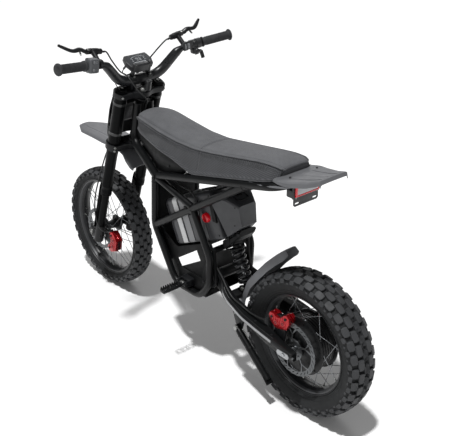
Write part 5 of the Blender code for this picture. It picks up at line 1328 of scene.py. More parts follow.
# Seat, panels and tail
class Seat:
    """The long crowned saddle: woven top, ribbed mesh sides, piping and sewn seams."""

    RIDGE_Z = ((0.083, 0.886), (0.092, 0.894), (0.10, 0.8955), (0.15, 0.8950), (0.2, 0.889), (0.3, 0.8735),
               (0.4, 0.8585), (0.5, 0.8455), (0.6, 0.8450), (0.7, 0.855), (0.8, 0.868), (0.86, 0.868),
               (0.889, 0.850))
    RIDGE_HALF = ((0.083, 0.058), (0.10, 0.067), (0.2, 0.071), (0.3, 0.076), (0.4, 0.081),
                  (0.6, 0.082), (0.7, 0.084), (0.8, 0.081), (0.85, 0.071), (0.875, 0.058),
                  (0.889, 0.046))
    CROWN = ((0.083, 0.006), (0.15, 0.008), (0.4, 0.009), (0.55, 0.014), (0.65, 0.024), (0.76, 0.029),
             (0.82, 0.024), (0.86, 0.018), (0.889, 0.016))
    BASE_Z = ((0.090, 0.8543), (0.122, 0.8463), (0.5, 0.7516), (0.615, 0.773), (0.73, 0.784), (0.87, 0.800),
              (0.889, 0.806))
    BASE_HALF = ((0.090, 0.080), (0.097, 0.090), (0.106, 0.096), (0.122, 0.1005), (0.15, 0.105),
                 (0.3, 0.105), (0.5, 0.101), (0.7, 0.088), (0.85, 0.062), (0.889, 0.046))
    RAKED = ((0.083, 0.009), (0.11, 0.007), (0.16, 0.002), (0.22, 0.0))
    SEAM_X = 0.472
    STITCH = 0.0042
    STITCH_GAP = 0.0020
    THREAD_R = 0.00055
    REAR_X = 0.0835
    FRONT_X = 0.8885

    def shape_at(self, x: float) -> tuple[float, float, float, float, float]:
        """Ridge height, ridge half width, base height, base half width and crown at a station."""
        foot = x + reading(self.RAKED, x)
        return (eased(self.RIDGE_Z, x), eased(self.RIDGE_HALF, x), eased(self.BASE_Z, foot) + 0.0002,
                eased(self.BASE_HALF, foot), eased(self.CROWN, x))

    def raked(self, x: float, z: float) -> float:
        """Where a point of a station really is along the seat: the rear end leans forward below."""
        top, _, low, _, _ = self.shape_at(x)
        return x + reading(self.RAKED, x) * min(1.0, max(0.0, top - z) / (top - low))

    def half_ring(self, x: float) -> list[tuple]:
        """Half a section from the middle of the base out, up the drawn-in side and over the top."""
        top, wide, low, base, crown = self.shape_at(x)
        seam = max(0.0, 1 - abs(x - self.SEAM_X) / 0.0045) ** 1.5 * 0.0034
        knots = [(base - 0.0045, low), (base - 0.0005, low + 0.0040), (base - 0.0006, low + 0.0085)]
        for share, drawn in ((0.18, 0.0035), (0.40, 0.0050), (0.62, 0.0055), (0.80, 0.0042)):
            knots.append((base + (wide - base) * share - drawn - seam * 0.6,
                          low + (top - low) * share))
        knots += [(wide - 0.0010 - seam, top - 0.0085), (wide - 0.0026 - seam, top - 0.0038),
                  (wide - 0.0058, top - 0.0010 - seam), (wide - 0.0110, top + 0.0014 - seam),
                  (wide * 0.80, top + crown * 0.42 - seam), (wide * 0.55, top + crown * 0.76 - seam),
                  (wide * 0.28, top + crown * 0.95 - seam), (0.0, top + crown - seam)]
        return knots

    def section(self, x: float, shrink: float = 0.0) -> list[Vector]:
        """A full closed section as smooth points."""
        half = self.half_ring(x)
        run = smooth_run([Vector((y, z, 0)) for y, z in half], 4)
        points = [(0.0, half[0][1]), (half[0][0] * 0.5, half[0][1])] + [(p.x, p.y) for p in run]
        middle = sum(z for _, z in points) / len(points)
        ring = points + [(-y, z) for y, z in reversed(points[1:-1])]
        return [at(self.raked(x, z), y * (1 - shrink), middle + (z - middle) * (1 - shrink))
                for y, z in ring]

    def stations(self) -> list[float]:
        """Places along the seat, closer together at the seam and at both ends."""
        xs = [mixed(self.REAR_X, self.FRONT_X, i / 150) for i in range(151)]
        xs += [self.SEAM_X + 0.0009 * k for k in range(-6, 7)]
        xs += [self.REAR_X + 0.0008 * k for k in (1, 2, 3, 4)]
        xs += [self.FRONT_X - 0.0008 * k for k in (1, 2, 3, 4)]
        return sorted(set(round(x, 5) for x in xs))

    def line(self, start: float, end: float, drop: float, inset: float, count: int = 90,
             side: int = 1) -> list[Vector]:
        """Points that follow the ridge at a drop below it."""
        run = []
        for i in range(count + 1):
            x = mixed(start, end, i / count)
            top, wide, low, base, _ = self.shape_at(x)
            share = drop / (top - low)
            y = wide + (base - wide) * share - inset
            run.append(at(self.raked(x, top - drop), side * y, top - drop))
        return run

    def ribs(self, shape: Shape) -> None:
        """The band of short upright ribs sewn in under the rear half of the ridge."""
        for s in (1, -1):
            lines = [self.line(0.145, 0.462, drop, inset, 38, s)
                     for drop, inset in ((0.0050, 0.0036), (0.0085, 0.0040), (0.0150, 0.0052),
                                         (0.0215, 0.0062), (0.0250, 0.0070))]
            for low in zip(*lines):
                shape.tube(list(low), 0.0026, 10, [0.0006, 0.0025, 0.0028, 0.0025, 0.0006])

    def stitches(self, shape: Shape, run: Sequence[Vector]) -> None:
        """A row of raised stitches along a run of points."""
        left = 0.0
        on = True
        start = run[0]
        for a, b in zip(run, run[1:]):
            way = (b - a).length
            spent = 0.0
            while spent < way:
                need = (self.STITCH if on else self.STITCH_GAP) - left
                if spent + need > way:
                    left += way - spent
                    spent = way
                else:
                    spent += need
                    point = a.lerp(b, spent / way)
                    if on:
                        shape.tube([start, start.lerp(point, 0.5) + UP * 0.0001, point],
                                   self.THREAD_R, 6)
                    start = point
                    on = not on
                    left = 0.0

    def cover(self) -> None:
        """The upholstered form, split into its top and its two sides by material."""
        shape = Shape()
        rings = []
        for x in self.stations():
            near = min(x - self.REAR_X, self.FRONT_X - x)
            rings.append(self.section(x, 0.10 * max(0.0, 1 - near / 0.0045) ** 2))
        shape.loft(rings)
        made = shape.piece("seat_cover", SEAT_TOP, Body.FRAME, replaces=["seat_cushion"], sharp=60)
        mesh = made.data
        for finish in (SEAT_SIDE, SHELL_BLACK):
            mesh.materials.append(SHOP.get(finish))
        for face in mesh.polygons:
            x = face.center.x + MID_X
            foot = reading(self.RAKED, x) * 0.55 if face.center.z < 0.885 else 0.0
            top, wide, low, _, _ = self.shape_at(within(x - foot, self.REAR_X, self.FRONT_X))
            if face.center.z < low + 0.0015 and abs(face.normal.z) > 0.8:
                face.material_index = 2
            elif face.center.z < top - 0.0026 and abs(face.center.y) > wide * 0.5:
                face.material_index = 1

    def build(self) -> None:
        """Builds cover, piping, lower lip, stitches and the base pan."""
        self.cover()
        piping = Shape()
        lip = Shape()
        thread = Shape()
        for s in (1, -1):
            piping.tube(self.line(0.0885, 0.8800, 0.0016, 0.0024, 140, s), 0.0022, 12)
            edge = []
            for i in range(141):
                x = mixed(0.0860, 0.8860, i / 140)
                _, _, low, base, _ = self.shape_at(x)
                edge.append(at(x + reading(self.RAKED, x), s * (base - 0.0032), low + 0.0030))
            lip.tube(edge, 0.0031, 12)
            self.stitches(thread, self.line(0.100, 0.872, 0.0098, 0.0022, 160, s))
            self.stitches(thread, self.line(0.490, 0.868, 0.0200, 0.0042, 120, s))
        for offset in (-0.0085, 0.0085):
            x = self.SEAM_X + offset
            left = smooth_run([at(x, y, z) for y, z in self.half_ring(x)[9:]], 6)
            self.stitches(thread, left + [mirrored(p) for p in reversed(left[:-1])])
        piping.piece("seat_piping", SEAT_TOP, Body.FRAME)
        lip.piece("seat_lip", SEAT_PIPING, Body.FRAME)
        thread.piece("seat_stitching", PACK_GREY, Body.FRAME, sharp=60)
        band = Shape()
        self.ribs(band)
        band.piece("seat_rib_band", SEAT_RIB, Body.FRAME, sharp=60)


class Covers:
    """The side panels, the tail fender and the tail light."""

    PANEL = ((0.872, 0.046, 0.799, 0.0300, 0.7150), (0.812, 0.062, 0.7925, 0.0470, 0.7060),
             (0.770, 0.069, 0.7877, 0.0610, 0.6990), (0.730, 0.077, 0.7832, 0.0735, 0.6840),
             (0.660, 0.084, 0.7765, 0.0805, 0.6952), (0.600, 0.0860, 0.7694, 0.0795, 0.7110),
             (0.572, 0.0865, 0.7640, 0.0790, 0.7175), (0.557, 0.087, 0.7612, 0.0800, 0.7368),
             (0.545, 0.087, 0.7590, 0.0800, 0.7372))
    TAIL = ((0.0955, 0.865, 0.094, 0.006), (0.070, 0.869, 0.101, 0.010), (0.040, 0.872, 0.0985, 0.014),
            (0.030, 0.874, 0.0955, 0.0155), (0.018, 0.8765, 0.092, 0.0165), (-0.030, 0.887, 0.079, 0.017),
            (-0.068, 0.896, 0.067, 0.015), (-0.077, 0.897, 0.062, 0.009))

    def panel(self, s: int) -> None:
        """One side panel with a pressed line and its two fixing screws."""
        tables = columns(self.PANEL[::-1])
        rows = []
        for j in range(15):
            share = j / 14
            bow = reading(((0.0, 0.0), (0.35, 0.003), (0.75, 0.005), (1.0, 0.0)), share)
            press = 0.0012 * hump(share, 0.30, 0.045)
            row = []
            for i in range(49):
                x = mixed(0.872, 0.545, i / 48)
                y0, z0, y1, z1 = (eased(t, x, 0.006) for t in tables)
                fade = within((x - 0.60) / 0.03) if x < 0.84 else 0.0
                row.append(at(x, s * (mixed(y1, y0, share) + bow - press * fade), mixed(z1, z0, share)))
            rows.append(row)
        label = side_name(s)
        shape = Shape().sheet(rows, 0.003)
        shape.piece(f"panel_{label}", PANEL_GREY, Body.FRAME, replaces=[f"side_panel_{label}"])
        screws = Shape()
        for x, share in ((0.845, 0.55), (0.640, 0.5)):
            y0, z0, y1, z1 = (eased(t, x, 0.006) for t in tables)
            screws.bolt(at(x, s * (mixed(y1, y0, share) + 0.0052), mixed(z1, z0, share)), SIDE * s,
                        0.0042, 0.0022)
        screws.piece(f"panel_screws_{label}", BLACK_BOLT, Body.FRAME)

    WING = ((0.028, 0.096), (0.05, 0.103), (0.09, 0.110), (0.13, 0.1125), (0.192, 0.1070))

    def tail(self) -> None:
        """The tail fender: a shallow moulding with three raised bars."""
        rows = []
        tables = columns([(-x, *rest) for x, *rest in self.TAIL])
        for i in range(61):
            x = mixed(-0.0953, 0.077, i / 60)
            z, half, edge = (eased(t, x, 0.004) for t in tables)
            z += 0.0050 * max(0.0, (x - 0.030) / 0.047) - 0.0130 * max(0.0, (x - 0.0715) / 0.0055)
            row = []
            for j in range(61):
                share = abs(j - 30) / 30
                rise = reading(((0.0, 0.0020), (0.88, 0.0015),
                                (0.985, -edge * 0.25), (1.0, -edge)), share)
                ends = within(min(x + 0.060, 0.070 - x) / 0.010)
                bar = 0.0026 * ends * within(max(0.15 - share, 0.13 - abs(share - 0.50)) / 0.03)
                row.append(at(-x, half * (j - 30) / 30, z + min(rise, 0.0045) + bar - 0.0012))
            rows.append(row)
        shape = Shape().sheet(rows, 0.0028)
        for s in (1, -1):
            wing = []
            for i in range(33):
                x = mixed(0.028, 0.192, i / 32)
                low = 0.8463 - (x - 0.122) * 0.25 - 0.0035 if x > 0.075 else 0.8545
                out = reading(self.WING, x)
                rim = mixed(0.8585, 0.8285, (x - 0.028) / 0.164)
                wing.append([at(x, s * 0.072, low), at(x, s * 0.090, min(low, rim) + 0.0004),
                             at(x, s * (out - 0.003), rim - 0.0006), at(x, s * out, rim - 0.0034),
                             at(x, s * (out - 0.001), rim - 0.0060)])
            shape.sheet(wing, 0.0026)
        shape.piece("tail_cover", FENDER_GREY, Body.FRAME, replaces=["tail_fender"], sharp=25)
        screws = Shape()
        for s in (1, -1):
            screws.bolt(at(0.052, s * 0.060, 0.8745), UP, 0.0040, 0.0016)
        screws.piece("tail_screws", BLACK_BOLT, Body.FRAME)

    def lamp(self) -> None:
        """The tail light: housing, lens, red ends and the slotted plate under it."""
        shape = Shape()
        shape.box((0.0055, 0.122, 0.058), at(0.0385, 0, 0.832), bevel=0.0025)
        shape.box((0.034, 0.110, 0.030), at(0.0565, 0, 0.8155), bevel=0.005)
        plate = [(-0.056, 0.030), (-0.056, 0.006), (-0.050, 0.0), (0.050, 0.0), (0.056, 0.006),
                 (0.056, 0.030)]
        slots = [round_hull([(s * 0.040 + dx, 0.010, 0.0030) for dx in (-0.0065, 0.0065)], 16)
                 for s in (1, -1)]
        shape.plate(plate, 0.0030, axes(at(0.0386, 0, 0.775), SIDE, UP), slots, bevel=0.0006)
        shape.piece("lamp_housing", SHELL_BLACK, Body.FRAME, replaces=["tail_light_housing"])
        lens = Shape()
        lens.box((0.0068, 0.094, 0.040), at(0.0318, 0, 0.836), bevel=0.0030, segments=4)
        lens.piece("lamp_lens", CLEAR_LENS, Body.FRAME, replaces=["tail_light_lens"])
        red = Shape()
        for s in (1, -1):
            red.box((0.0074, 0.0085, 0.044), at(0.0318, s * 0.0498, 0.836), bevel=0.0025, segments=4)
        red.box((0.0060, 0.108, 0.0050), at(0.0325, 0, 0.8125), bevel=0.0018)
        red.piece("lamp_red_edge", RED_LENS, Body.FRAME)
        bolts = Shape()
        for s in (1, -1):
            bolts.bolt(at(0.0360, s * 0.0480, 0.806), -FORWARD, 0.0034, 0.0024)
        bolts.piece("lamp_bolts", ZINC, Body.FRAME)

    def build(self) -> None:
        """Builds both panels, the tail and its light."""
        for s in (1, -1):
            self.panel(s)
        self.tail()
        self.lamp()


# The rear end: swingarm, axle, hugger, brakes, stand, pegs and shock
def spring_run(start: Vector, end: Vector, radius: float, coils: float, steps: int = 22,
               flat: float = 0.0) -> list[Vector]:
    """Points of a helix between two points, its first and last turns laid flatter."""
    lean = end - start
    first = SIDE if abs(lean.normalized().dot(SIDE)) < 0.9 else UP
    other = lean.normalized().cross(first).normalized()
    first = other.cross(lean.normalized()).normalized()
    run = []
    for i in range(int(coils * steps) + 1):
        share = i / (coils * steps)
        rise = mixed(within((share * coils - flat) / (coils - 2 * flat)), share, 0.06) if flat else share
        angle = 2 * math.pi * coils * share
        run.append(start + lean * rise + first * radius * math.cos(angle)
                   + other * radius * math.sin(angle))
    return run


class RearArm:
    """The box-section swingarm with its bridge, axle blocks, hugger and axle."""

    ARM = ((-0.035, 0.245, 0.280, 0.087, 0.104), (0.03, 0.236, 0.292, 0.087, 0.104),
           (0.06, 0.2375, 0.2963, 0.082, 0.102), (0.12, 0.240, 0.305, 0.074, 0.100),
           (0.21, 0.260, 0.318, 0.067, 0.098), (0.300, 0.289, 0.337, 0.063, 0.096),
           (0.340, 0.311, 0.361, 0.063, 0.089), (0.362, 0.323, 0.377, 0.063, 0.0775),
           (0.40, 0.345, 0.415, 0.064, 0.077), (0.427, 0.353, 0.405, 0.064, 0.077))
    TAB = ((0.300, 0.320), (0.340, 0.320), (0.322, 0.352), (0.312, 0.3575), (0.302, 0.358),
           (0.2945, 0.350), (0.2945, 0.341))
    HUGGER = ((0.2985, 0.3165, 0.050), (0.2865, 0.3185, 0.052), (0.2835, 0.345, 0.053),
              (0.262, 0.405, 0.051), (0.225, 0.455, 0.048), (0.180, 0.510, 0.044),
              (0.140, 0.551, 0.040), (0.111, 0.577, 0.034), (0.098, 0.588, 0.027))

    def size_at(self, x: float) -> tuple:
        """Low, high, near and far of the left leg at a place along it."""
        return tuple(eased(t, x, 0.010) for t in columns(self.ARM))

    BROW = ((-0.035, 0.1150), (0.03, 0.1185), (0.06, 0.1205), (0.12, 0.1210), (0.21, 0.1190),
            (0.25, 0.1130), (0.30, 0.1050), (0.335, 0.0985), (0.350, 0.0850), (0.362, 0.0775),
            (0.427, 0.0770))

    def brow(self, x: float) -> float:
        """How far out the leg's upper edge stands at a place along it."""
        return eased(self.BROW, x, 0.012)

    def wedge(self, x: float, pinch: float) -> list[Vector]:
        """The leg's section: a broad top, an upright edge and a face that runs in below it."""
        low, high, near, far = self.size_at(x)
        brow = max(self.brow(x), far) - pinch
        near, low, high = near + pinch, low + pinch, high - pinch
        foot = mixed(far, min(far, near + 0.016), within((brow - far) / 0.012))
        drop = min(0.0165, (high - low) * 0.45)
        corners = [(brow, high - 0.0030), (brow - 0.0012, high - 0.0009), (brow - 0.0036, high),
                   (near + 0.0045, high), (near + 0.0013, high - 0.0013), (near, high - 0.0045),
                   (near, low + 0.0040), (near + 0.0012, low + 0.0012), (near + 0.0040, low),
                   (foot - 0.0030, low), (foot - 0.0008, low + 0.0008), (foot, low + 0.0030),
                   (brow - 0.0010, high - drop - 0.0014), (brow, high - drop + 0.0010)]
        return [at(x, y, z) for y, z in corners]

    def leg(self, s: int) -> None:
        """One leg of the swingarm, with a silver strip over its upright outer edge as painted highlight, its
        dark line and end block.
        """
        shape = Shape()
        rings = []
        for i in range(85):
            x = mixed(-0.0350, 0.4268, i / 84)
            pinch = 0.0018 * max(0.0, 1 - min(x + 0.0350, 0.4268 - x) / 0.003)
            rings.append(self.wedge(x, pinch))
        shape.loft(rings)
        line = Shape()
        strip = Shape()
        path = []
        dark = []
        for i in range(70):
            x = mixed(0.058, 0.340, i / 69)
            high, far = self.size_at(x)[1], self.brow(x)
            path.append((x, far, high))
            dark.append(at(x, far - 0.0105, high + 0.0001))
        # The silver strip covers the upright outer edge: painted highlight of the light that edge catches.
        strip_rows = [[at(x, far + out, high - drop) for x, far, high in path]
                      for out, drop in ((0.0004, 0.0032), (0.0007, 0.0040), (0.0007, 0.0132),
                                        (0.0004, 0.0140))]
        strip.sheet(strip_rows, 0.0009)
        line.tube(dark, 0.0009, 8)
        outer = self.brow(0.0)
        line.rod(at(0.003, outer - 0.030, 0.2620), at(0.003, outer - 0.0010, 0.2620), 0.0190)
        block = Shape()
        block.plate(round_hull([(0.020 - MID_X, 0.265, 0.0105), (-0.016 - MID_X, 0.265, 0.0105)], 32),
                    0.0040, axes(Vector((0, outer + 0.0003, 0)), FORWARD, UP), bevel=0.0008)
        block.rod(at(-0.0390, outer - 0.008, 0.265), at(-0.0325, outer - 0.008, 0.265), 0.0034)
        for x in (0.075, 0.160):
            _, high, near, _ = self.size_at(x)
            line.bolt(at(x, (near + self.brow(x)) / 2, high - 0.0002), UP, 0.0040, 0.0016)
        if s < 0:
            for made in (shape, line, strip, block):
                made.flip()
        label = side_name(s)
        shape.piece(f"arm_leg_{label}", ARM_BLACK, Body.SWINGARM,
                    replaces=["swingarm"] if s > 0 else [])
        line.piece(f"arm_line_{label}", SHELL_BLACK, Body.SWINGARM)
        strip.piece(f"arm_strip_{label}", ARM_EDGE_HIGHLIGHT, Body.SWINGARM)
        block.piece(f"axle_block_{label}", STEEL, Body.SWINGARM)

    def bridge(self) -> None:
        """The pivot tube, the bridge behind it, the shock's tabs and the stand's bracket."""
        shape = Shape()
        pivot = at(PIVOT_X, 0, PIVOT_Z)
        shape.rod(pivot + SIDE * 0.0770, pivot - SIDE * 0.0770, 0.0200, sides=40)
        for y in (0.030, -0.030):
            bead(shape, pivot + SIDE * y * 2.05, SIDE, 0.0200, 0.0012)
        shape.box((0.045, 0.136, 0.032), at(0.3225, 0, 0.316), bevel=0.006)
        gusset = [(0.385, 0.392), (0.395, 0.358), (0.345, 0.300), (0.300, 0.302), (0.302, 0.322)]
        for s in (1, -1):
            shape.side_plate(self.TAB, 0.008, s * 0.0205, bevel=0.0012)
            shape.side_plate(gusset, 0.005, s * 0.0600, bevel=0.0010)
        shape.rod(SHOCK_LOW + SIDE * 0.022, SHOCK_LOW - SIDE * 0.022, 0.0045)
        stand = round_hull([(0.250, 0.240, 0.013), (0.235, 0.285, 0.008), (0.275, 0.290, 0.008)], 28)
        shape.side_plate(stand, 0.009, 0.0865, [arc(0.0030, 14, centre=(0.2365, 0.286))], 0.0012)
        shape.piece("arm_bridge", ARM_BLACK, Body.SWINGARM)
        bolts = Shape()
        for s in (1, -1):
            bolts.bolt(SHOCK_LOW + SIDE * (s * 0.0245), SIDE * s, 0.0070, 0.0050, True)
        bolts.bolt(at(0.2720, 0.0910, 0.2880), SIDE, 0.0042, 0.0030)
        bolts.bolt(at(0.2365, 0.0910, 0.2860), SIDE, 0.0030, 0.0060)
        bolts.piece("arm_bolts", ZINC, Body.SWINGARM)

    def hugger(self) -> None:
        """The folded splash guard in front of the rear tyre."""
        rows = []
        lengths = [0.0]
        for a, b in zip(self.HUGGER, self.HUGGER[1:]):
            lengths.append(lengths[-1] + math.hypot(b[0] - a[0], b[1] - a[1]))
        tables = columns([(way, *station) for way, station in zip(lengths, self.HUGGER)])
        for k in range(73):
            way = lengths[-1] * k / 72
            x, z, half = (eased(t, way, 0.006) for t in tables)
            lift = within((0.2985 - x) / 0.013) * within(half / 0.036)
            row = []
            for j in range(-18, 19):
                share = abs(j) / 18
                back = reading(((0.0, -0.0020), (0.80, 0.0), (0.86, 0.002), (1.0, 0.030)), share) * lift
                back -= 0.0012 * hump(share, 0.52, 0.05) * lift
                row.append(at(x - back * 0.72, half * j / 18, z - back * 0.68))
            rows.append(row)
        shape = Shape().sheet(rows, 0.0024)
        shape.piece("hugger_shell", FENDER_GREY, Body.SWINGARM, replaces=["rear_hugger"], sharp=26)
        screws = Shape()
        for s in (1, -1):
            screws.bolt(at(0.2935, s * 0.040, 0.3195), UP, 0.0042, 0.0022)
            screws.bolt(at(0.2790, s * 0.034, 0.3560), Vector((0.95, 0, 0.3)), 0.0036, 0.0016)
        screws.piece("hugger_screws", BLACK_BOLT, Body.SWINGARM)

    def axle(self) -> None:
        """The rear axle with its spacers, washers and nuts, and the motor lead's gland."""
        shape = Shape()
        shape.rod(REAR_AXLE + SIDE * 0.122, REAR_AXLE - SIDE * 0.122, 0.0070, edge=0.0012)
        shape.rod(REAR_AXLE + SIDE * 0.0662, REAR_AXLE + SIDE * 0.0868, 0.0110)
        shape.rod(REAR_AXLE - SIDE * 0.0605, REAR_AXLE - SIDE * 0.0868, 0.0110)
        for s in (1, -1):
            shape.rod(REAR_AXLE + SIDE * (s * 0.1046), REAR_AXLE + SIDE * (s * 0.1068), 0.0140)
            nut = axes(REAR_AXLE + SIDE * (s * 0.1118), FORWARD, UP)
            shape.plate(arc(0.0125, 6, 0.3), 0.0100, nut, bevel=0.0010)
            for k in range(14):
                shape.lathe([(0.0066, -0.0003), (0.0073, 0.0), (0.0066, 0.0003)],
                            REAR_AXLE + SIDE * (s * (0.1180 + 0.00026 * k)), SIDE, 18)
        shape.piece("rear_axle_set", STEEL, Body.SWINGARM, replaces=["rear_axle"])
        mark = Shape()
        mark.rod(at(-0.014, 0.1056, 0.2650), at(-0.014, 0.1064, 0.2650), 0.0022, edge=0.0002)
        mark.piece("axle_mark", RED_GLOSS, Body.SWINGARM)

    def build(self) -> None:
        """Builds both legs and what they carry."""
        for s in (1, -1):
            self.leg(s)
        self.bridge()
        self.hugger()
        self.axle()


@dataclass(frozen=True)
class CaliperSpec:
    """Where one brake caliper sits, in metres from the rear axle."""

    name: str
    node: str
    body: Body
    x: float
    z: float
    y_in: float
    y_out: float
    tilt: float
    disc_y: float
    disc_centre: Vector
    disc_radius: float
    bracket: tuple
    bracket_y: float


REAR_CALIPER = CaliperSpec("rear", "rear_caliper", Body.SWINGARM, 0.056, 0.352, 0.052, 0.084,
                           math.radians(14), 0.0675, REAR_AXLE, 0.100,
                           ((0.030, 0.338), (0.080, 0.338), (0.075, 0.280), (0.035, 0.280)), 0.0757)
FRONT_CALIPER = CaliperSpec("front", "front_caliper", Body.FORK_LOWER, 1.083, 0.240, 0.040, 0.0725,
                            math.radians(74), 0.0558, FRONT_AXLE, 0.092,
                            ((1.100, 0.232), (1.105, 0.275), (1.138, 0.280), (1.145, 0.236)), 0.0660)


class Caliper:
    """A red two-piece caliper with ribs, pistons, pad slot and bolts."""

    OUTLINE = ((-0.046, -0.002), (-0.026, -0.026), (0.026, -0.026), (0.046, -0.002), (0.049, 0.018),
               (0.040, 0.030), (0.025, 0.027), (0.011, 0.015), (-0.011, 0.015), (-0.025, 0.027),
               (-0.040, 0.030), (-0.049, 0.018))
    PISTON_X = 0.017
    SLOT_HALF = 0.0024

    def __init__(self, spec: CaliperSpec) -> None:
        self.spec = spec
        turn = Matrix.Rotation(spec.tilt, 3, "Y")
        self.ahead = turn @ FORWARD
        self.up = turn @ UP

    def spot(self, along: float, up: float, y: float) -> Vector:
        """A point of the caliper: along it, away from the axle, and across the machine."""
        return at(self.spec.x, y, self.spec.z) + self.ahead * along + self.up * up

    def slab(self, shape: Shape, outline: Sequence[tuple], low: float, high: float,
             bevel: float = 0.0012) -> None:
        """A plate in the caliper's own axes between two heights across the machine."""
        place = axes(self.spot(0, 0, (low + high) / 2), self.ahead, self.up)
        shape.plate(outline, abs(high - low), place, bevel=bevel)

    def build(self) -> None:
        """Builds body halves, bridge, pads, bracket and bolts."""
        spec = self.spec
        body = Shape()
        gap_low, gap_high = spec.disc_y - self.SLOT_HALF, spec.disc_y + self.SLOT_HALF
        self.slab(body, self.OUTLINE, gap_high, spec.y_out, 0.0022)
        self.slab(body, self.OUTLINE, spec.y_in, gap_low, 0.0022)
        reach = spec.disc_radius + 0.0030
        middle = at(spec.x, 0, spec.z)
        hub = Vector((spec.disc_centre.x, 0, spec.disc_centre.z))
        away = (middle - hub).dot(self.up)
        top = within(reach - abs(away), 0.004, 0.018)
        way = math.copysign(1.0, away)
        for low, high in ((-0.040, -0.020), (0.020, 0.040)):
            outline = [(low, way * top), (high, way * top), (high - 0.004, way * 0.0220),
                       (low + 0.004, way * 0.0220)][::int(way)]
            self.slab(body, outline, gap_low - 0.001, gap_high + 0.001, 0.0006)
        for dx in (-self.PISTON_X, self.PISTON_X):
            body.lathe([(0, 0.0022), (0.0086, 0.0022), (0.0096, 0.0014), (0.0105, 0.0010),
                        (0.0105, -0.002), (0, -0.002)], self.spot(dx, -0.004, spec.y_out), SIDE, 32)
            body.lathe([(0, 0.0012), (0.0100, 0.0012), (0.0112, 0.0), (0.0112, -0.002), (0, -0.002)],
                       self.spot(dx, -0.002, spec.y_in), -SIDE, 32)
        for k in range(7):
            dx = -0.027 + 0.009 * k
            crest = 0.0125 if abs(dx) < 0.012 else 0.0225
            self.slab(body, [(dx - 0.0014, -0.0200), (dx + 0.0014, -0.0200), (dx + 0.0014, crest),
                             (dx - 0.0014, crest)], spec.y_out - 0.002, spec.y_out + 0.0014, 0.0004)
        body.piece(f"{spec.name}_caliper_body", RED_ALLOY, spec.body, replaces=[spec.node])
        dark = Shape()
        for dx in (-0.033, 0.033):
            dark.bolt(self.spot(dx, 0.0150, spec.y_out), SIDE, 0.0048, 0.0040)
        for dx in (-self.PISTON_X, self.PISTON_X):
            dark.lathe([(0.0036, 0.0030), (0.0052, 0.0030), (0.0052, 0.0016), (0.0036, 0.0016)],
                       self.spot(dx, -0.004, spec.y_out), SIDE, 24)
        for low, high in ((gap_low - 0.0042, gap_low - 0.0004), (gap_high + 0.0004, gap_high + 0.0042)):
            self.slab(dark, [(-0.024, -0.0280), (0.024, -0.0280), (0.026, 0.0215), (-0.026, 0.0215)], low,
                      high, 0.0008)
        dark.rod(self.spot(-0.012, 0.0205, spec.y_in + 0.002), self.spot(-0.012, 0.0205, spec.y_out + 0.001),
                 0.0018)
        dark.rod(self.spot(0.036, 0.022, spec.y_out - 0.010), self.spot(0.040, 0.0285, spec.y_out - 0.010),
                 0.0026, 0.0020)
        dark.piece(f"{spec.name}_caliper_fittings", BLACK_BOLT, spec.body)
        plate = Shape()
        plate.side_plate(spec.bracket, 0.0060, spec.bracket_y, bevel=0.0010)
        plate.piece(f"{spec.name}_caliper_bracket", CAST_BLACK, spec.body)


class Stand:
    """The folding side stand with its spring, and its pivot bolt."""

    LEG_R = 0.0125

    def build(self) -> None:
        """Builds the leg, foot, pivot boss and return spring."""
        pivot = at(0.250, 0.095, 0.240)
        end = at(0.084, 0.1035, 0.108)
        shape = Shape()
        shape.rod(pivot + SIDE * 0.0085, pivot - SIDE * 0.0037, self.LEG_R, sides=36, edge=0.001)
        run = (end - pivot).normalized()
        start = pivot + SIDE * 0.0045
        shape.tube([start.lerp(end, share) for share in (0.0, 0.05, 0.10, 0.55, 1.0)], self.LEG_R, 28,
                   [0.0080, 0.0110, self.LEG_R, self.LEG_R, self.LEG_R])
        for share in (0.14, 0.40, 0.42):
            bead(shape, start.lerp(end, share), run, self.LEG_R, 0.0011)
        foot = Matrix.Rotation(math.radians(-48), 4, "Y")
        shape.box((0.034, 0.030, 0.005), end, foot, 0.0018)
        hook = start + run * 0.092
        shape.rod(hook + SIDE * 0.002, hook - SIDE * 0.0175, 0.0026)
        shape.rod(pivot - SIDE * 0.0150, pivot + SIDE * 0.0100, 0.0050)
        shape.piece("stand_leg", FRAME_PAINT, Body.STAND, replaces=["kickstand"])
        bolt = Shape()
        bolt.bolt(pivot + SIDE * 0.0086, SIDE, 0.0085, 0.0060, True)
        bolt.rod(pivot - SIDE * 0.0134, pivot - SIDE * 0.0170, 0.0080, sides=6)
        bolt.piece("stand_bolts", ZINC, Body.STAND)
        spring = Shape()
        low = hook - SIDE * 0.0160
        high = pivot + run * 0.016 - SIDE * 0.0120
        spring.tube(spring_run(high, low, 0.0042, 15, 14), 0.0010, 8)
        spring.piece("stand_spring", ZINC, Body.STAND)


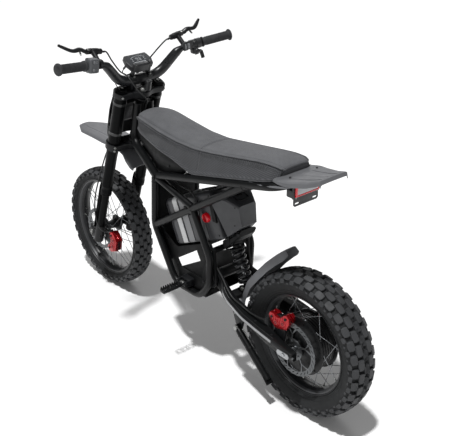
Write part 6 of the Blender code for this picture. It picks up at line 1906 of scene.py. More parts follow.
class Pegs:
    """Two folding foot pegs: toothed frames with open centres."""

    def side(self, s: int) -> None:
        """One peg on its hinge."""
        hinge = at(0.530, s * PEG_Y, PEG_Z)
        shape = Shape()
        knuckle = Vector((0.0165, 0, 0))
        shape.rod(hinge - knuckle, hinge + knuckle, 0.0075, sides=28)

        def spot(x: float, out: float, up: float) -> Vector:
            return hinge + Vector((x, s * out, up))

        for x in (-0.0105, 0.0105):
            shape.box((0.0048, 0.082, 0.0120), spot(x, 0.0550, -0.001), bevel=0.0012)
            for k in range(8):
                out = 0.020 + 0.0102 * k
                tooth = [(-0.0036, 0.0), (0.0036, 0.0), (0.0014, 0.0080), (-0.0014, 0.0080)]
                shape.plate(tooth, 0.0042, axes(spot(x, out, 0.0046), SIDE, UP), bevel=0.0004)
        for out in (0.0165, 0.0430, 0.0700, 0.0945):
            shape.box((0.0220, 0.0046, 0.0100), spot(0, out, -0.0015), bevel=0.0012)
        shape.box((0.0200, 0.0130, 0.0100), spot(0, 0.0105, -0.001), bevel=0.002)
        label = side_name(s)
        body = Body.LEFT_PEG if s > 0 else Body.RIGHT_PEG
        shape.piece(f"peg_{label}", CAST_BLACK, body, replaces=[f"foot_peg_{label}"])
        pin = Shape()
        pin.rod(spot(0, 0.0560, 0.0030), spot(0, 0.0575, 0.0030), 0.0040)
        pin.tube(spring_run(spot(-0.0090, 0.0, 0.0), spot(0.0090, 0.0, 0.0), 0.0084, 5, 16), 0.0009, 8)
        pin.piece(f"peg_spring_{label}", ZINC, body)

    def build(self) -> None:
        """Builds both pegs."""
        for s in (1, -1):
            self.side(s)


class Shock:
    """The rear shock: upper body with its preload ring, rod with its cup, and the coil spring."""

    TOP = SHOCK_TOP
    LOW = SHOCK_LOW
    WIRE_R = 0.0048
    COIL_R = 0.0212
    COILS = 6.0
    SEAT_LOW = 0.0245
    SEAT_HIGH = 0.1435

    def build(self) -> None:
        """Builds the body, the rod, the spring and the adjuster."""
        lean = (self.TOP - self.LOW).normalized()
        body = Shape()
        profile = [(0, 0.1590), (0.0132, 0.1590), (0.0140, 0.1582), (0.0140, 0.1500), (0.0262, 0.1492),
                   (0.0270, 0.1484), (0.0270, 0.1444), (0.0262, 0.1437), (0.0160, 0.1428),
                   (0.0150, 0.1400), (0.0150, 0.0884), (0.0144, 0.0880), (0.0062, 0.0880),
                   (0.0062, 0.1300), (0, 0.1300)]
        body.lathe(profile, self.LOW, lean, 56)
        other = lean.cross(SIDE)
        for angle in turns(10):
            notch = self.LOW + lean * 0.1464 + (SIDE * math.cos(angle) + other * math.sin(angle)) * 0.0262
            body.box((0.0030, 0.0030, 0.0050), notch, bevel=0.0006)
        body.rod(self.TOP + SIDE * 0.0145, self.TOP - SIDE * 0.0145, 0.0125, sides=36)
        body.piece("shock_upper_body", CAST_BLACK, Body.SHOCK_UPPER, replaces=["shock_body"])
        knob = Shape()
        for way in (SIDE, -SIDE):
            knob.lathe([(0, 0.0225), (0.0070, 0.0225), (0.0085, 0.0212), (0.0085, 0.0150), (0, 0.0150)],
                       self.TOP, way, 28)
        knob.piece("shock_bushes", SHELL_BLACK, Body.SHOCK_UPPER)
        rod = Shape()
        rod.lathe([(0, 0.1140), (0.0050, 0.1140), (0.0052, 0.1130), (0.0052, 0.0258), (0.0050, 0.0250),
                   (0, 0.0250)], self.LOW, lean, 32)
        rod.piece("shock_chrome_rod", STEEL, Body.SHOCK_LOWER, replaces=["shock_rod"])
        cup = Shape()
        cup.lathe([(0, 0.0252), (0.0250, 0.0244), (0.0270, 0.0236), (0.0270, 0.0192), (0.0262, 0.0186),
                   (0.0120, 0.0168), (0.0120, 0.0060), (0, 0.0060)], self.LOW, lean, 48)
        cup.rod(self.LOW + SIDE * 0.0160, self.LOW - SIDE * 0.0160, 0.0120, sides=36)
        cup.lathe([(0.0056, 0.0420), (0.0120, 0.0400), (0.0135, 0.0300), (0.0120, 0.0245),
                   (0.0056, 0.0245)], self.LOW, lean, 32)
        cup.piece("shock_lower_cup", CAST_BLACK, Body.SHOCK_LOWER)
        wire = self.WIRE_R
        low, high = self.SEAT_LOW + wire + 0.0008, self.SEAT_HIGH - wire - 0.0008
        spring = Shape()
        spring.tube(spring_run(self.LOW + lean * low, self.LOW + lean * high, self.COIL_R, self.COILS,
                               30, 0.5), wire, 14)
        made = spring.piece("shock_coil", SPRING_BLACK, Body.SHOCK_UPPER, replaces=["shock_spring"],
                            sharp=60)
        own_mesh(made)


class RearEnd:
    """Everything that moves behind the frame's pivot, and the pegs."""

    def build(self) -> None:
        """Builds the rear sub-assemblies in turn."""
        for part in (RearArm(), Caliper(REAR_CALIPER), Stand(), Pegs(), Shock()):
            part.build()


# The front end: fork, clamps, plate, headlight and fender
def up_fork(z: float) -> float:
    """Distance up the fork's axis from its reference point to a height."""
    return (z - FORK_TOP_Z) / math.cos(RAKE)


class Fork:
    """The upside-down fork: outer tubes and clamps above, stanchions, lugs and guards below."""

    LUG = ((1.1600, 0.2620, 0.0190), (1.200, 0.2634, 0.0215))
    LOW_Z = 0.715
    TOP_Z = 0.9425

    def outer(self, s: int) -> None:
        """One outer tube with its cap, rings and dust seal."""
        profile = [(0.0, 0.9648), (0.0062, 0.9648), (0.0062, 0.9600), (0.0098, 0.9600),
                   (0.0098, 0.9650), (0.0172, 0.9650), (0.0180, 0.9642), (0.0200, 0.9600),
                   (0.0240, 0.9588), (0.0250, 0.9575), (0.0250, 0.7020), (0.0246, 0.6960),
                   (0.0234, 0.6740), (0.0225, 0.6600), (0.0225, 0.5260), (0.0232, 0.5246),
                   (0.0232, 0.5190), (0.0225, 0.5176), (0.0225, 0.5010), (0.0236, 0.4985),
                   (0.0238, 0.4970), (0.0238, 0.4885), (0.0232, 0.4876), (0.0232, 0.4856),
                   (0.0238, 0.4846), (0.0238, 0.4776), (0.0228, 0.4760), (0.0172, 0.4760),
                   (0.0172, 0.7600), (0.0, 0.7600)]
        run = [(r, up_fork(z)) for r, z in profile]
        origin = on_fork(FORK_TOP_Z, s * FORK_HALF)
        label = side_name(s)
        shape = Shape()
        shape.lathe(run, origin, FORK_UP, 56)
        shape.piece(f"fork_outer_{label}", FORK_BLACK, Body.FORK_UPPER,
                    replaces=[f"fork_tube_{label}"], sharp=28)
        cap = Shape()
        cap.plate(arc(0.0062, 6), 0.0030, axes(on_fork(0.9655, s * FORK_HALF), FORK_AHEAD, SIDE),
                  bevel=0.0006)
        cap.lathe([(0, 0.0034), (0.0022, 0.0034), (0.0028, 0.0020), (0.0028, 0.0), (0, 0.0)],
                  on_fork(0.9655, s * FORK_HALF), FORK_UP, 20)
        cap.piece(f"fork_cap_{label}", ZINC, Body.FORK_UPPER)

    def clamp(self, shape: Shape, z: float, thickness: float, front: float) -> None:
        """One clamp: split rings round the tubes and a waisted bridge round the stem."""
        half = [(-0.043, 0.014), (-0.031, 0.046), (-0.032, 0.088), (-0.022, 0.106), (0.0, 0.1135),
                (0.022, 0.106), (0.031, 0.088), (0.029, 0.066), (front, 0.045),
                (front - 0.004, 0.016)]
        knots = [Vector((a, s, 0)) for a, s in half + [(a, -s) for a, s in reversed(half)]]
        outline = [(p.x, p.y) for p in smooth_run(knots + [knots[0]], 5)[:-1]]
        holes = [arc(0.0251, 40, centre=(0.0, s * FORK_HALF)) for s in (1, -1)]
        holes += [round_hull([(0.004, s * 0.047, 0.0055), (-0.010, s * 0.045, 0.0055)], 20)
                  for s in (1, -1)]
        shape.plate(outline, thickness, axes(on_fork(z), FORK_AHEAD, SIDE), holes, bevel=0.0022,
                    segments=3)

    def clamps(self) -> None:
        """The lower clamp with the steering stem, then the top clamp with its risers."""
        low = Shape()
        self.clamp(low, self.LOW_Z, 0.028, 0.024)
        low.rod(on_fork(0.706, 0, -STEM_BACK), on_fork(0.956, 0, -STEM_BACK), 0.0155, sides=32)
        low.piece("clamp_low", CAST_BLACK, Body.FORK_UPPER, replaces=["steering_stem"], sharp=26)
        top = Shape()
        self.clamp(top, self.TOP_Z, 0.022, 0.030)
        turn = Matrix.Rotation(-RAKE, 4, "Y")
        for s in (1, -1):
            foot = at(BAR_MID_X, s * RISER_Y, BAR_MID_Z)
            top.box((0.038, 0.024, 0.050), foot - FORK_UP * 0.0185, turn, 0.003)
            top.box((0.038, 0.024, 0.0150), foot + FORK_UP * 0.0112, turn, 0.003)
        top.piece("clamp_top", CAST_BLACK, Body.FORK_UPPER, replaces=["top_clamp"], sharp=26)
        bolts = Shape()
        for z, rows in ((self.LOW_Z, (-1, 1)), (self.TOP_Z, (0,))):
            for s in (1, -1):
                for k in rows:
                    spot = on_fork(z, s * 0.0960, -0.0290) + FORK_UP * (k * 0.0075)
                    bolts.bolt(spot, (-FORK_AHEAD + SIDE * s * 0.5).normalized(), 0.0044, 0.0040)
        for s in (1, -1):
            for a in (-0.0125, 0.0125):
                bolts.bolt(at(BAR_MID_X, s * RISER_Y, BAR_MID_Z) + FORK_UP * 0.0186 + FORK_AHEAD * a,
                           FORK_UP, 0.0040, 0.0040)
        bolts.lathe([(0, 0.0110), (0.0075, 0.0110), (0.0090, 0.0100), (0.0150, 0.0090),
                     (0.0165, 0.0070), (0.0165, 0.0), (0, 0.0)], on_fork(0.9535, 0, -STEM_BACK), FORK_UP,
                    36)
        bolts.piece("clamp_bolts", ZINC, Body.FORK_UPPER)
        race = Shape()
        for z in (0.7345, 0.9185):
            race.lathe([(0.0160, 0.0030), (0.0225, 0.0030), (0.0232, 0.0), (0.0225, -0.0025),
                        (0.0160, -0.0025)], on_fork(z, 0, -STEM_BACK), FORK_UP, 40)
        race.piece("head_races", SHELL_BLACK, Body.FORK_UPPER)

    def leg(self, s: int) -> None:
        """One stanchion with its axle lug and its curved guard."""
        y = s * FORK_HALF
        label = side_name(s)
        post = Shape()
        post.rod(on_fork(0.268, y), on_fork(0.640, y), 0.0165, sides=40)
        post.piece(f"stanchion_{label}", FORK_BLACK, Body.FORK_LOWER,
                   replaces=[f"fork_leg_{label}"])
        lug = Shape()
        lug.lathe([(0, up_fork(0.228)), (0.0190, up_fork(0.2285)), (0.0205, up_fork(0.231)),
                   (0.0205, up_fork(0.308)), (0.0196, up_fork(0.312)), (0, up_fork(0.312))],
                  on_fork(FORK_TOP_Z, y), FORK_UP, 40)
        hull = round_hull([(a - MID_X, b, r) for a, b, r in self.LUG], 40)
        lug.plate(hull, 0.0275, axes(Vector((0, y, 0)), FORWARD, UP), bevel=0.0030, segments=3)
        tongue = [polar(0.030, math.radians(52 * i / 6)) for i in range(-6, 7)]
        tongue += [(0.0, 0.014), (0.0, -0.014)]
        lug.plate(tongue, 0.007, axes(on_fork(0.295, y), FORK_AHEAD, SIDE), bevel=0.001)
        lug.piece(f"fork_lug_{label}", CAST_BLACK, Body.FORK_LOWER, sharp=26)
        rows = []
        spreads = ((0.286, 40.0), (0.300, 52.0), (0.480, 52.0), (0.505, 46.0), (0.518, 30.0))
        for k in range(41):
            z = mixed(0.286, 0.518, k / 40)
            spread = eased(spreads, z, 0.006)
            row = []
            for j in range(-12, 13):
                angle = math.radians(spread * j / 12)
                r = 0.0302 + 0.0008 * hump(abs(j) / 12, 0.55, 0.10)
                row.append(on_fork(z, y + r * math.sin(angle), r * math.cos(angle)))
            rows.append(row)
        guard = Shape().sheet(rows, 0.0021)
        guard.piece(f"fork_guard_{label}", GUARD_BLACK, Body.FORK_LOWER, sharp=40)
        fixings = Shape()
        for z in (0.296, 0.310):
            fixings.bolt(on_fork(z, y + 0.0165, 0.0258), (FORK_AHEAD + SIDE * 0.75).normalized(),
                         0.0034, 0.0026)
        for dx in (-0.012, 0.012):
            fixings.bolt(at(1.200 + dx * 0.2, y + s * 0.0139, 0.2440 + dx * 0.3), SIDE * s, 0.0030,
                         0.0016)
        axle = FRONT_AXLE + SIDE * y
        fixings.lathe([(0, 0.0062), (0.0052, 0.0062), (0.0052, 0.0030), (0.0088, 0.0030),
                       (0.0088, 0.0078), (0.0104, 0.0072), (0.0112, 0.0), (0, 0.0)],
                      axle + SIDE * (s * 0.0130), SIDE * s, 36)
        fixings.piece(f"fork_bolts_{label}", ZINC, Body.FORK_LOWER)

    def axle(self) -> None:
        """The front axle with its nut."""
        shape = Shape()
        shape.rod(FRONT_AXLE + SIDE * 0.0870, FRONT_AXLE - SIDE * 0.0980, 0.0070)
        shape.plate(arc(0.0120, 6), 0.0056, axes(FRONT_AXLE - SIDE * 0.0990, FORWARD, UP), bevel=0.0008)
        shape.piece("front_axle_rod", STEEL, Body.FORK_LOWER)

    def build(self) -> None:
        """Builds both sides and the clamps."""
        for s in (1, -1):
            self.outer(s)
            self.leg(s)
        self.clamps()
        self.axle()
        Caliper(FRONT_CALIPER).build()


class Mask:
    """The number plate, its straps, and the headlight let into it."""

    ROWS = ((0.728, 0.044, 0.078, 0.028), (0.755, 0.046, 0.088, 0.036), (0.810, 0.047, 0.093, 0.036),
            (0.870, 0.048, 0.094, 0.024), (0.922, 0.048, 0.087, 0.014), (0.946, 0.048, 0.078, 0.010))
    COLUMNS = ((0.0, 1.0), (0.2, 1.0), (0.52, 0.8), (0.86, 0.35), (1.0, 0.0))
    BOWL_Z = 0.822
    LENS_Z = 0.808

    def front(self, share: float, z: float) -> Vector:
        """A point of the plate's middle surface."""
        ahead, half, bulge = (eased(t, z, 0.010) for t in columns(self.ROWS))
        drop = eased(self.COLUMNS, abs(share), 0.05)
        return at(fork_x(z) + ahead + bulge * drop, half * share, z)

    def build(self) -> None:
        """Builds plate, straps, lamp bowl, lens and its ribs."""
        rows = []
        for k in range(45):
            z = mixed(0.7282, 0.9458, k / 44)
            rows.append([self.front(mixed(-1, 1, j / 48), z) for j in range(49)])
        plate = Shape().sheet(rows, 0.0030)
        for z in (0.905, 0.775):
            for s in (1, -1):
                plate.rod(on_fork(z, s * 0.078, 0.020), on_fork(z, s * 0.078, 0.0520), 0.0055, sides=20)
                plate.lathe([(0.0253, 0.0060), (0.0263, 0.0056), (0.0263, -0.0056), (0.0253, -0.0060)],
                            on_fork(z, s * FORK_HALF), FORK_UP, 36)
        plate.piece("plate_shell", MASK_BLACK, Body.FORK_UPPER, replaces=["number_plate"], sharp=30)
        bowl = Shape()
        rings = []
        for ahead, grow in ((0.0330, 0.70), (0.0350, 0.76), (0.0400, 0.97), (0.0440, 1.0), (0.0680, 1.0)):
            rings.append([on_fork(self.BOWL_Z, y * grow, ahead) + FORK_UP * (z * grow)
                          for y, z in rounded(0.030, 0.032, 0.010)])
        bowl.loft(rings)
        for k in range(5):
            rib = on_fork(self.BOWL_Z, -0.024 + 0.012 * k, 0.0335)
            bowl.box((0.0024, 0.0022, 0.0420), rib, Matrix.Rotation(-RAKE, 4, "Y"), 0.0006)
        bowl.piece("lamp_bowl", SHELL_BLACK, Body.FORK_UPPER)
        spot = at(fork_x(self.LENS_Z) + 0.0909, 0, self.LENS_Z)
        frame_axes = axes(spot, SIDE, FORK_UP)
        inner = rounded(0.0205, 0.0185, 0.0062)
        lens = Shape()
        lens.plate(inner, 0.0045, frame_axes, bevel=0.0016, segments=4)
        for k in range(5):
            lens.box((0.0016, 0.0480, 0.0014), spot + Vector((0.0018, 0, 0)) + FORK_UP * (0.008 * (k - 2)),
                     Matrix.Rotation(-RAKE, 4, "Y"), 0.0005)
        lens.piece("headlight_glass", CLEAR_LENS, Body.FORK_UPPER, replaces=["headlight_lens"])
        rim = Shape()
        rim.plate(rounded(0.022, 0.020, 0.0080), 0.0060, frame_axes, [inner], bevel=0.0010)
        rim.piece("headlight_rim", SHELL_BLACK, Body.FORK_UPPER)
        screws = Shape()
        for share in (-0.80, 0.80):
            for z in (0.925, 0.748):
                screws.bolt(self.front(share, z) + FORK_AHEAD * 0.0012, FORK_AHEAD, 0.0038, 0.0018)
        screws.piece("plate_screws", ZINC, Body.FORK_UPPER)


class FrontFender:
    """The high front fender with its pressed ribs and the posts under the clamp."""

    ROWS = ((0.918, 0.633, 0.056, 0.010), (0.930, 0.643, 0.062, 0.014), (0.960, 0.664, 0.062, 0.014),
            (0.990, 0.679, 0.0545, 0.010), (1.030, 0.690, 0.0535, 0.010), (1.064, 0.696, 0.0560, 0.012),
            (1.110, 0.701, 0.0670, 0.014), (1.180, 0.704, 0.0685, 0.013), (1.240, 0.704, 0.0690, 0.012),
            (1.272, 0.703, 0.0680, 0.011), (1.318, 0.700, 0.0450, 0.007), (1.342, 0.697, 0.0330, 0.005))

    def build(self) -> None:
        """Builds the shell, its screws and posts."""
        tables = columns(self.ROWS)
        rows = []
        for k in range(97):
            x = mixed(0.9182, 1.3418, k / 96)
            z, half, edge = (eased(t, x, 0.005) for t in tables)
            row = []
            for j in range(-26, 27):
                share = j / 26
                rise = reading(((0.0, 0.0038), (0.40, 0.0038), (0.88, 0.0), (0.975, -edge * 0.3),
                                (1.0, -edge)), abs(share))
                groove = 0.0014 * hump(abs(share), 0.46, 0.040)
                fade = within(min(x - 1.06, 1.315 - x) / 0.03)
                row.append(at(x, half * share, z + rise - groove * fade))
            rows.append(row)
        shell = Shape().sheet(rows, 0.0030)
        shell.piece("fender_shell", FENDER_GREY, Body.FORK_UPPER, replaces=["front_fender"], sharp=30)
        posts = Shape()
        for s in (1, -1):
            posts.rod(at(1.012, s * 0.024, 0.688), at(1.008, s * 0.024, 0.6995), 0.007, sides=28)
            posts.bolt(at(1.0135, s * 0.024, 0.6845), -UP, 0.0056, 0.0030)
        posts.piece("fender_posts", BLACK_BOLT, Body.FORK_UPPER)


# The cockpit: bar, grips, levers, switches, throttle, display, and the brake hoses
BAR_IN = (0.893, 0.172, 1.081)
BAR_OUT = (0.848, 0.389, 1.107)
BAR_BEND = (BAR_MID_X, 0.088, BAR_MID_Z)
BAR_BORE = 0.0113
BAR_AXIS = {s: (at(BAR_OUT[0], s * BAR_OUT[1], BAR_OUT[2])
                - at(BAR_IN[0], s * BAR_IN[1], BAR_IN[2])).normalized() for s in (1, -1)}
LEVER_Y = 0.215


def bar_point(s: int, y: float) -> Vector:
    """A point on the axis of the bar's straight grip section."""
    share = (y - BAR_IN[1]) / (BAR_OUT[1] - BAR_IN[1])
    return at(mixed(BAR_IN[0], BAR_OUT[0], share), s * y, mixed(BAR_IN[2], BAR_OUT[2], share))


def on_bar(s: int, y: float, ahead: float, rise: float) -> Vector:
    """A point near the bar, level with a place on it."""
    return bar_point(s, y) + Vector((ahead, 0, rise))


class Handlebar:
    """The wide bar with its knurled middle and both ribbed grips."""

    RIBS = ((-0.0135, -0.0400, 0.55), (-0.0600, -0.0520, -0.65))
    RADII = ((0.0, 0.0196), (0.098, 0.0196), (0.112, 0.0192), (0.160, 0.0175), (0.182, 0.0111),
             (0.5, 0.0111))

    def grip(self, s: int) -> None:
        """One grip: flanges, slanted ribs and a ribbed palm."""
        axis = BAR_AXIS[s]
        end = bar_point(s, BAR_OUT[1])
        profile = [(0, 0.0), (0.0196, 0.0), (0.0206, -0.0006), (0.0220, -0.0022), (0.0220, -0.0056),
                   (0.0212, -0.0066), (0.0172, -0.0084), (0.0160, -0.0110), (0.0160, -0.1196),
                   (0.0184, -0.1212), (0.0195, -0.1228), (0.0195, -0.1266), (0.0188, -0.1275),
                   (0.01145, -0.1275), (0.01145, -0.0042), (0, -0.0042)]
        shape = Shape()
        shape.lathe(profile, end, axis, 56)
        other = axis.cross(UP).normalized()
        lift = other.cross(axis).normalized()
        for start in turns(24):
            for first, length, twist in self.RIBS:
                run = []
                for i in range(13):
                    angle = start + twist * i / 12
                    run.append(end + axis * (first + length * i / 12)
                               + (other * math.cos(angle) + lift * math.sin(angle)) * 0.01605)
                shape.tube(run, 0.0009, 6)
        for k in range(3):
            shape.lathe([(0.0158, -0.0008), (0.0167, -0.0004), (0.0167, 0.0004), (0.0158, 0.0008)],
                        end + axis * (-0.0555 - 0.0018 * k), axis, 40)
        label = side_name(s)
        shape.piece(f"grip_rubber_{label}", GRIP, Body.FORK_UPPER, replaces=[f"grip_{label}"], sharp=40)
        plug = Shape()
        plug.lathe([(0, 0.0011), (0.0060, 0.0010), (0.0110, 0.0006), (0.0124, 0.0), (0, 0.0)],
                   end, axis, 40)
        plug.piece(f"bar_end_{label}", SHELL_BLACK, Body.FORK_UPPER)

    def build(self) -> None:
        """Builds bar and grips."""
        corners = [bar_point(1, 0.3845), at(*BAR_IN), at(*BAR_BEND)]
        corners += [mirrored(p) for p in reversed(corners)]
        run = bends(corners, 0.095, 18)
        fine: list[Vector] = []
        for a, b in zip(run, run[1:]):
            parts = max(1, int((b - a).length / 0.006))
            fine += [a.lerp(b, k / parts) for k in range(parts)]
        fine.append(run[-1])
        shape = Shape()
        shape.tube(fine, self.RADII[0][1], 32, [reading(self.RADII, abs(p.y)) for p in fine])
        shape.piece("bar_tube", BAR_BLACK, Body.FORK_UPPER, replaces=["handlebar"], sharp=50)
        knurl = Shape()
        for k in range(-5, 6):
            knurl.lathe([(0.0193, -0.0013), (0.0201, -0.0009), (0.0201, 0.0009), (0.0193, 0.0013)],
                        at(BAR_MID_X, 0.0052 * k, BAR_MID_Z), SIDE, 40)
        knurl.piece("bar_knurl", SHELL_BLACK, Body.FORK_UPPER)
        for s in (1, -1):
            self.grip(s)


class Lever:
    """One brake lever with its perch, master cylinder and adjuster."""

    def __init__(self, s: int) -> None:
        self.s = s
        self.pivot = at(0.934, s * LEVER_Y, 1.124)
        self.toward = bar_point(s, LEVER_Y) - self.pivot
        self.axis = BAR_AXIS[s].cross(self.toward).normalized()
        self.label = side_name(s)

    def perch(self) -> None:
        """The bar clamp, the cylinder with its cap and the forked ears."""
        s, pivot, axis, along = self.s, self.pivot, self.axis, BAR_AXIS[self.s]
        shape = Shape()
        ring = bar_point(s, 0.195)
        shape.lathe(collar(BAR_BORE, 0.0175, 0.0080, 0.0012), ring, along, 40)
        inner = at(0.931, s * 0.157, 1.116)
        run = pivot - inner
        shape.tube([inner + run * share for share in (0.0, 0.03, 0.24, 0.28, 0.62, 0.70)], 0.0095, 28,
                   [0.0088, 0.0104, 0.0110, 0.0122, 0.0122, 0.0100])
        meet = inner + run * 0.60
        shape.tube([ring, ring.lerp(meet, 0.35), ring.lerp(meet, 0.75), meet], 0.0070, 20,
                   [0.0106, 0.0092, 0.0096, 0.0110])
        across = axis.cross(along)
        ear = round_hull([(-0.020, 0.0, 0.0080), (0.0010, 0.0, 0.0076)], 36)
        for way in (1, -1):
            shape.plate(ear, 0.003, axes(pivot + axis * (0.0062 * way), along, across), bevel=0.0006)
        shape.rod(pivot - axis * 0.0085, pivot + axis * 0.0085, 0.0028)
        shape.box((0.0150, 0.0180, 0.0085), ring + Vector((0.0135, 0, -0.0030)),
                  axes(Vector(), FORWARD, along), 0.0016)
        shape.piece(f"lever_perch_{self.label}", CAST_BLACK, Body.FORK_UPPER,
                    replaces=[f"brake_perch_{self.label}"])
        bolts = Shape()
        for dz in (0.0048, -0.0048):
            bolts.bolt(ring + Vector((0.0200, 0, -0.0030)) + along * dz, FORWARD, 0.0026, 0.0020)
        for way in (axis, -axis):
            bolts.bolt(pivot + way * 0.0080, way, 0.0046, 0.0022)
        direction = (inner - pivot).normalized()
        bolts.rod(inner - direction * 0.002, inner + direction * 0.004, 0.0050, sides=6)
        bolts.piece(f"perch_bolts_{self.label}", ZINC, Body.FORK_UPPER)

    def blade(self) -> None:
        """The lever's blade with its flat inner part, hooked tip and reach adjuster."""
        s, pivot, axis, along = self.s, self.pivot, self.axis, BAR_AXIS[self.s]
        away = -(axis.cross(along)).normalized()
        if away.dot(self.toward) > 0:
            away = -away
        route = [pivot, pivot + along * 0.012 + away * 0.004, at(0.934, s * 0.244, 1.136),
                 at(0.933, s * 0.277, 1.137), at(0.952, s * 0.313, 1.156)]
        run = smooth_run(route, 9)
        count = len(run) - 1
        rings = []
        for i, point in enumerate(run):
            share = i / count
            heading = (run[min(i + 1, count)] - run[max(i - 1, 0)]).normalized()
            flat = heading.cross(axis).normalized()
            wide = reading(((0, 0.0076), (0.2, 0.0104), (0.55, 0.0092), (0.9, 0.0074), (1.0, 0.0056)), share)
            thick = reading(((0, 0.0044), (0.12, 0.0046), (0.3, 0.0062), (1.0, 0.0054)), share)
            rings.append([point + flat * (wide * math.cos(angle)) + axis * (thick * math.sin(angle))
                          for angle in turns(20)])
        shape = Shape()
        shape.loft(rings)
        shape.lathe(collar(0.0033, 0.0075, 0.0044, 0.0007)[::-1], pivot, axis, 36)
        shape.ball(at(0.9535, s * 0.3155, 1.1580), 0.0054)
        shape.rod(at(0.932, s * 0.2475, 1.134), at(0.917, s * 0.2520, 1.122), 0.0033, edge=0.0008)
        body = Body.LEFT_LEVER if s > 0 else Body.RIGHT_LEVER
        shape.piece(f"lever_blade_{self.label}", BAR_BLACK, body,
                    replaces=[f"brake_lever_{self.label}"], sharp=45)
        screw = Shape()
        screw.rod(at(0.9176, s * 0.2518, 1.1226), at(0.9150, s * 0.2526, 1.1205), 0.0028)
        screw.piece(f"lever_adjuster_{self.label}", ZINC, body)

    def build(self) -> None:
        """Builds perch and blade."""
        self.perch()
        self.blade()


class LeftSwitches:
    """The left pod: lights above, horn below, each with its icon."""

    KEY_Y = 0.004
    ROCKER_Z = 0.0145
    HORN_Z = -0.0125

    def build(self) -> None:
        """Builds the pod, its rocker, its button and its seam."""
        turn = axes(Vector(), FORWARD, BAR_AXIS[1])
        middle = on_bar(1, 0.2345, -0.004, 0.0)

        def spot(a: float, b: float, c: float) -> Vector:
            return middle + turn @ Vector((a, b, c))

        shape = Shape()
        shape.box((0.0395, 0.0415, 0.0515), middle, turn, 0.0075, 4)
        for b in (-0.0205, 0.0205):
            shape.lathe([(0.0113, -0.0012), (0.0205, -0.0012), (0.0218, 0.0), (0.0205, 0.0012),
                         (0.0113, 0.0012)], bar_point(1, 0.2345) + BAR_AXIS[1] * b * 0.86, BAR_AXIS[1], 32)
        shape.piece("left_pod", POD_PALE, Body.FORK_UPPER, replaces=["switch_left"])
        line = Shape()
        seam = [spot(0.0015, within(0.030 * math.cos(angle), -0.0209, 0.0209),
                     within(0.037 * math.sin(angle), -0.0259, 0.0259)) for angle in turns(48)]
        line.tube(seam, 0.0006, 6, closed=True)
        line.box((0.0010, 0.0115, 0.0125), spot(-0.0198, self.KEY_Y, self.ROCKER_Z), turn, 0.0003)
        line.lathe([(0.0060, 0.0004), (0.0072, 0.0003), (0.0072, -0.0004), (0.0060, -0.0004)],
                   spot(-0.0199, self.KEY_Y, self.HORN_Z), turn @ FORWARD, 32)
        line.piece("left_pod_seams", SHELL_BLACK, Body.FORK_UPPER)
        rocker = Shape()
        rocker.box((0.0090, 0.0076, 0.0104), spot(-0.0195, self.KEY_Y, self.ROCKER_Z), turn, 0.0018)
        for dz in (-0.0026, 0.0, 0.0026):
            rocker.box((0.0008, 0.0060, 0.0008), spot(-0.0242, self.KEY_Y, self.ROCKER_Z + dz), turn,
                       0.0003)
        rocker.piece("light_rocker", BUTTON_GREY, Body.LIGHTS, replaces=["light_switch"])
        horn = Shape()
        horn.lathe([(0, -0.0040), (0.0046, -0.0042), (0.0056, -0.0034), (0.0058, -0.0026),
                    (0.0058, 0.0042), (0, 0.0042)], spot(-0.0185, self.KEY_Y, self.HORN_Z),
                   turn @ FORWARD, 36)
        horn.piece("horn_cap", BUTTON_GREY, Body.HORN, replaces=["horn_button"])
        marks = Shape()
        for c in (0.0175, 0.0120, -0.0125):
            marks.box((0.0004, 0.0034, 0.0016), spot(-0.0199, -0.0085, c), turn, 0.0001)
            if c > 0:
                marks.box((0.0004, 0.0010, 0.0034), spot(-0.0199, -0.0053, c), turn, 0.0001)
        marks.piece("left_pod_marks", MARK_GREY, Body.FORK_UPPER)


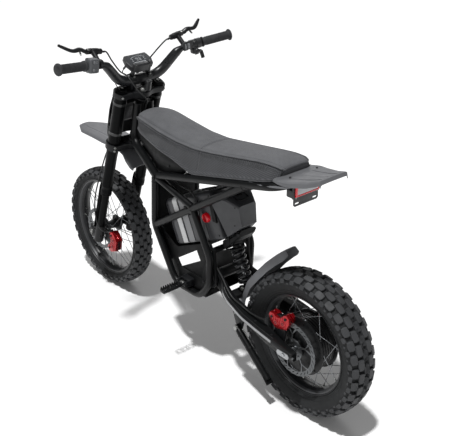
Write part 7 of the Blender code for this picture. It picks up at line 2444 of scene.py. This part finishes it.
class RightControls:
    """The thumb throttle with its paddle and the two-key pad inboard of it."""

    def build(self) -> None:
        """Builds the throttle's body and paddle and the pad with its keys."""
        along = BAR_AXIS[-1]
        turn = axes(Vector(), FORWARD, -along)
        base = on_bar(-1, 0.2255, -0.012, -0.020)
        hinge = base + Vector((-0.004, 0, -0.006))
        shape = Shape()
        shape.lathe(collar(BAR_BORE, 0.0185, 0.0130, 0.0013, 0.0014), bar_point(-1, 0.2255), along, 44)
        shape.lathe(collar(BAR_BORE, 0.0195, 0.0105, 0.0011), bar_point(-1, 0.2485), along, 44)
        shape.box((0.0275, 0.0250, 0.0255), base, turn, 0.0065, 4)
        shape.lathe([(0.0085, 0.0062), (0.0106, 0.0062), (0.0116, 0.0050), (0.0116, -0.0060),
                     (0.0085, -0.0060)], hinge + along * 0.0060, along, 36)
        shape.box((0.018, 0.012, 0.012), on_bar(-1, 0.2100, -0.0190, 0.000), turn, 0.002)
        shape.box((0.0098, 0.0455, 0.0315), on_bar(-1, 0.1880, -0.0268, 0.010), turn, 0.0040, 4)
        shape.piece("throttle_housing", SHELL_BLACK, Body.FORK_UPPER, replaces=["throttle_body"])
        screws = Shape()
        screws.bolt(base + Vector((-0.0138, 0, 0.0060)), -FORWARD, 0.0022, 0.0010)
        screws.bolt(bar_point(-1, 0.2255) + Vector((-0.0130, 0, 0.0125)), Vector((-0.7, 0, 0.7)), 0.0026,
                    0.0016)
        screws.piece("throttle_screws", ZINC, Body.FORK_UPPER)
        paddle = Shape()
        paddle.lathe([(0, 0.0060), (0.0072, 0.0060), (0.0081, 0.0052), (0.0081, -0.0060), (0, -0.0060)],
                     hinge + along * 0.0128, along, 36)
        tilt = turn @ Matrix.Rotation(math.radians(20), 4, "Y")
        paddle.box((0.0062, 0.0165, 0.0310), hinge + along * 0.0265 + Vector((-0.006, 0, -0.014)), tilt,
                   0.0030, 4)
        paddle.box((0.012, 0.014, 0.010), hinge + along * 0.0215, turn, 0.0035, 4)
        for k in range(4):
            paddle.box((0.0010, 0.0120, 0.0012), hinge + along * 0.0265
                       + Vector((-0.0105 - 0.0013 * k, 0, -0.0090 - 0.0042 * k)), tilt, 0.0004)
        paddle.piece("throttle_paddle", GLOSS_BLACK, Body.THROTTLE, replaces=["throttle_lever"])
        keys = on_bar(-1, 0.1830, -0.0318, 0.010)

        def spot(a: float, b: float, c: float) -> Vector:
            return keys + turn @ Vector((a, b, c))

        pad = Shape()
        pad.box((0.0058, 0.0066, 0.0196), spot(-0.0008, 0.0090, 0.0), turn, 0.0016)
        pad.piece("power_button", BUTTON_GREY, Body.POWER_PAD, replaces=["power_key"])
        rocker = Shape()
        rocker.box((0.0054, 0.0112, 0.0196), spot(-0.0012, -0.0060, 0.0), turn, 0.0018)
        rocker.piece("mode_button", BUTTON_GREY, Body.MODE_PAD, replaces=["mode_rocker"])
        power = Shape()
        power.lathe([(0.0014, -0.0003), (0.0020, -0.0003), (0.0020, 0.0003), (0.0014, 0.0003)],
                    spot(-0.0038, 0.0090, -0.0002), FORWARD, 24)
        power.box((0.0006, 0.0005, 0.0016), spot(-0.0039, 0.0090, 0.0020), turn, 0.0001)
        power.piece("power_icon", SCREEN_MARK, Body.POWER_PAD)
        mode = Shape()
        for c in (0.0055, -0.0055):
            mode.box((0.0006, 0.0032, 0.0006), spot(-0.0040, -0.0060, c), turn, 0.0001)
        mode.box((0.0006, 0.0006, 0.0032), spot(-0.0040, -0.0060, 0.0055), turn, 0.0001)
        mode.piece("mode_icon", SCREEN_MARK, Body.MODE_PAD)


class Display:
    """The small six-sided display on its two legs, with its lead."""

    def build(self) -> None:
        """Builds shell, glass, marks, legs and the ribbed lead boot."""
        turn = Matrix.Rotation(math.radians(-30), 4, "Y")
        middle = at(0.930, 0, 1.050)
        place = Matrix.Translation(middle) @ turn
        hexagon = rounded(0.0250, 0.0440, 0.0070,
                          more=[(-0.002, 0.0510, 0.0070), (-0.002, -0.0510, 0.0070)])
        shape = Shape()
        shape.plate(hexagon, 0.0215, place, bevel=0.0045, segments=4)
        foot = at(BAR_MID_X, 0, BAR_MID_Z) + FORK_UP * 0.0193
        lean = Matrix.Rotation(-RAKE, 4, "Y")
        for s in (1, -1):
            shape.box((0.016, 0.010, 0.050), foot + SIDE * (s * RISER_Y) + FORK_UP * 0.0252, lean, 0.0022)
        shape.box((0.022, 0.064, 0.034), foot + FORK_UP * 0.0300, lean, 0.0060)
        shape.lathe([(0, 0.0420), (0.0105, 0.0420), (0.0128, 0.0400), (0.0128, 0.0), (0, 0.0)],
                    at(0.888, -0.008, 0.950), FORK_UP, 40)
        shape.piece("display_shell", SHELL_BLACK, Body.FORK_UPPER, replaces=["display"])
        glass = Shape()
        inner = rounded(0.0215, 0.0395, 0.0050,
                        more=[(-0.002, 0.0465, 0.0050), (-0.002, -0.0465, 0.0050)])
        glass.plate(inner, 0.0012, place @ Matrix.Translation((0, 0, 0.01055)), bevel=0.0004)
        glass.piece("display_glass", SCREEN, Body.FORK_UPPER)
        marks = Shape()

        def mark(x: float, y: float, wide: float, deep: float) -> None:
            marks.box((wide, deep, 0.0004), place @ Vector((x, y, 0.0114)), turn, 0.0001)

        for digit, y in ((0, 0.0065), (1, -0.0065)):
            for x in (-0.0040, 0.0030, 0.0100):
                mark(x, y, 0.0010, 0.0064)
            for x in (-0.0004, 0.0066):
                mark(x, y - 0.0036, 0.0060, 0.0010)
            mark(-0.0004 if digit else 0.0066, y + 0.0036, 0.0060, 0.0010)
        for k in range(8):
            mark(-0.0125, 0.0231 - 0.0066 * k, 0.0026, 0.0050)
        for k in range(15):
            swing = math.radians(-63 + 9 * k)
            mark(0.0010 + 0.0175 * math.cos(swing), 0.0330 * math.sin(swing), 0.0034, 0.0012)
        for y in (0.0265, -0.0265):
            mark(0.0040, y, 0.0050, 0.0016)
            mark(-0.0040, y, 0.0016, 0.0060)
        marks.piece("display_marks", SCREEN_MARK, Body.FORK_UPPER)
        boot = Shape()
        start = middle + turn @ Vector((0.004, 0.0350, -0.0085))
        route = [start, start + Vector((0.004, 0.012, -0.006)), start + Vector((0.010, 0.020, -0.018)),
                 start + Vector((0.014, 0.021, -0.034)), on_fork(0.975, 0.030, 0.040),
                 on_fork(0.935, 0.022, 0.036)]
        run = smooth_run(route, 10)
        boot.tube(run, 0.0021, 12)
        for k in range(9):
            centre = run[2 + k * 2]
            heading = (run[3 + k * 2] - run[1 + k * 2]).normalized()
            boot.lathe([(0.0016, -0.0012), (0.0042, -0.0009), (0.0042, 0.0009), (0.0016, 0.0012)], centre,
                       heading, 20)
        boot.piece("display_lead", HOSE, Body.FORK_UPPER)


class Hoses:
    """The two brake hoses and the controls' thin leads."""

    HOSE_R = 0.0029
    CRIMP_R = 0.0040
    LEAD_R = 0.0019

    def front_run(self) -> list[Vector]:
        """The front hose's route, as the frame has it."""
        return [at(0.9300, -0.1555, 1.1155), at(0.9340, -0.130, 1.105), at(0.955, -0.085, 1.055),
                at(0.972, -0.035, 1.000), on_fork(0.955, 0.020, 0.037), on_fork(0.925, 0.048, 0.0370),
                on_fork(0.850, 0.0545, 0.0365), on_fork(0.760, 0.0570, 0.0365),
                on_fork(0.700, 0.0640, 0.0370), on_fork(0.640, 0.0800, 0.0420),
                on_fork(0.540, 0.0950, 0.0420), on_fork(0.440, 0.1120, 0.0300),
                on_fork(0.360, 0.1150, 0.0020), on_fork(0.318, 0.1050, -0.0260),
                on_fork(0.302, 0.0800, -0.0420), at(1.0920, 0.0640, 0.2960)]

    def rear_run(self) -> list[Vector]:
        """The rear hose's upper route, from the left lever to the swingarm's pivot."""
        return [at(0.9300, 0.1555, 1.1155), at(0.9360, 0.132, 1.107), at(0.952, 0.100, 1.065),
                at(0.945, 0.072, 1.022), at(0.915, 0.064, 1.012), at(0.884, 0.058, 0.985),
                at(0.873, 0.040, 0.955), at(0.871, 0.015, 0.925), at(0.884, 0.0, 0.901),
                at(0.898, 0.0, 0.868), at(0.899, 0.0, 0.820), at(0.892, 0.003, 0.776),
                at(0.865, 0.015, 0.752), at(0.830, 0.030, 0.742), at(0.760, 0.057, 0.722),
                at(0.700, 0.0700, 0.699), at(0.600, 0.0800, 0.678), at(0.520, 0.0800, 0.672),
                at(0.482, 0.0805, 0.630), at(0.472, 0.0810, 0.570), at(0.456, 0.0810, 0.512)]

    def lower_run(self) -> list[Vector]:
        """The rear hose's lower route, along the swingarm to the caliper."""
        return [at(0.4545, 0.0810, 0.5080), at(0.440, 0.0790, 0.5060), at(0.4275, 0.0750, 0.4965),
                at(0.4240, 0.0732, 0.474), at(0.414, 0.0732, 0.440), at(0.385, 0.0740, 0.412),
                at(0.352, 0.0770, 0.386), at(0.325, 0.0830, 0.365), at(0.290, 0.0880, 0.344),
                at(0.240, 0.0895, 0.334), at(0.190, 0.0895, 0.326), at(0.130, 0.0890, 0.330),
                at(0.1120, 0.0830, 0.3430), at(0.1045, 0.0775, 0.3530)]

    def build(self) -> None:
        """Builds the three hoses, their crimped ends and the leads along the bar."""
        front = Shape()
        front.tube(smooth_run(self.front_run(), 14), self.HOSE_R, 14)
        made = front.piece("front_hose", HOSE, None, replaces=["front_brake_hose"])
        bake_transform(made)
        rear = Shape()
        rear.tube(smooth_run(self.rear_run(), 14), self.HOSE_R, 14)
        made = rear.piece("rear_hose_upper", HOSE, None, replaces=["rear_brake_hose"])
        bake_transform(made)
        lower = Shape()
        lower.tube(smooth_run(self.lower_run(), 14), self.HOSE_R, 14)
        made = lower.piece("rear_hose_arm", HOSE, None, replaces=["rear_hose_lower"])
        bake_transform(made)
        ends = Shape()
        for start, after in (self.front_run()[:2], self.rear_run()[:2]):
            way = (after - start).normalized()
            ends.rod(start - way * 0.002, start + way * 0.012, self.CRIMP_R, sides=20)
        ends.piece("hose_collars_bar", BLACK_BOLT, Body.FORK_UPPER)
        for run, body, name in ((self.front_run(), Body.FORK_LOWER, "front"),
                                (self.lower_run(), Body.SWINGARM, "rear")):
            way = (run[-1] - run[-2]).normalized()
            banjo = Shape()
            banjo.rod(run[-1] - way * 0.012, run[-1] + way * 0.0015, self.CRIMP_R, sides=20)
            banjo.rod(run[-1] - SIDE * 0.0045, run[-1] + SIDE * 0.0045, 0.0058, sides=20)
            banjo.piece(f"hose_banjo_{name}", BLACK_BOLT, body)
        leads = Shape()
        for s, start_y in ((1, 0.205), (-1, 0.165)):
            points = [bar_point(s, start_y) + Vector((0.004, 0, -0.0125)),
                      bar_point(s, BAR_IN[1]) + Vector((0.006, 0, -0.0150)),
                      at(0.915, s * 0.124, 1.008), at(0.938, s * 0.092, 0.968),
                      at(0.950, s * 0.055, 0.960), on_fork(0.920, s * 0.040, 0.036)]
            leads.tube(smooth_run(points, 12), self.LEAD_R, 10)
            along = at(BAR_MID_X, s * BAR_BEND[1], BAR_MID_Z) - at(0.910, s * 0.130, 1.030)
            leads.lathe([(0.0127, -0.0016), (0.0150, -0.0016), (0.0150, 0.0016), (0.0127, 0.0016)],
                        at(0.9085, s * 0.1310, 1.0352), along.normalized(), 32)
        leads.piece("control_leads", HOSE, Body.FORK_UPPER)


class Cockpit:
    """Everything on the bar, and the hoses that leave it."""

    def build(self) -> None:
        """Builds bar, levers, switches, throttle, display and hoses."""
        for part in (Handlebar(), Lever(1), Lever(-1), LeftSwitches(), RightControls(), Display(), Hoses()):
            part.build()


def main() -> None:
    """Builds the camera and the studio, then every sub-assembly."""
    logging.basicConfig(level=logging.INFO, format="%(name)s: %(message)s")
    Viewpoint().build()
    Studio().build()
    for assembly in (RearWheel(REAR), FrontWheel(FRONT), TubeFrame(), Belly(), Battery(), Controller(),
                     Seat(), Covers(), RearEnd(), Fork(), Mask(), FrontFender(), Cockpit()):
        assembly.build()


if __name__ == "__main__":
    main()
